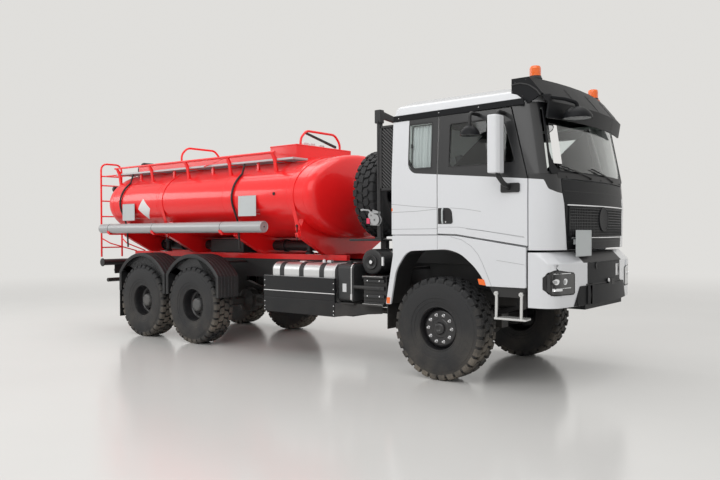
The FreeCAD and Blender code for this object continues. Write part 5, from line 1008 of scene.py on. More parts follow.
def tank_fittings():
    """Rolled edges on the tray, breather valves, the sensor bar behind the front hoop and the pipe at the rear."""
    parts = [paint("tank red", block((low, y - 0.009, top - 0.02), (high, y + 0.009, top), 0.005))
        for low, high, top in ((-7.12, -3.52, 3.085), (-3.52, -2.94, 3.18)) for y in (-0.65, 0.65)]
    for x, top in ((-2.943, 3.18), (-7.117, 3.085), (-3.523, 3.18)):
        parts.append(paint("tank red", block((x - 0.009, -0.65, top - 0.02), (x + 0.009, 0.65, top), 0.005)))
    parts.append(paint("chassis black",
        slab(at("x", -3.075, [(-0.32, 3.372), (0.4, 3.205), (0.4, 3.245), (-0.32, 3.405)]), (0.035, 0, 0), 0.005),
    ))
    for y, z in ((-0.27, 3.2), (-0.12, 3.2), (0.1, 3.19)):
        parts.append(paint("plate white", block((-3.2, y - 0.06, z - 0.06), (-3.09, y + 0.06, z + 0.05), 0.012)))
    for x, y in ((-5.05, 0.25), (-5.05, -0.25), (-3.75, 0)):
        parts.append(paint("aluminium",
            spun([(2.98, 0), (2.98, 0.055), (3.02, 0.055), (3.03, 0.038), (3.06, 0.038), (3.065, 0.07), (3.08, 0.07),
                (3.1, 0.03), (3.1, 0)], "z", (x, y, 0), 24),
        ))
    parts += [
        paint("hose rubber",
            pipe(at("x", -7.1, [(-0.6, 2.99), (-0.6, 3.14), (-0.3, 3.14), (-0.3, 2.99)]), 0.024, 0.05),
            pipe(at("x", -7.26, [(-0.56, 2.8), (-0.56, 3.1), (-0.2, 3.1), (-0.2, 2.82)]), 0.018, 0.05),
        ),
        paint("gasket rubber",
            spun([(0, 0), (0, 0.05), (0.03, 0.06), (0.11, 0.06), (0.14, 0.045), (0.14, 0)], "x", (-7.3, -0.5, 3.03),
                20),
        ),
        paint("gasket rubber",
            spun([(0, 0), (0, 0.05), (-0.05, 0.06), (-0.06, 0.045), (-0.06, 0)], "x", (-7.56, -0.86, 2.66), 20),
            pipe([(-7.36, -0.86, 2.72), (-7.57, -0.86, 2.7)], 0.012),
        ),
    ]
    return parts


def manhole_lid(x):
    """A domed lid with a rolled rim, a hinge tongue, a handle and six clamps."""
    parts = [
        paint("tank red",
            spun([(3.0603, 0), (3.0603, 0.272), (3.066, 0.272), (3.075, 0.268), (3.0863, 0.255), (3.081, 0.24),
                (3.083, 0.15), (3.086, 0)], "z", (x, 0, 0), 48),
            block((x - 0.315, -0.035, 3.0603), (x - 0.23, 0.035, 3.08), 0.005),
        ),
        paint("bright steel",
            pipe([(x - 0.3, -0.045, 3.072), (x - 0.3, 0.045, 3.072)], 0.01),
            pipe(at("x", x + 0.185, [(-0.06, 3.08), (-0.06, 3.107), (0.06, 3.107), (0.06, 3.08)]), 0.007, 0.02),
        ),
    ]
    clamp = joined([
        paint("bright steel", block((0.225, -0.016, 3.078), (0.262, 0.016, 3.094), 0.004)),
        paint("bright steel", pipe([(0.245, 0, 3.09), (0.245, 0, 3.105)], 0.008)),
    ])
    for step in range(6):
        parts.append(copied(clamp, shift(x=x) @ Matrix.Rotation(math.radians(30 + 60 * step), 4, "Z")))
    bpy.data.objects.remove(clamp)
    return joined(parts)


def walkway_side():
    """Open grating in a folded edge, on the right side."""
    low, high, inner, outer = -7.36, -2.7, -0.656, -0.98
    bars = row_of(block((low + 0.02, outer + 0.008, 2.91), (low + 0.026, inner - 0.004, 2.933), 0), 116, (0.04, 0, 0))
    rods = row_of(block((low + 0.01, outer + 0.03, 2.916), (high - 0.01, outer + 0.034, 2.9345), 0), 11,
        (0, 0.028, 0))
    edge = block((low, outer, 2.905), (high, outer + 0.008, 2.935), 0.002, 1)
    flange = block((low, outer, 2.905), (high, outer + 0.035, 2.909), 0.001, 1)
    back = block((low, inner - 0.006, 2.905), (high, inner, 2.935), 0.002, 1)
    ends = [block((x - 0.006, outer, 2.905), (x, inner, 2.935), 0.002, 1) for x in (low + 0.006, high)]
    return joined([paint("zinc grating", bars, rods), paint("plate grey", edge, flange, back, *ends)])


def side_rails():
    """Bent posts, the outer rail and the braces to the tray, on the right side."""
    posts = []
    for x in (-7.24, -6.22, -5.19, -4.11, -3.07):
        outline = [(-0.988, 2.9), (-0.89, 2.565), (-0.955, 2.545), (-1, 2.9), (-1.062, 3.025), (-1.038, 3.025),
            (-0.9805, 2.955), (-0.9805, 2.9)]
        posts += [
            slab(at("x", x - 0.03, outline), (0.06, 0, 0), 0.004),
            slab(at("x", x - 0.045, [(-0.885, 2.6), (-0.975, 2.535), (-0.96, 2.515), (-0.87, 2.575)]), (0.09, 0, 0),
                0.004),
            block((x - 0.022, -0.985, 2.893), (x + 0.022, -0.66, 2.9045), 0.002, 1),
        ]
    posts.append(pipe([(-7.3, -1.05, 3.025), (-3.01, -1.05, 3.025)], 0.017, resolution=6))
    brace = [(-4.75, -0.985, 2.915), (-4.11, -1.045, 3.02)]
    posts += [pipe(brace, 0.008), pipe([(-3.07, -1.045, 3.02), (-3.6, -0.7, 3.085)], 0.008)]
    struts = [block((x - 0.025, -0.9, 2.72), (x + 0.025, -0.87, 2.905), 0.004) for x in (-6.7, -5.7, -4.65, -3.55)]
    return paint("tank red", *posts, *struts)


def tray_hoops():
    """The two hoops of bent tube across the tray."""
    parts = []
    for x, half, top, foot in ((-3.03, 0.34, 3.42, 3.09), (-6.07, 0.32, 3.385, 2.995)):
        path = [(x, -half - 0.13, foot), (x, -half - 0.13, top - 0.13), (x, -half, top), (x, half, top),
            (x, half + 0.13, top - 0.13), (x, half + 0.13, foot)]
        parts += [
            pipe(path, 0.019, 0.16, 6),
            block((x - 0.025, -0.645, foot + 0.02), (x + 0.025, 0.645, foot + 0.06), 0.004),
        ]
        for y in (-half - 0.13, half + 0.13):
            parts.append(spun([(foot - 0.004, 0), (foot - 0.004, 0.034), (foot + 0.004, 0.034), (foot + 0.012, 0.02),
                (foot + 0.012, 0)], "z", (x, y, 0), 20))
    return paint("tank red", *parts)


def rear_ladder():
    """The rear ladder with five rungs and its stays."""
    x = -7.862
    parts = [pipe([(x, -1, 1.36), (x, -1, 3.16), (x, -LADDER_INNER, 3.16), (x, -LADDER_INNER, 1.36)], 0.018, 0.12, 6)]
    for step in range(5):
        z = 1.54 + 0.3 * step
        parts.append(pipe([(x, -1, z), (x, -LADDER_INNER, z)], 0.013, resolution=5))
        for offset in range(7):
            y = -0.96 + 0.055 * offset
            parts.append(spun([(0, 0.0125), (0.002, 0.0148), (0.006, 0.0148), (0.008, 0.0125)], "y", (x, y, z), 12))
    parts.append(pipe([(x, -1, 2.92), (x, -LADDER_INNER, 2.92)], 0.013, resolution=5))
    for y in (-0.92, -0.72):
        parts.append(pipe([(x, y, 2.92), (-7.36, y, 2.92)], 0.013, resolution=5))
    for y in (-1, -LADDER_INNER):
        parts += [
            pipe([(x, y, 1.72), (x + 0.15, y * 0.8 - 0.1, 1.62), (-7.52, y * 0.45, 1.47)], 0.012, 0.05),
            spun([(1.355, 0), (1.355, 0.0178), (1.357, 0.0178), (1.357, 0)], "z", (x, y, 0), 16),
        ]
    return paint("tank red", *parts)


class TRUCK_OT_tank_top(PieceOperator):
    """Make the tray, lids, walkways, rails, hoops and ladder on the tank"""
    bl_idname = "truck.tank_top"
    bl_label = "Tank top"

    def make(self, scene):
        """Everything that stands on the tank."""
        done(joined([paint("tank red", cad_copy("coaming", 0.0018, 1)), ahead(joined(tank_fittings()))]),
            "tank_tray_and_valves", "chassis", ("coaming",))
        for where, x in (("front", -4.3), ("rear", -6.5)):
            done(ahead(manhole_lid(x)), f"manhole_cover_{where}", f"lid_{where}",
                (f"manhole_lid_{where}",))
        done(ahead(mirrored(walkway_side())), "walkway_grating", "chassis", ("walkway",))
        done(ahead(joined([mirrored(side_rails()), tray_hoops(), rear_ladder()])), "ladder_rails_and_hoops",
            "chassis", ("ladder_and_rails",))


class TRUCK_OT_lockers(PieceOperator):
    """Make the long hose tubes beside the tank"""
    bl_idname = "truck.lockers"
    bl_label = "Hose tubes"

    def make(self, scene):
        """A capped tube each side, strapped into red cradles."""
        low, high = -7.51, -3.09
        profile = [(low, 0), (low, 0.06), (low + 0.004, 0.074), (low + 0.012, 0.083), (low + 0.024, 0.0872),
            (high - 0.034, 0.0872), (high - 0.033, 0.0862), (high - 0.03, 0.0862), (high - 0.029, 0.0875),
            (high - 0.006, 0.0875), (high, 0.082), (high, 0.07), (high - 0.005, 0.066), (high - 0.005, 0.026),
            (high - 0.001, 0.022), (high - 0.001, 0)]
        parts = [
            paint("locker grey", spun(profile, "x", (0, -1.2, 1.9), 48)),
            paint("gasket rubber",
                spun([(high - 0.003, 0), (high - 0.003, 0.016), (high, 0.012), (high, 0)], "x", (0, -1.2, 1.9), 20),
            ),
        ]
        for x in (-4.02, -5.83, -7.19):
            parts.append(paint("gasket rubber",
                spun([(x - 0.006, 0.0865), (x - 0.006, 0.089), (x + 0.006, 0.089), (x + 0.006, 0.0865)], "x",
                    (0, -1.1985, 1.9), 40),
                block((x - 0.014, -1.225, 1.803), (x + 0.014, -1.19, 1.822), 0.004),
            ))
            cup = arc(0.0905, 118, 242, 16, (-1.2, 1.9)) + [(-1.262, 1.806), (-1.235, 1.793), (-1.165, 1.793),
                (-1.138, 1.806)]
            parts.append(paint("tank red", slab(at("x", x - 0.035, cup), (0.07, 0, 0), 0)))
        done(ahead(mirrored(joined(parts))), "hose_tubes", "chassis", ("hose_lockers",))
        hoses = []
        for x in (-3.8, -6.87):
            line = [(x, -0.945, 2.9046), (x, -0.955, 2.86)]
            line += at("x", x, tank_oval(0.02, -55, -104, 14))
            hoses.append(pipe(line + [(x, -1.1, 2), (x, -1.078, 1.92), (x, -1.06, 1.56)], 0.0155, 0, 5))
        hoses = paint("hose rubber", *hoses)
        done(ahead(mirrored(hoses)), "drain_hose_runs", "chassis", ("drain_hoses",))


# Sides of the chassis


def wheel_liner():
    """The black liner over a front wheel with its flap and stays, and the shield above the rail."""
    corners = [(0.655, 1.19), (0.505, 1.415), (0.33, 1.545), (0.143, 1.59), (-0.456, 1.59), (-0.648, 1.34),
        (-0.745, 0.89), (-0.733, 0.89), (-0.636, 1.334), (-0.45, 1.578), (0.138, 1.578), (0.322, 1.536),
        (0.495, 1.408), (0.645, 1.184)]
    radii = [0.003, 0.5, 0.4, 0.45, 0.2, 0.35, 0.003, 0.003, 0.35, 0.19, 0.44, 0.4, 0.5, 0.003]
    return paint("chassis black",
        slab(at("y", -1.21, rounded_loop(corners, radii, 6)), (0, 0.355, 0)),
        block((-0.792, -1.21, 0.56), (-0.78, -0.86, 0.905), 0.003, 1),
        block((-0.792, -1.21, 0.89), (-0.736, -0.86, 0.905), 0.003, 1),
        block((-0.69, -1.21, 1.31), (-0.645, -0.43, 1.345), 0.004, 1),
        block((0.64, -1.21, 1.178), (0.69, -0.43, 1.206), 0.004, 1),
        block((-1.02, -0.51, 1.387), (0.86, -0.502, 1.597), 0.002, 1),
    )


def guard_section(radius, half, bottom):
    """The guard's line about its axle: an arc over the wheel with straight ends."""
    edge = math.degrees(math.asin(half / radius))
    return [(half, bottom)] + arc(radius, edge, -edge, 36) + [(-half, bottom)]


def guard_sheet(outer, inner, low, high, bevel=0):
    """A curved sheet between two radii, from one y to another."""
    bottom = 0.78 - WHEEL_Z
    over = guard_section(outer, 0.68 - (GUARD_RADIUS - outer), bottom)
    under = guard_section(inner, 0.68 - (GUARD_RADIUS - inner), bottom)
    points = at("y", low, over) + at("y", low, reversed(under))
    return slab(points, (0, high - low, 0), bevel, 1)


def wheel_guard(axle):
    """Skin, five pressed ribs, a rolled lip and the end beads of one guard."""
    skin = guard_sheet(0.832, 0.826, -1.268, -0.85)
    ribs = [guard_sheet(GUARD_RADIUS, 0.831, y - 0.016, y + 0.016, 0.004)
        for y in (-1.19, -1.12, -1.05, -0.98, -0.91)]
    lip = [
        guard_sheet(GUARD_RADIUS, 0.818, -1.275, -1.262, 0.005),
        guard_sheet(0.822, 0.806, -1.27, -1.262, 0),
        guard_sheet(0.808, 0.797, -1.274, -1.262, 0.004),
        guard_sheet(0.799, 0.79, -1.269, -1.262, 0),
        guard_sheet(0.792, 0.778, -1.275, -1.256, 0.005),
    ]
    ends = [block((x - 0.012, -1.273, 0.151), (x + 0.012, -0.85, 0.171), 0.007) for x in (-0.668, 0.668)]
    whole = paint("guard plastic", skin, *ribs, *lip, *ends)
    stays = [paint("chassis black",
        pipe([(end * 0.405, -1.255, 0.702), (end * 0.405, -0.43, 0.702)], 0.019),
    ) for end in SIDES]
    return moved(joined([whole] + stays + [scattered(dome(0.012, 0.006, "bright steel", 8), [(end * 0.405, y, 0.7215)
        for end in SIDES for y in (-1.22, -0.9)])]), shift(axle, 0, WHEEL_Z))


class TRUCK_OT_mudguards(PieceOperator):
    """Make the ribbed guards over the rear wheels and the liners over the front ones"""
    bl_idname = "truck.mudguards"
    bl_label = "Mudguards"

    def make(self, scene):
        """Pressed guards with a rolled lip, rear flaps and black liners."""
        liner = ahead(mirrored(wheel_liner()))
        parts = [wheel_guard(axle) for axle in (-4.75, -6.15)]
        parts += [
            paint("hose rubber", block((-6.842, -1.26, 0.307), (-6.83, -0.86, 0.86), 0.003, 1)),
            paint("bright steel", block((-6.846, -1.26, 0.775), (-6.826, -0.86, 0.8), 0.002, 1)),
        ]
        done(joined([liner, ahead(mirrored(joined(parts)))]), "mudguards_and_liners", "chassis",
            ("mudguards",), angle=28)


def round_box(low, high, corner, steps=7):
    """A rectangle in (y, z) with round corners."""
    (y_low, z_low), (y_high, z_high) = (low, high)
    points = []
    for cy, cz, start in ((y_high - corner, z_high - corner, 90), (y_low + corner, z_high - corner, 0),
            (y_low + corner, z_low + corner, -90), (y_high - corner, z_low + corner, -180)):
        points += arc(corner, start, start - 90, steps, (cy, cz))
    return points


def fuel_tank():
    """A drawn aluminium tank with a seam at each end, three ribbed straps and its cap."""
    low, high = (-1.189, 0.741), (-0.596, 1.379)
    outline = round_box(low, high, 0.115)
    body = slab(at("x", -2.925, outline), (1.217, 0, 0), 0.012, 3)
    seams = [slab(at("x", x, round_box((-1.193, 0.737), (-0.592, 1.383), 0.119)), (0.008, 0, 0), 0.003, 1)
        for x in (-2.895, -1.746)]
    parts = [paint("aluminium", body, *seams)]
    for x in (-2.73, -2.34, -1.95):
        for start, wide, out in ((x - 0.045, 0.09, 0.0035), (x - 0.04, 0.016, 0.006), (x - 0.008, 0.016, 0.006),
                (x + 0.024, 0.016, 0.006)):
            band = round_box((low[0] - out, low[1] - out), (high[0] + out, high[1] + out), 0.115 + out)
            parts.append(paint("guard plastic", slab(at("x", start, band), (wide, 0, 0), 0.002, 1)))
    parts += [
        paint("bright steel",
            spun([(1.37, 0), (1.37, 0.052), (1.392, 0.05), (1.394, 0.045), (1.416, 0.043), (1.42, 0.036), (1.42, 0)],
                "z", (-1.968, -0.985, 0), 28),
            block((-1.998, -0.99, 1.414), (-1.938, -0.98, 1.4198), 0.002, 1),
        ),
        paint("aluminium",
            spun([(1.37, 0), (1.37, 0.06), (1.39, 0.058), (1.4, 0.045), (1.402, 0)], "z", (-2.5, -0.97, 0), 28),
        ),
        paint("plate white",
            spun([(1.37, 0), (1.37, 0.024), (1.41, 0.022), (1.418, 0.015), (1.418, 0)], "z", (-2.16, -0.9, 0), 20),
        ),
    ]
    return joined(parts)


def guard_panel():
    """A folded side panel with its crease, pale line, rows of bolts and an end return."""
    outer = -1.245
    section = [(outer + 0.002, 1.183), (outer, 1.176), (outer, 0.975), (outer + 0.004, 0.971), (outer + 0.004, 0.963),
        (outer, 0.959), (outer, 0.877), (outer + 0.005, 0.871), (outer + 0.005, 0.861), (outer + 0.001, 0.855),
        (outer, 0.66), (outer + 0.003, 0.653), (outer + 0.02, 0.653), (outer + 0.02, 0.659), (outer + 0.008, 0.661),
        (outer + 0.008, 1.175), (outer + 0.02, 1.177), (outer + 0.02, 1.183)]
    sheet = slab(at("x", -3.057, section), (1.392, 0, 0), 0.0008, 1)
    folds = [block((x, outer + 0.003, 0.655), (x + 0.004, outer + 0.045, 1.181), 0.001, 1) for x in (-3.057, -1.669)]
    posts = [block((x - 0.025, outer + 0.008, 0.885), (x + 0.025, -1.192, 1.135), 0.004) for x in (-2.725, -1.948)]
    parts = [
        paint("guard panel grey", sheet, *folds, *posts),
        paint("plate white", block((-3.056, outer - 0.0005, 0.9625), (-1.666, outer + 0.004, 0.9725), 0.001, 1)),
        paint("plate grey", block((-3.056, outer + 0.001, 1.1805), (-1.666, outer + 0.019, 1.1832), 0.0008, 1)),
    ]
    spots = [(x, outer + 0.0008, z) for x in (-3.038, -1.684) for z in (1.11, 1.03, 0.8, 0.73, 0.68)]
    parts += [
        scattered(dome(0.009, 0.005, "bright steel"), spots, "out"),
        paint("chassis black",
            slab([(-1.667, outer + 0.006, 0.655), (-1.667, outer + 0.006, 0.845), (-1.02, -1.02, 0.845),
                (-1.02, -1.02, 0.72), (-1.3, -1.12, 0.7)], (0.006, 0.006, 0), 0.001, 1),
        ),
    ]
    return joined(parts)


def urea_tank():
    """A moulded tank with a seam hoop, a cap, a sight window and its bracket."""
    low, high = (-1.196, 0.86), (-0.765, 1.384)
    outline = round_box(low, high, 0.075, 6)
    parts = [paint("guard plastic", slab(at("x", -1.65, outline), (0.275, 0, 0), 0.03, 4))]
    hoop = round_box((-1.203, 0.853), (-0.76, 1.391), 0.08, 6)
    parts += [
        paint("bright steel", slab(at("x", -1.41, hoop), (0.018, 0, 0), 0.004)),
        paint("gasket rubber",
            spun([(1.37, 0), (1.37, 0.055), (1.394, 0.053), (1.398, 0.043), (1.416, 0.041), (1.4225, 0.03),
                (1.4225, 0)], "z", (-1.5125, -1.085, 0), 28),
            block((-1.545, -1.092, 1.414), (-1.48, -1.078, 1.4245), 0.003, 1),
        ),
        paint("curtain cloth", block((-1.56, -1.1985, 1), (-1.49, -1.19, 1.115), 0.01, 2)),
        paint("chassis black",
            slab(at("z", 0.856, [(-1.66, -1.204), (-1.66, -0.7), (-1.36, -0.7), (-1.36, -1.204)]), (0, 0, -0.02),
                0.004),
        ),
        paint("bright steel", block((-1.418, -1.206, 0.9), (-1.384, -1.196, 0.98), 0.004)),
    ]
    return joined(parts)


def battery_box():
    """A black case with two bolted step plates and a pipe across it."""
    parts = [paint("chassis black",
        block((-1.23, -1.15, 0.83), (-0.84, -0.6, 1.235), 0.012),
        block((-1.235, -1.155, 1.205), (-0.835, -0.595, 1.2348), 0.008),
    )]
    for z, deep in ((1.048, 0.05), (1.15, 0.04), (0.945, 0.04), (0.832, 0.055)):
        parts.append(paint("guard plastic", block((-1.205, -1.182, z), (-0.865, -1.145, z + deep), 0.006)))
    for z in (0.835, 1.2):
        parts += [
            paint("chassis black",
                block((-1.21, -1.21, z), (-0.86, -1.145, z + 0.026), 0.005),
                row_of(block((-1.195, -1.2, z + 0.025), (-1.185, -1.152, z + 0.0295), 0.001, 1), 14, (0.025, 0, 0)),
            ),
            paint("step aluminium", block((-1.205, -1.2105, z + 0.024), (-0.865, -1.203, z + 0.0295), 0.002, 1)),
        ]
    parts.append(paint("cast iron",
        pipe([(-1.62, -1.12, 1.02), (-1.38, -1.165, 1.075), (-0.93, -1.165, 1.075)], 0.024, 0.1, 5),
    ))
    spots = [(x, -1.183, z) for x in (-1.14, -0.94) for z in (1.17, 0.965)]
    parts.append(scattered(dome(0.011, 0.006, "bright steel"), spots, "out"))
    return joined(parts)


def air_drum():
    """A drum with a ribbed collar, a recessed end and a pale cap."""
    x, z = -1.13, 1.413
    profile = [(-1.122, 0), (-1.122, 0.03), (-1.118, 0.034), (-1.104, 0.04), (-1.1, 0.05), (-1.112, 0.06),
        (-1.124, 0.09), (-1.12, 0.096), (-1.103, 0.1), (-1.099, 0.14), (-1.096, 0.158), (-1.086, 0.169),
        (-1.06, 0.1725), (-1.05, 0.168), (-1.044, 0.168), (-1.04, 0.1725), (-0.6, 0.1725), (-0.565, 0.15), (-0.56, 0)]
    body = paint("chassis black", spun(profile, "y", (x, 0, z), 48))
    cap = paint("plate white",
        spun([(-1.1255, 0), (-1.1255, 0.022), (-1.119, 0.027), (-1.11, 0.027), (-1.11, 0)], "y", (x, 0, z), 24),
    )
    tooth = block((-0.004, -1.045, 0.169), (0.004, -0.9, 0.1728), 0.001, 1)
    ring = [copied(tooth, shift(x, 0, z) @ Matrix.Rotation(FULL_TURN * step / 72, 4, "Y")) for step in range(72)]
    bpy.data.objects.remove(tooth)
    return joined([
        body,
        cap,
        paint("guard plastic", *ring),
        paint("bright steel",
            spun([(-0.8, 0.17), (-0.8, 0.1735), (-0.76, 0.1735), (-0.76, 0.17)], "y", (x, 0, z), 40),
        ),
        paint("plate white", block((-0.955, -1.118, 1.365), (-0.925, -1.09, 1.485), 0.008)),
    ])


class TRUCK_OT_side_boxes(PieceOperator):
    """Make the fuel tanks, guard panels and boxes beside the frame"""
    bl_idname = "truck.side_boxes"
    bl_label = "Boxes beside the frame"

    def make(self, scene):
        """Each is modelled on the right side and mirrored."""
        done(ahead(mirrored(fuel_tank())), "fuel_tanks_with_straps", "chassis", ("fuel_tank",),
            angle=28)
        done(ahead(mirrored(guard_panel())), "side_guard_panels", "chassis", ("side_guards",))
        done(ahead(mirrored(urea_tank())), "small_side_tanks", "chassis", ("urea_tank",), angle=28)
        done(ahead(mirrored(battery_box())), "battery_boxes_and_steps", "chassis", ("battery_box",))
        done(ahead(mirrored(air_drum())), "air_drums", "chassis", ("air_drum",))


def wheel_davit():
    """A box post with a sloping arm, a hand winch and the bolted carrier under the wheel."""
    black = [
        block((-1.59, -1.01, 1.691), (-1.04, 0.52, 1.7205), 0.006),
        block((-1.59, -0.44, 1.7), (-1.5505, -0.32, 2.35), 0.006),
        block((-1.13, -0.98, 1.71), (-1.07, -0.92, 3.4495), 0.008),
        slab(at("x", -1.124, [(-0.982, 3.345), (-0.982, 3.45), (-0.3, 3.34), (-0.3, 3.29)]), (0.048, 0, 0), 0.006),
        block((-1.15, -1.004, 3.27), (-1.05, -0.915, 3.4498), 0.01),
        block((-1.145, -0.995, 1.7205), (-1.055, -0.905, 1.745), 0.004),
    ]
    for side in SIDES:
        black.append(block((-1.49, side * 0.39 - 0.04, 1.385), (-1.39, side * 0.39 + 0.04, 1.7), 0.006))
    return [
        paint("chassis black", *black, spun([(-1.552, 0), (-1.552, 0.1), (-1.53, 0.1), (-1.522, 0.04), (-1.5, 0.03),
            (-1.5, 0)], "x", (0, -0.38, 2.35), 24)),
        paint("cast iron",
            spun([(-0.012, 0.01), (-0.012, 0.038), (-0.006, 0.03), (0.006, 0.03), (0.012, 0.038), (0.012, 0.01)], "y",
                (-1.1, -0.36, 3.268), 24),
            pipe([(-1.088, -1.012, 3.3), (-1.072, -1.016, 2.12)], 0.006),
        ),
        paint("locker grey",
            spun([(-1.055, 0.012), (-1.055, 0.072), (-1.048, 0.076), (-1.043, 0.05), (-1, 0.05), (-0.995, 0.076),
                (-0.988, 0.072), (-0.988, 0.012)], "y", (-1.115, 0, 1.975), 32),
            spun([(-1.052, 0.01), (-1.052, 0.05), (-1.046, 0.054), (-1.03, 0.054), (-1.024, 0.01)], "y",
                (-1.175, 0, 2.035), 28),
            slab(at("y", -1, [(-1.235, 1.905), (-1.08, 1.895), (-1.065, 2.08), (-1.19, 2.118)]), (0, 0.012, 0),
                0.003),
            block((-1.19, -1.045, 2.06), (-1.062, -0.985, 2.085), 0.004),
            pipe([(-1.15, -1.045, 2.035), (-1.21, -1.052, 2.105), (-1.325, -1.052, 2.115)], 0.01, 0.03),
            pipe([(-1.305, -1.05, 2.115), (-1.345, -1.05, 2.108)], 0.016),
        ),
        paint("tag red", block((-1.26, -1.046, 1.925), (-1.205, -1.036, 2), 0.004)),
        paint("cast iron",
            spun([(-1.04, 0.052), (-1.04, 0.06), (-1.003, 0.06), (-1.003, 0.052)], "y", (-1.115, 0, 1.975), 24),
        ),
        paint("plate white", block((-0.97, -0.99, 1.715), (-0.7, -0.93, 1.755), 0.014)),
        paint("chassis black", block((-1.08, -0.98, 1.705), (-0.72, -0.94, 1.72), 0.003)),
    ]


def air_intake():
    """A black stack with slanting slats on its side and front faces."""
    x_low, x_high, y_low, y_high = -0.95, -0.692, -1.148, -0.792
    box = block((x_low, y_low + 0.022, INTAKE_LOW), (x_high, y_high, INTAKE_HIGH), 0.012)
    rim = [block(low, high, 0.006)
        for low, high in (((x_low, y_low, INTAKE_LOW), (x_low + 0.03, y_low + 0.03, INTAKE_HIGH)),
        ((x_high - 0.02, y_low, INTAKE_LOW), (x_high, y_low + 0.03, INTAKE_HIGH)), ((x_low, y_low, 3.165),
        (x_high, y_low + 0.03, INTAKE_HIGH)), ((x_low, y_low, INTAKE_LOW), (x_high, y_low + 0.03, 2.39)))]
    slats = []
    step = 0.044
    count = int((3.165 - 2.39 + 0.2) / step)
    for number in range(count):
        z = 2.39 + number * step
        ends = [z - (x - x_low - 0.028) * 0.85 for x in (x_low + 0.028, x_high - 0.018)]
        if ends[1] < 2.385:
            share = max(0, min(1, (z - 2.392) / 0.18))
            x_end = x_low + 0.028 + share * 0.212
            ends[1] = 2.39
        else:
            x_end = x_high - 0.018
        x_start = x_low + 0.028
        top = ends[0]
        if top > 3.16:
            x_start += (top - 3.16) / 0.85
            top = 3.16
        if x_end - x_start < 0.015:
            continue
        slats.append(slab([(x_start, y_low + 0.004, top), (x_end, y_low + 0.004, ends[1]), (x_end, y_low + 0.02,
            ends[1] - 0.022), (x_start, y_low + 0.02, top - 0.022)], (0, 0.004, 0.006), 0))
    return [paint("chassis black", box, *rim), paint("hub grey and rim highlight", *slats)]


class TRUCK_OT_spare_carrier(PieceOperator):
    """Make the carrier, davit and winch of the spare wheel, and the air intake"""
    bl_idname = "truck.spare_carrier"
    bl_label = "Spare wheel carrier"

    def make(self, scene):
        """Deck, legs, post, arm, winch and the louvred stack behind the cab."""
        done(ahead(joined(wheel_davit())), "davit_and_winch", "chassis", ("wheel_davit",))
        done(ahead(joined(air_intake())), "louvred_intake", "cab", ("air_intake",))


class TRUCK_OT_rear_end(PieceOperator):
    """Make the tubes, plates and lamps across the rear"""
    bl_idname = "truck.rear_end"
    bl_label = "Rear end"

    def make(self, scene):
        """The under-run tubes with their end caps, lamp clusters, a bare plate and the coupling's mouth."""
        x = -7.665
        tube = spun([(-1.112, 0), (-1.112, 0.07), (-1.106, 0.0775), (-1.094, 0.0775), (-1.088, 0.068), (-1.086, 0.06),
            (0, 0.06)], "y", (x, 0, 1.26), 40)
        low = spun([(-1, 0), (-0.999, 0.03), (-0.992, 0.0375), (0, 0.0375)], "y", (x, 0, 0.92), 28)
        parts = []
        for side in (1, -1):
            middle = side * 0.39
            parts += [
                block((x + 0.005, middle - 0.06, 1.115), (-7.6, middle + 0.06, 1.365), 0.004),
                block((x - 0.012, middle - 0.03, 0.92), (x + 0.012, middle + 0.03, 1.26), 0.004),
            ]
        done(ahead(paint("chassis black", mirrored(tube), mirrored(low), *parts)), "rear_tubes", "chassis",
            ("rear_bumper",))
        plates = [paint("chassis black",
            block((x - 0.036, y_low, 1.035), (x - 0.012, y_high, 1.22), 0.006),
        ) for y_low, y_high in ((-0.83, -0.56), (0.56, 0.83))]
        for side in SIDES:
            for step, lens in ((0, "red lens"), (1, "orange lens")):
                y = side * (0.62 + 0.15 * step)
                bezel = spun([(-0.037, 0), (-0.037, 0.052), (-0.058, 0.052), (-0.062, 0.048), (-0.06, 0.043),
                    (-0.05, 0.042), (-0.05, 0)], "x", (x, y, 1.1), 28)
                glow = spun([(-0.05, 0), (-0.05, 0.0425), (-0.059, 0.04), (-0.0625, 0.024), (-0.0635, 0)], "x",
                    (x, y, 1.1), 28)
                rings = [spun([(-0.06, radius), (-0.064, radius + 0.0015), (-0.06, radius + 0.003)], "x", (x, y, 1.1),
                    24) for radius in (0.012, 0.024)]
                plates += [paint("gasket rubber", bezel), paint(lens, glow, *rings)]
        plates += [
            paint("plate white", block((x - 0.066, -0.26, 0.965), (x - 0.062, 0.26, 1.075), 0.002, 1)),
            paint("chassis black", block((x - 0.062, -0.06, 0.95), (x - 0.02, 0.06, 0.985), 0.003)),
        ]
        done(ahead(joined(plates)), "rear_lamps", "chassis", ("lamps",))


# Cab


def ring_plate(outer, inner, push):
    """A flat frame between two closed outlines of as many points, pushed along a vector."""
    wire(list(outer) + [outer[0]])
    bpy.ops.mesh.remove_doubles(threshold=WELD)
    bpy.ops.mesh.extrude_edges_move()
    mesh = bpy.context.object.data
    set_mode("OBJECT")
    spot = bpy.context.object.location
    for point, target in zip(mesh.vertices[len(outer):], inner):
        point.co = Vector(target) - spot
    set_mode("EDIT")
    select_all()
    bpy.ops.mesh.extrude_region_move(TRANSFORM_OT_translate={"value": Vector(push)})
    return settled()


def grid_sheet(rows, push=None):
    """A sheet over rows of as many points each, pushed along a vector to give it thickness."""
    wire(rows[0])
    mesh = bpy.context.object.data
    spot = bpy.context.object.location.copy()
    count = len(rows[0])
    for number, row in enumerate(rows[1:], 1):
        bpy.ops.mesh.extrude_edges_move()
        set_mode("OBJECT")
        for point, target in zip(mesh.vertices[number * count:], row):
            point.co = Vector(target) - spot
        set_mode("EDIT")
    if push:
        select_all()
        bpy.ops.mesh.extrude_region_move(TRANSFORM_OT_translate={"value": Vector(push)})
    return settled()


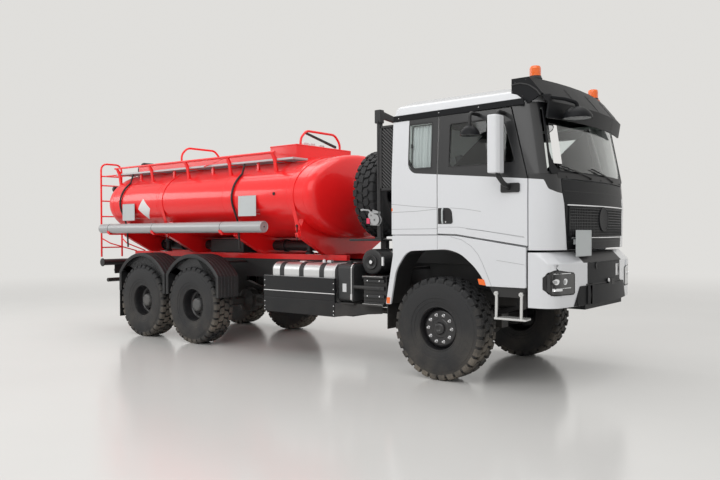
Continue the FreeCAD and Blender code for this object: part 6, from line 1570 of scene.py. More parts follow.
def matched(outer, inner, longest):
    """Two closed outlines with their long stretches cut into as many short ones."""
    results = ([], [])
    count = len(outer)
    for index in range(count):
        pairs = [(Vector(line[index]), Vector(line[(index + 1) % count])) for line in (outer, inner)]
        cuts = max(1, math.ceil(max(((b - a).length for a, b in pairs)) / longest))
        for line, (start, end) in zip(results, pairs):
            line += [tuple(start.lerp(end, cut / cuts)) for cut in range(cuts)]
    return results


def rounded_loop(corners, radius, steps=5):
    """A closed outline of (a, b) corners with each corner turned on an arc."""
    count = len(corners)
    points = []
    for index in range(count):
        before, corner, after = (Vector((*corners[(index + offset) % count], 0)) for offset in (-1, 0, 1))
        into, out = (before - corner).normalized(), (after - corner).normalized()
        half = into.angle(out) / 2
        size = radius[index] if isinstance(radius, (list, tuple)) else radius
        reach = min(size / math.tan(half), (before - corner).length * 0.49, (after - corner).length * 0.49)
        turn_size = reach * math.tan(half)
        centre = corner + (into + out).normalized() * (turn_size / math.sin(half))
        first, last = (corner + into * reach - centre, corner + out * reach - centre)
        for step in range(steps + 1):
            spot = centre + first.slerp(last, step / steps).normalized() * turn_size
            points.append((spot.x, spot.y))
    return points


def side_y(z, grow=0):
    """How far out the cab's side stands at a height."""
    return 1.245 - max(0, z - 2.45) / 0.82 * 0.05 + grow


def front_x(y, z):
    """Where the cab's front stands at a place across it and a height."""
    rows = ((1.6, 1.56), (2.12, 1.575), (2.45, 1.545), (3.27, 1.385))
    x = rows[-1][1]
    for (low, before), (high, after) in zip(rows, rows[1:]):
        if z <= high:
            x = before + (after - before) * max(0, z - low) / (high - low)
            break
    return x - 0.112 * (y / 1.05) ** 2


def on_side(points, grow):
    """Points of an (x, z) outline set on the right side of the cab."""
    return [(x, -side_y(z, grow), z) for x, z in points]


def frame_on_side(corners, radius, wide, grow, high):
    """A frame round a window, lying on the right side of the cab."""
    inner = rounded_loop(corners, radius)
    middle = Vector((sum((x for x, _ in corners)) / len(corners), sum((z for _, z in corners)) / len(corners)))
    size = Vector((
        max((x for x, _ in corners)) - min((x for x, _ in corners)),
        max((z for _, z in corners)) - min((z for _, z in corners)),
    ))
    outer = []
    for x, z in inner:
        spread = Vector((1 + 2 * wide / size.x, 1 + 2 * wide / size.y))
        outer.append((middle.x + (x - middle.x) * spread.x, middle.y + (z - middle.y) * spread.y))
    return softened(ring_plate(
        on_side(outer, grow - high),
        on_side(inner, grow - high),
        (0, -high, 0),
    ), min(high, wide) * 0.35, 2)


def ribbon(points, wide, high):
    """A narrow raised strip on the right side of the cab along an (x, z) line."""
    strips = []
    for (x_a, z_a), (x_b, z_b) in zip(points, points[1:]):
        along = Vector((x_b - x_a, z_b - z_a)).normalized() * 0.001
        across = Vector((-along.y, along.x)).normalized() * wide / 2
        corners = [(x_a - along.x - across.x, z_a - along.y - across.y), (x_b + along.x - across.x,
            z_b + along.y - across.y), (x_b + along.x + across.x, z_b + along.y + across.y),
            (x_a - along.x + across.x, z_a - along.y + across.y)]
        strips.append(slab(on_side(corners, 0.0006 - high), (0, -high, 0)))
    return joined(strips)


def front_strip(y_low, y_high, z_low, z_high, proud, steps=16, bevel=0):
    """A strip across the cab's front that follows its arch."""
    outer, inner = [], []
    for step in range(steps + 1):
        y = y_low + (y_high - y_low) * step / steps
        x = front_x(y, (z_low + z_high) / 2)
        outer.append((x + proud, y, z_low))
        inner.append((x - 0.012, y, z_low))
    return slab(outer + list(reversed(inner)), (0, 0, z_high - z_low), bevel, 1)


def lined(piece, name="headliner grey"):
    """Give the faces that look into the cab their own finish."""
    piece.data.materials.append(MATERIALS[name])
    centre = Vector((AXLE + 0.35, 0, 2.5))
    for face in piece.data.polygons:
        inside = abs(face.center.y) < 1.2 and face.normal.dot(face.center - centre) < -0.05
        if inside and face.center.z > 1.75:
            face.material_index = len(piece.data.materials) - 1
    return piece


def cab_panes():
    """The windscreen as one curved pane with the rear side panes."""
    rows = []
    for number in range(9):
        z = 2.482 + 0.716 * number / 8
        half = 1.126 - 0.072 * number / 8
        rows.append([(front_x(half * step / 14, z) - 0.011, half * step / 14, z) for step in range(-14, 15)])
    done(joined([ahead(grid_sheet(rows, (-0.006, 0, 0))), without(cad_copy("cab_glass"),
        lambda spot: spot.co.x > AXLE + 1)]), "cab_window_panes", "cab", ("cab_glass",),
        MATERIALS["cab glass"], 50)


def cab_roof():
    """The high roof with its edges rounded over."""
    piece = cad_copy("cab_roof")
    modify(piece, "BEVEL", width=0.055, segments=5, limit_method="ANGLE", angle_limit=math.radians(26))
    return piece


def side_trim():
    """Rear window gasket, crease lines of painted shade in grey, the seam strip, the rain strip with its bolts and a
    side marker.
    """
    window = [(-0.428, 2.592), (-0.095, 2.592), (-0.095, 3.158), (-0.428, 3.158)]
    parts = [
        paint("gasket rubber", frame_on_side(window, [0.13, 0.02, 0.02, 0.02], 0.012, 0.002, 0.016)),
        paint("gasket rubber", block((-0.405, -1.214, 2.86), (-0.375, -1.2, 2.91), 0.004)),
    ]
    # The ribbons are raised grey strips; along the pressed creases their grey is painted shade.
    for line in ([(-0.686, 2.165), (-0.3, 2.125), (-0.004, 2.105)], [(-0.686, 2.06), (-0.3, 2.068), (-0.004, 2.088)],
            [(-0.686, 1.845), (-0.004, 1.85)]):
        parts.append(paint("seam grey and crease shade", ribbon(line, 0.006, 0.0012)))
    parts += [
        paint("trim charcoal",
            slab(at("y", -1.208, [(-0.686, BAND_TOP), (1.128, 3.235), (1.118, 3.308), (-0.686, 3.288)]), (0, 0.03, 0),
                0.004),
        ),
        scattered(dome(0.006, 0.003, "bright steel", 8), [(-0.6, -1.2075, 3.25), (0, -1.2075, 3.262),
            (0.55, -1.2075, 3.268)], "out"),
        paint("orange lens", block((-0.692, -1.247, 2.075), (-0.672, -1.225, 2.115), 0.004)),
    ]
    return parts


def screen_trim():
    """The windscreen's rubber edge, the cowl below it, two wipers and the seam to the corner panels."""
    parts = []
    outer = rounded_loop([(-1.14, 2.452), (1.14, 2.452), (1.068, BAND_TOP), (-1.068, BAND_TOP)], 0.03, 8)
    inner = rounded_loop([(-1.112, 2.492), (1.112, 2.492), (1.04, 3.176), (-1.04, 3.176)], [0.19, 0.19, 0.07, 0.07],
        8)
    outer, inner = matched(outer, inner, 0.09)
    parts += [
        paint("trim charcoal", ring_plate([(front_x(y, z) + 0.002, y, z) for y, z in outer],
            [(front_x(y, z) + 0.001, y, z) for y, z in inner], (-0.01, 0, 0))),
        paint("gasket rubber", front_strip(-1.02, 1.02, 2.404, 2.47, 0.004, 20, 0.003)),
    ]
    for start in (-0.93, -0.2):
        parts.append(wiper(start))
    for y in (-0.85, 0, 0.85):
        parts.append(paint("chassis black",
            spun([(0, 0), (0, 0.012), (0.008, 0.008), (0.01, 0)], "x", (front_x(y, 2.42) + 0.003, y, 2.425), 12),
        ))
    return parts


def wiper(start):
    """One wiper: a hub, an arm and a blade lying low over the glass."""
    hub_y, hub_z = start + 0.62, 2.435
    hub = spun([(0, 0), (0, 0.022), (0.016, 0.02), (0.024, 0.012), (0.024, 0)], "x", (front_x(hub_y, hub_z) + 0.002,
        hub_y, hub_z), 18)
    path = []
    for share in (0, 0.35, 0.7, 1):
        y = hub_y - 0.5 * share
        z = hub_z + 0.085 * share
        path.append((front_x(y, z) + 0.02, y, z))
    arm = pipe(path, 0.008)
    blade, tip = [], []
    for share in (0, 0.2, 0.4, 0.6, 0.8, 1):
        y = start + 0.36 - 0.4 * share
        z = 2.488 + 0.062 * share
        blade.append((front_x(y, z) + 0.014, y, z))
        tip.append((front_x(y, z) + 0.004, y, z - 0.004))
    return paint("gasket rubber", hub, arm, joined([pipe(blade, 0.0065), pipe(tip, 0.004)]))


class TRUCK_OT_cab_body(PieceOperator):
    """Make the cab's body, roof, front corner panels and window surrounds"""
    bl_idname = "truck.cab_body"
    bl_label = "Cab body"

    def make(self, scene):
        """Softened panels over the solids, with gaskets, crease lines of painted shade, seams and the rain strip."""
        body = lined(paint("cab paint", cad_copy("cab_shell", 0.004, 2)))
        done(joined([body, ahead(mirrored(joined(side_trim()))), ahead(joined(screen_trim()))]), "cab_body_panels",
            "cab", ("cab_shell",), angle=30)
        done(lined(paint("plain white", cab_roof())), "cab_roof_skin", "cab", ("cab_roof",), angle=50)
        cab_panes()
        done(paint("cab paint", cad_copy("cab_front", 0.004, 2)), "front_corner_panels", "cab",
            ("cab_front",), angle=30)


DOOR_WINDOW = [(0.162, 2.596), (1.028, 2.596), (0.866, 3.104), (0.162, 3.104)]


def door_trim():
    """Gasket, handle recess with its grab bar, creases and the inner panel."""
    parts = [paint("gasket rubber", frame_on_side(DOOR_WINDOW, [0.05, 0.03, 0.03, 0.03], 0.016, 0.002, 0.018))]
    recess = rounded_loop([(0.01, 1.905), (0.225, 1.905), (0.205, 2.1), (0.01, 2.1)], [0.012, 0.03, 0.07, 0.012])
    parts += [
        paint("gasket rubber", slab(on_side(recess, -0.001), (0, -0.002, 0), 0.0008, 1)),
        paint("cab paint",
            ring_plate(on_side(rounded_loop([(0.004, 1.899), (0.233, 1.899), (0.212, 2.106), (0.004, 2.106)],
                [0.014, 0.034, 0.074, 0.014]), -0.002), on_side(recess, -0.002), (0, -0.0045, 0)),
        ),
        paint("plate grey",
            pipe(at("x", 0.078, [(-1.2465, 1.912), (-1.259, 1.945), (-1.259, 2.065), (-1.2465, 2.096)]), 0.012, 0.02),
        ),
        paint("bright steel",
            spun([(-1.2475, 0), (-1.2475, 0.01), (-1.2495, 0.009), (-1.2495, 0)], "y", (0.12, 0, 1.93), 16),
        ),
    ]
    # The crease lines are raised grey strips whose grey is painted shade along the pressed folds.
    for line in ([(0.004, 2.104), (0.16, 2.1), (0.4, 2.078), (0.6, 2.045)], [(0.004, 1.868), (0.3, 1.866),
            (1.14, 1.752)], [(0.4, 1.845), (0.62, 1.822), (1.15, 1.742)]):
        parts.append(paint("seam grey and crease shade", ribbon(line, 0.005, 0.0011)))
    parts.append(paint("dash plastic",
        slab(at("y", -1.184, [(0.06, 1.83), (1.08, 1.72), (1.1, 2.48), (0.06, 2.48)]), (0, 0.006, 0), 0.004),
        block((0.25, -1.18, 2.2), (0.85, -1.168, 2.26), 0.005),
    ))
    return parts


class TRUCK_OT_doors(PieceOperator):
    """Make both doors with their handles, gaskets and trim"""
    bl_idname = "truck.doors"
    bl_label = "Doors"

    def make(self, scene):
        """The right door is modelled and mirrored to the left."""
        for side, sign in (("right", 1), ("left", -1)):
            skin = paint("cab paint", cad_copy(f"door_{side}", 0.003, 2))
            trim = ahead(joined(door_trim()))
            if sign < 0:
                moved(trim, MIRROR)
            done(cad_copy(f"door_glass_{side}"), f"door_window_{side}", f"door_{side}",
                (f"door_glass_{side}",), MATERIALS["cab glass"], 50)
            done(joined([skin, trim]), f"door_panel_{side}", f"door_{side}", (f"door_{side}",),
                angle=30)


def flap_trim():
    """Mesh between two bright lines, folded seams, and the bare plate low on the right."""
    parts = []
    back = paint("gasket rubber", front_strip(-MESH_HALF, MESH_HALF, 1.764, 2.086, 0.002, 18))
    cross = [paint("guard plastic", bar_across(1.782 + 0.0325 * row)) for row in range(10)]
    uprights = []
    for column in range(45):
        y = -0.835 + 1.67 * column / 44
        z_low = 1.765
        uprights.append(block((front_x(y, 1.9) - 0.004, y - 0.0042, z_low), (front_x(y, 1.9) + 0.0095, y + 0.0042,
            2.086), 0))
    parts += [
        joined(cross + [back, paint("guard plastic", *uprights)]),
        paint("lamp silver", front_strip(-0.89, 0.89, 2.1, 2.114, 0.014, 20, 0.004)),
        paint("lamp silver", front_strip(-0.78, 0.78, 1.73, 1.742, 0.014, 18, 0.003)),
        paint("trim charcoal", front_strip(-0.86, 0.86, 2.084, 2.098, 0.012, 18, 0.003)),
        paint("trim charcoal", front_strip(-0.84, 0.84, 1.748, 1.764, 0.012, 18, 0.003)),
        paint("gasket rubber", front_strip(-0.865, 0.865, 1.69, 1.696, 0.003, 18)),
        paint("gasket rubber", front_strip(-0.925, 0.925, 2.262, 2.268, 0.002, 18)),
    ]
    for y in (-0.845, 0.845):
        parts.append(paint("trim charcoal",
            block((front_x(y, 1.9) - 0.01, y - 0.008, 1.75), (front_x(y, 1.9) + 0.012, y + 0.008, 2.1), 0.004),
        ))
    parts.append(paint("trim charcoal",
        spun([(0, 0), (0, 0.15), (0.016, 0.148), (0.02, 0.14), (0.017, 0.132), (0.015, 0)], "x",
            (front_x(0, 1.93) + 0.002, 0, 1.955), 48),
    ))
    plate = block((1.564, -0.815, 1.523), (1.57, -0.357, 1.825), 0.006)
    stand = [block((front_x(y, 1.7) - 0.01, y - 0.02, 1.66), (1.565, y + 0.02, 1.72), 0.002, 1)
        for y in (-0.72, -0.45)]
    parts += [
        paint("plate grey", plate, *stand),
        paint("plate grey",
            ring_plate(
                at("x", 1.57, rounded_loop([(-0.812, 1.526), (-0.36, 1.526), (-0.36, 1.822), (-0.812, 1.822)],
                    0.012)),
                at("x", 1.57, rounded_loop([(-0.802, 1.536), (-0.37, 1.536), (-0.37, 1.812), (-0.802, 1.812)],
                    0.008)),
                (0.0025, 0, 0),
            ),
        ),
    ]
    return parts


def bar_across(z):
    """One thin bar of the mesh."""
    return front_strip(-MESH_HALF, MESH_HALF, z - 0.004, z + 0.004, 0.0095, 14)


class TRUCK_OT_cab_front(PieceOperator):
    """Make the flap with its mesh, chrome strips and bare plate"""
    bl_idname = "truck.cab_front_trim"
    bl_label = "Front flap"

    def make(self, scene):
        """All of it swings up with the flap."""
        done(joined([paint("trim charcoal", cad_copy("grille_flap", 0.003, 2)), ahead(joined(flap_trim()))]),
            "grille_flap_panel", "front_flap", ("grille_flap",), angle=30)


def visor_trim():
    """Seams, marker lamps and bolts on the visor."""
    parts = []
    for y in (-0.56, 0, 0.56):
        back = 0.112 * (y / 1.05) ** 2
        for x, z in ((1.36, 3.462), (1.515, 3.262)):
            parts.append(scattered(dome(0.008, 0.004, "chassis black", 8), [(x - back + 0.001, y + 0.09, z)],
                "front"))
        parts += [
            paint("gasket rubber",
                pipe([(1.352 - back, y, 3.4775), (1.528 - back, y, 3.254), (1.499 - back, y, 3.076)], 0.0022),
            ),
            paint("orange lens", block((1.205 - back, y + 0.2, 3.546), (1.255 - back, y + 0.3, 3.562), 0.006)),
        ]
    parts.append(paint("gasket rubber",
        mirrored(pipe(at("y", -1.148, [(0.948, 3.478), (1.05, 3.487), (1.16, 3.455), (1.255, 3.385), (1.3, 3.325)]),
            0.012, 0.12)),
    ))
    for side in SIDES:
        spots = at("y", side * 1.1495, ((0.99, 3.5), (1.12, 3.52), (1.08, 3.34)))
        heads = scattered(dome(0.008, 0.004, "chassis black", 8), [(x, -1.1495, z) for x, _, z in spots], "out")
        parts.append(heads if side < 0 else moved(heads, MIRROR))
    return parts


def roof_beacon():
    """A beacon: black foot and a ribbed amber cap, on the right side."""
    place = (1.115, -0.89, 0)
    foot = paint("gasket rubber",
        spun([(3.552, 0), (3.552, 0.08), (3.575, 0.08), (3.586, 0.07), (3.6, 0.069), (3.602, 0)], "z", place, 40),
    )
    profile = [(3.6, 0), (3.6, 0.064)]
    for ring in range(6):
        z = 3.608 + 0.015 * ring
        profile += [(z, 0.0655), (z + 0.006, 0.0625)]
    profile += [(3.702, 0.062), (3.713, 0.056), (3.718, 0.046), (3.7195, 0)]
    return joined([foot, paint("orange lens", spun(profile, "z", place, 40))])


def front_mirror():
    """A round dish facing down on a bent arm from the visor."""
    place = (1.6, -0.85, 3.11)
    dish = spun([(-0.034, 0), (-0.036, 0.152), (-0.04, 0.156), (-0.04, 0.164), (-0.03, 0.1665), (-0.008, 0.163),
        (0.025, 0.142), (0.058, 0.108), (0.08, 0.075), (0.09, 0.04), (0.092, 0)], "z", place, 44)
    arm = pipe([(1.6, -0.85, 3.18), (1.6, -0.86, 3.245), (1.5, -0.955, 3.285), (1.388, -1.085, 3.3)], 0.021, 0.05, 5)
    arm = joined([arm, block((1.315, -1.125, 3.262), (1.4, -1.05, 3.338), 0.012)])
    return joined([
        paint("trim charcoal", dish, arm),
        paint("lamp silver", spun([(-0.037, 0), (-0.037, 0.15), (-0.035, 0.15), (-0.035, 0)], "z", place, 36)),
    ])


def door_mirror():
    """A tall rounded head on two arms with its pad on the door, right side."""
    corners = [(0.836, -1.332), (0.836, -1.528), (0.944, -1.528), (0.964, -1.468), (0.964, -1.372), (0.936, -1.332)]
    plan = rounded_loop(corners, [0.014, 0.014, 0.035, 0.04, 0.04, 0.035], 3)
    return joined([
        paint("plain white", slab(at("z", 2.462, plan), (0, 0, 0.646), 0.045, 4)),
        paint("lamp silver", block((0.8342, -1.515, 2.5), (0.8378, -1.345, 3.07), 0.0012, 1)),
        paint("gasket rubber", block((0.8344, -1.515, 2.7), (0.8385, -1.345, 2.712), 0.001, 1)),
        paint("gasket rubber",
            pipe([(0.965, -1.245, 2.315), (0.96, -1.375, 2.345), (0.905, -1.405, 2.44), (0.9, -1.405, 2.53)], 0.028,
                0.05, 6),
            pipe([(0.895, -1.405, 3.06), (0.895, -1.395, 3.155), (0.875, -1.205, 3.165)], 0.024, 0.05, 6),
            slab(at("y", -1.2475, rounded_loop([(0.862, 2.252), (1.098, 2.252), (1.098, 2.358), (0.862, 2.358)],
                0.02)), (0, -0.019, 0), 0.006),
            spun([(-1.262, 0), (-1.262, 0.03), (-1.29, 0.026), (-1.3, 0.016), (-1.3, 0)], "y", (0.96, 0, 2.31), 20),
        ),
    ])


def kerb_mirror():
    """A domed mirror over the right door, dark below."""
    place = (0.55, -1.41, 2.915)
    return joined([
        paint("trim charcoal",
            spun([(0.004, 0.114), (0.004, 0.118), (0.016, 0.1175), (0.042, 0.109), (0.07, 0.092), (0.096, 0.066),
                (0.112, 0.034), (0.118, 0)], "z", place, 44),
        ),
        paint("dark lens",
            spun([(0.012, 0), (0.01, 0.07), (0.002, 0.104), (0, 0.114), (0.006, 0.116)], "z", place, 44),
        ),
        paint("gasket rubber", pipe(at("x", 0.55, [(-1.41, 3.02), (-1.41, 3.178), (-1.2, 3.178)]), 0.021, 0.05, 6)),
    ])


class TRUCK_OT_visor(PieceOperator):
    """Make the sun visor, the beacons and every mirror"""
    bl_idname = "truck.visor"
    bl_label = "Visor, beacons and mirrors"

    def make(self, scene):
        """What stands out from the cab."""
        done(joined([paint("trim charcoal", cad_copy("sun_visor", 0.012, 3)), ahead(joined(visor_trim()))]),
            "sun_visor_shell", "cab", ("sun_visor",), angle=28)
        done(ahead(mirrored(roof_beacon())), "roof_beacons", "cab", ("beacons",), angle=30)
        done(ahead(front_mirror()), "front_round_mirror", "cab", ("front_mirror",))
        for side, sign in (("right", 1), ("left", -1)):
            mirror = ahead(door_mirror())
            if sign < 0:
                moved(mirror, MIRROR)
            done(mirror, f"door_mirror_{side}", f"door_{side}", (f"mirror_{side}",), angle=32)
        done(ahead(kerb_mirror()), "kerb_dome_mirror", "door_right", ("kerb_mirror",))


def cushion(low, high, thin, channels, lean=None):
    """A stuffed block: crowned between pulled-in edges, with sewn channels across it."""
    low, high = Vector(low), Vector(high)
    middle, half = (low + high) / 2, (high - low) / 2
    clear_selection()
    bpy.ops.mesh.primitive_cube_add(size=1, location=middle)
    bpy.ops.transform.resize(value=half * 2)
    set_mode("EDIT")
    bpy.ops.mesh.subdivide(number_cuts=11)
    piece = settled()
    softened(piece, 0.022, 3)
    long_ways = [way for way in range(3) if way != thin]
    for point in piece.data.vertices:
        share = [(point.co[way] - middle[way]) / half[way] for way in range(3)]
        first, second = (share[way] for way in long_ways)
        fullness = (1 - first ** 2) * (1 - second ** 2)
        groove = sum((math.exp(-((second - channel) / 0.045) ** 2) for channel in channels))
        crown = 0.72 + 0.28 * fullness - 0.1 * groove * (1 - first ** 4)
        point.co[thin] = middle[thin] + (point.co[thin] - middle[thin]) * crown
        for way, other in zip(long_ways, reversed(long_ways)):
            pull = 1 - 0.035 * (1 - abs(share[other]) ** 2) * abs(share[way]) ** 3
            point.co[way] = middle[way] + (point.co[way] - middle[way]) * pull
    if lean:
        moved(piece, lean)
    return modify(piece, "SUBSURF", levels=1, render_levels=1)


def make_seat(side, sign):
    """Cushion and back of one seat."""
    y = sign * 0.56
    base = cushion((0.07, y - 0.255, 1.962), (0.585, y + 0.255, 2.108), 2, (-0.55, 0.55))
    done(ahead(base), f"seat_cushion_{side}", "cab", ("seats",), MATERIALS["seat cloth"], 60)
    lean = turn(-8.7, "Y", (0.12, y, 2.09))
    back = cushion((0.062, y - 0.232, 2.1), (0.178, y + 0.232, 2.785), 0, (-0.35, 0.1, 0.5), lean)
    done(ahead(back), f"seat_back_{side}", "cab", ("seats",), MATERIALS["seat cloth"], 60)


def make_curtain(side, sign):
    """A gathered curtain behind the small side window."""
    low, high, start, end = 2.612, 3.132, -0.412, -0.115
    points = []
    count = 56
    for step in range(count + 1):
        share = step / count
        x = start + (end - start) * share
        wave = 0.012 * math.sin(share * 41) + 0.005 * math.sin(share * 23 + 1)
        points.append((x, wave, low))
    wire(points)
    bpy.ops.mesh.extrude_region_move(TRANSFORM_OT_translate={"value": (0, 0, high - low)})
    select_all()
    bpy.ops.mesh.subdivide(number_cuts=1)
    piece = settled()
    for point in piece.data.vertices:
        share = (point.co.z - low) / (high - low)
        point.co.y = sign * (1.186 - 0.0305 * share * 1 - 0.012) + point.co.y * (1.15 - 0.35 * share)
    modify(piece, "SOLIDIFY", thickness=0.0012)
    done(ahead(piece), f"curtain_{side}", "cab", (), MATERIALS["curtain cloth"], 60)


class TRUCK_OT_interior(PieceOperator):
    """Make the seats, the curtains and the dashboard's finish"""
    bl_idname = "truck.interior"
    bl_label = "Interior"

    def make(self, scene):
        """The soft pieces are made one by one."""
        done(joined([paint("dash plastic", cad_copy("dashboard", 0.006, 2)),
            ahead(paint("dash plastic", block((0.86, 0.36, 2.44), (0.98, 0.76, 2.5), 0.02)))]), "dashboard_and_wheel",
            "cab", ("dashboard",))
        for side, sign in (("right", -1), ("left", 1)):
            make_seat(side, sign)
            make_curtain(side, sign)
        done(ahead(joined([block((0.13, sign * 0.56 - 0.18, 1.722), (0.53, sign * 0.56 + 0.18, 1.965), 0.02)
            for sign in SIDES])), "seat_pedestals", "cab", ("seats",),
            material=MATERIALS["dash plastic"])


def bumper_shell():
    """The bumper's shell, cut where its middle turns black."""
    piece = cad_copy("front_bumper", 0.003, 2)
    set_mode("EDIT")
    for y in (-0.62, 0.62):
        select_all()
        bpy.ops.mesh.bisect(plane_co=(0, y, 0), plane_no=(0, 1, 0))
    set_mode("OBJECT")
    for vertex in piece.data.vertices:
        spot = vertex.co
        if 0.94 < abs(spot.y) < 1.21 and 1.375 < spot.z < 1.44:
            spot.x = min(spot.x, AXLE + bumper_x(spot.y))
    return piece


def bumper_x(y):
    """The bumper's front face at a place across it."""
    if abs(y) <= 1.05:
        return 1.62 - 0.112 * (y / 1.05) ** 2
    share = (abs(y) - 1.05) / 0.195
    return 1.508 - 0.19 * (1 - math.sqrt(max(0, 1 - share * share)))


def bumper_skin(across, low, high, proud, name):
    """A sheet lying on the bumper's face between two heights given across it."""
    rows = ([], [])
    for y in across:
        slope = (bumper_x(y + 0.0005) - bumper_x(y - 0.0005)) / 0.001
        out = Vector((1, -slope)).normalized() * proud
        for row, edge in zip(rows, (low, high)):
            row.append((bumper_x(y) + out.x, y + out.y, edge(y)))
    return paint(name, grid_sheet(rows, Vector((-0.01, 0.004 if across[0] < -0.6 else 0, 0))))


def centre_trim():
    """Tow eye, the dark intake panel and the pale guard plate below."""
    parts = []
    across = [-0.565 + 1.13 * step / 20 for step in range(21)]
    parts += [
        softened(bumper_skin(across, lambda y: 0.965 + 0.05 * max(0, abs(y) - 0.4), lambda y: 1.185, 0.022,
            "trim charcoal"), 0.006),
        bumper_skin(across, lambda y: 1.185, lambda y: 1.205, 0.002, "gasket rubber"),
    ]
    for side in (1, -1):
        wing = [-0.83 + 0.295 * step / 10 for step in range(11)]
        piece = bumper_skin(wing, lambda y: 0.963, lambda y: min(1.185, 0.972 + (y + 0.83) * 1.75), 0.009,
            "trim charcoal")
        parts.append(piece if side > 0 else moved(piece, MIRROR))
    parts += [
        bumper_skin([0.02 + 0.04 * step for step in range(6)], lambda y: 1.165, lambda y: 1.235, 0.024,
            "gasket rubber"),
        paint("gasket rubber",
            spun([(0, 0), (0, 0.04), (0.004, 0.04), (0.006, 0.034), (0.002, 0.03), (0.002, 0)], "x",
                (bumper_x(-0.3), -0.3, 1.405), 28),
        ),
        paint("plate white",
            spun([(0, 0), (0, 0.024), (0.008, 0.02), (0.01, 0)], "x", (bumper_x(0.02) + 0.018, 0.02, 1.222), 14),
        ),
        bumper_skin([0.345, 0.39, 0.435, 0.48], lambda y: 1.262, lambda y: 1.408, 0.002, "plate white"),
    ]
    return parts


LAMP_HIGH = ((-1.238, 1.3), (-1.222, 1.348), (-1.19, 1.38), (-1.15, 1.386), (-0.84, 1.346), (-0.815, 1.325))
LAMP_LOW = ((-1.238, 1.17), (-1.215, 1.12), (-1.18, 1.098), (-0.84, 1.098), (-0.815, 1.118))


def line_height(line, y):
    """The height of an outline given as (y, z) points."""
    for (y_a, z_a), (y_b, z_b) in zip(line, line[1:]):
        if y <= y_b:
            return z_a + (z_b - z_a) * max(0, y - y_a) / (y_b - y_a)
    return line[-1][1]


def headlamp():
    """A clipped black lamp that turns the bumper's corner, with two lamps and light bars, on the right side."""
    across = [-1.238, -1.232, -1.222, -1.21, -1.195, -1.175, -1.15, -1.12, -1.08, -1.04, -0.98, -0.92, -0.87, -0.84,
        -0.825, -0.815]
    low, high = lambda y: line_height(LAMP_LOW, y), lambda y: line_height(LAMP_HIGH, y)
    parts = [bumper_skin(across, low, high, 0.0045, "gasket rubber")]
    inside = [y for y in across if -1.23 < y < -0.83]
    parts.append(bumper_skin(inside, lambda y: low(y) + 0.014, lambda y: high(y) - 0.014, 0.0065, "dark lens"))
    fill = [-1.205 + 0.265 * step / 10 for step in range(11)]
    parts.append(bumper_skin(fill, lambda y: high(y) - 0.002, lambda y: 1.437, 0.01, "plain white"))
    for middle, half in ((-1.152, 0.036), (-1.008, 0.04)):
        spread = [middle + half * math.cos(math.pi * step / 10) for step in range(10, -1, -1)]
        round_off = lambda y, m=middle, h=half: math.sqrt(max(0, h * h - (y - m) ** 2))
        parts.append(bumper_skin(spread, lambda y: 1.262 - round_off(y) * 1.15, lambda y: 1.262 + round_off(y) * 0.6,
            0.0085, "lamp silver"))
        small = [middle - 0.012 + half * 0.55 * math.cos(math.pi * step / 8) for step in range(8, -1, -1)]
        pupil = lambda y, m=middle - 0.012, h=half * 0.55: math.sqrt(max(0, h * h - (y - m) ** 2))
        parts.append(bumper_skin(small, lambda y: 1.25 - pupil(y), lambda y: 1.25 + pupil(y), 0.0105, "locker grey"))
    for start, end, bottom, top in ((-1.19, -1.065, 1.15, 1.18), (-1.05, -0.9, 1.176, 1.183),
            (-1.18, -0.9, 1.338, 1.345)):
        bar = [start + (end - start) * step / 10 for step in range(11)]
        parts.append(bumper_skin(bar, lambda y: bottom, lambda y: top, 0.0085, "lamp silver"))
    return joined(parts)


def fender_panel():
    """The panel over a front wheel with its arch drawn in curves, on the right side."""
    corners = [(0.664, 1.177), (1.165, 1.175), (1.165, 1.629), (0.267, 1.761), (0, 1.769), (-0.69, 1.769),
        (-0.672, 1.525), (-0.788, 0.886), (-0.712, 0.886), (-0.628, 1.33), (-0.456, 1.57), (0.143, 1.6),
        (0.33, 1.545), (0.505, 1.402), (0.6, 1.29)]
    radii = [0.02, 0.02, 0.015, 0.6, 0.5, 0.02, 0.3, 0.01, 0.01, 0.45, 0.2, 0.5, 0.4, 0.6, 0.4]
    outline = rounded_loop(corners, radii, 7)
    return slab(at("y", -1.245, outline), (0, 0.035, 0), 0.006, 3)


def fender_trim():
    """Flange seams, two side markers and the step panel's crease."""
    parts = []
    face = -1.2455
    seam = [(0.19, 1.752), (0.34, 1.715), (0.47, 1.64), (0.56, 1.545), (0.62, 1.44), (0.675, 1.32), (0.735, 1.182)]
    for before, after in zip(seam, seam[1:]):
        parts.append(paint("seam grey and crease shade", pipe([(before[0], face, before[1]), (after[0], face, after[1])], 0.0022)))
    # The step panel's crease below is a thin grey pipe whose grey is painted shade; the seam lines use the same grey.
    parts += [
        paint("seam grey and crease shade", pipe([(0, face, 1.602), (0, face, 1.765)], 0.0022)),
        paint("seam grey and crease shade", pipe([(0.8, face, 1.482), (1.15, face, 1.437)], 0.002)),
    ]
    for corners in ([(0.575, 1.195), (0.665, 1.185), (0.64, 1.255), (0.555, 1.262)],
            [(-0.775, 0.895), (-0.722, 0.895), (-0.716, 0.975), (-0.768, 0.975)]):
        outline = rounded_loop(corners, 0.008, 3)
        parts.append(paint("orange lens", slab(at("y", -1.244, outline), (0, -0.005, 0), 0.002)))
    return parts


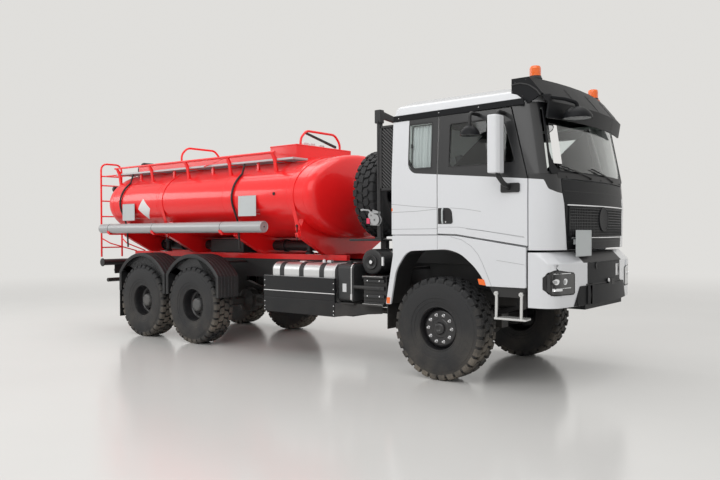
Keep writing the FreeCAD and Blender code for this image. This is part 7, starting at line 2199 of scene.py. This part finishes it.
def hanging_step():
    """An aluminium tread on two straps with round bolts, right side."""
    parts = []
    for x in (0.777, 1.089):
        parts += [
            paint("step aluminium",
                slab(at("y", -1.241, [(x + 0.004, 1.125), (x + 0.036, 1.125), (x + 0.026, 0.822),
                    (x - 0.002, 0.822)]), (0, 0.02, 0), 0.004),
                spun([(-1.2415, 0), (-1.2415, 0.026), (-1.225, 0.028), (-1.215, 0.028), (-1.215, 0)], "y",
                    (x + 0.012, 0, 1.1), 24),
            ),
            paint("bright steel",
                spun([(-1.2445, 0), (-1.2445, 0.01), (-1.24, 0.011), (-1.24, 0)], "y", (x + 0.012, 0, 1.1), 12),
            ),
        ]
    parts += [
        paint("chassis black",
            slab(at("y", -1.222, [(0.69, 1.18), (1.15, 1.18), (1.12, 1.06), (0.76, 1.06)]), (0, 0.016, 0), 0.004),
        ),
        paint("step aluminium",
            slab(at("z", 0.8005, [(0.763, -1.241), (1.162, -1.241), (1.14, -1.06), (0.785, -1.06)]), (0, 0, 0.024),
                0.006),
            row_of(block((0.8, -1.232, 0.823), (0.806, -1.07, 0.829), 0.001, 1), 13, (0.0265, 0, 0)),
        ),
    ]
    return joined(parts)


class TRUCK_OT_bumper(PieceOperator):
    """Make the front bumper, its lamps, the fenders and the hanging steps"""
    bl_idname = "truck.bumper"
    bl_label = "Bumper, lamps and steps"

    def make(self, scene):
        """Panels over the solids with lamps set into them."""
        shell = paint("plain white", bumper_shell())
        shell.data.materials.append(MATERIALS["gasket rubber"])
        for face in shell.data.polygons:
            if abs(face.center.y) < 0.62 and face.center.z > 1.44:
                face.material_index = 1
        done(shell, "bumper_shell", "chassis", ("front_bumper",), angle=30)
        done(joined([paint("trim charcoal", cad_copy("bumper_centre", 0.005, 2)), ahead(joined(centre_trim()))]),
            "bumper_middle", "chassis", ("bumper_centre",), angle=30)
        done(ahead(mirrored(headlamp())), "headlamps", "chassis", ("lamps",))
        done(ahead(mirrored(joined([paint("plain white", fender_panel())] + fender_trim()))), "front_fender_panels",
            "chassis", ("front_fenders",), angle=30)
        done(ahead(mirrored(hanging_step())), "hanging_steps", "chassis", ("cab_steps",))


PLAIN_NODES = {"frame": "chassis black", "axles": "chassis black", "leaf_springs": "chassis black",
    "powertrain": "cast iron", "knuckle_left": "chassis black", "knuckle_right": "chassis black",
    "tie_rod": "chassis black"}


class TRUCK_OT_plain_nodes(PieceOperator):
    """Give the remaining solids of the truck their finishes"""
    bl_idname = "truck.plain_nodes"
    bl_label = "Plain parts"

    def make(self, scene):
        """Every solid that still shows gets its finish in its own slots."""
        for node, material in PLAIN_NODES.items():
            coated(frame["nodes"][node], MATERIALS[material])


# Add-on


STEPS = (TRUCK_OT_finishes, TRUCK_OT_stage, TRUCK_OT_tyres, TRUCK_OT_rims, TRUCK_OT_tank, TRUCK_OT_tank_top,
    TRUCK_OT_lockers, TRUCK_OT_mudguards, TRUCK_OT_side_boxes, TRUCK_OT_spare_carrier, TRUCK_OT_rear_end,
    TRUCK_OT_cab_body, TRUCK_OT_doors, TRUCK_OT_cab_front, TRUCK_OT_visor, TRUCK_OT_interior, TRUCK_OT_bumper,
    TRUCK_OT_plain_nodes)


class TRUCK_PT_pieces(bpy.types.Panel):
    """The steps of the dressing, in order"""
    bl_label = "Tanker Truck"
    bl_idname = "TRUCK_PT_pieces"
    bl_space_type = "VIEW_3D"
    bl_region_type = "UI"
    bl_category = "Tanker Truck"

    def draw(self, context):
        """List each step as a button."""
        for step in STEPS:
            self.layout.operator(step.bl_idname)


SETTINGS = {"truck_colours": TruckColours, "truck_tyre": TyreSizes, "truck_studio": StudioSettings}


def register():
    """Register the settings, the operators and the panel."""
    for group in SETTINGS.values():
        bpy.utils.register_class(group)
    for name, group in SETTINGS.items():
        setattr(bpy.types.Scene, name, bpy.props.PointerProperty(type=group))
    for step in STEPS:
        bpy.utils.register_class(step)
    bpy.utils.register_class(TRUCK_PT_pieces)


def unregister():
    """Take everything back out."""
    bpy.utils.unregister_class(TRUCK_PT_pieces)
    for step in reversed(STEPS):
        bpy.utils.unregister_class(step)
    for name in SETTINGS:
        delattr(bpy.types.Scene, name)
    for group in reversed(list(SETTINGS.values())):
        bpy.utils.unregister_class(group)


def main():
    """Run every step in order."""
    register()
    for step in STEPS:
        group, name = step.bl_idname.split(".")
        getattr(getattr(bpy.ops, group), name)()


if __name__ == "__main__":
    main()
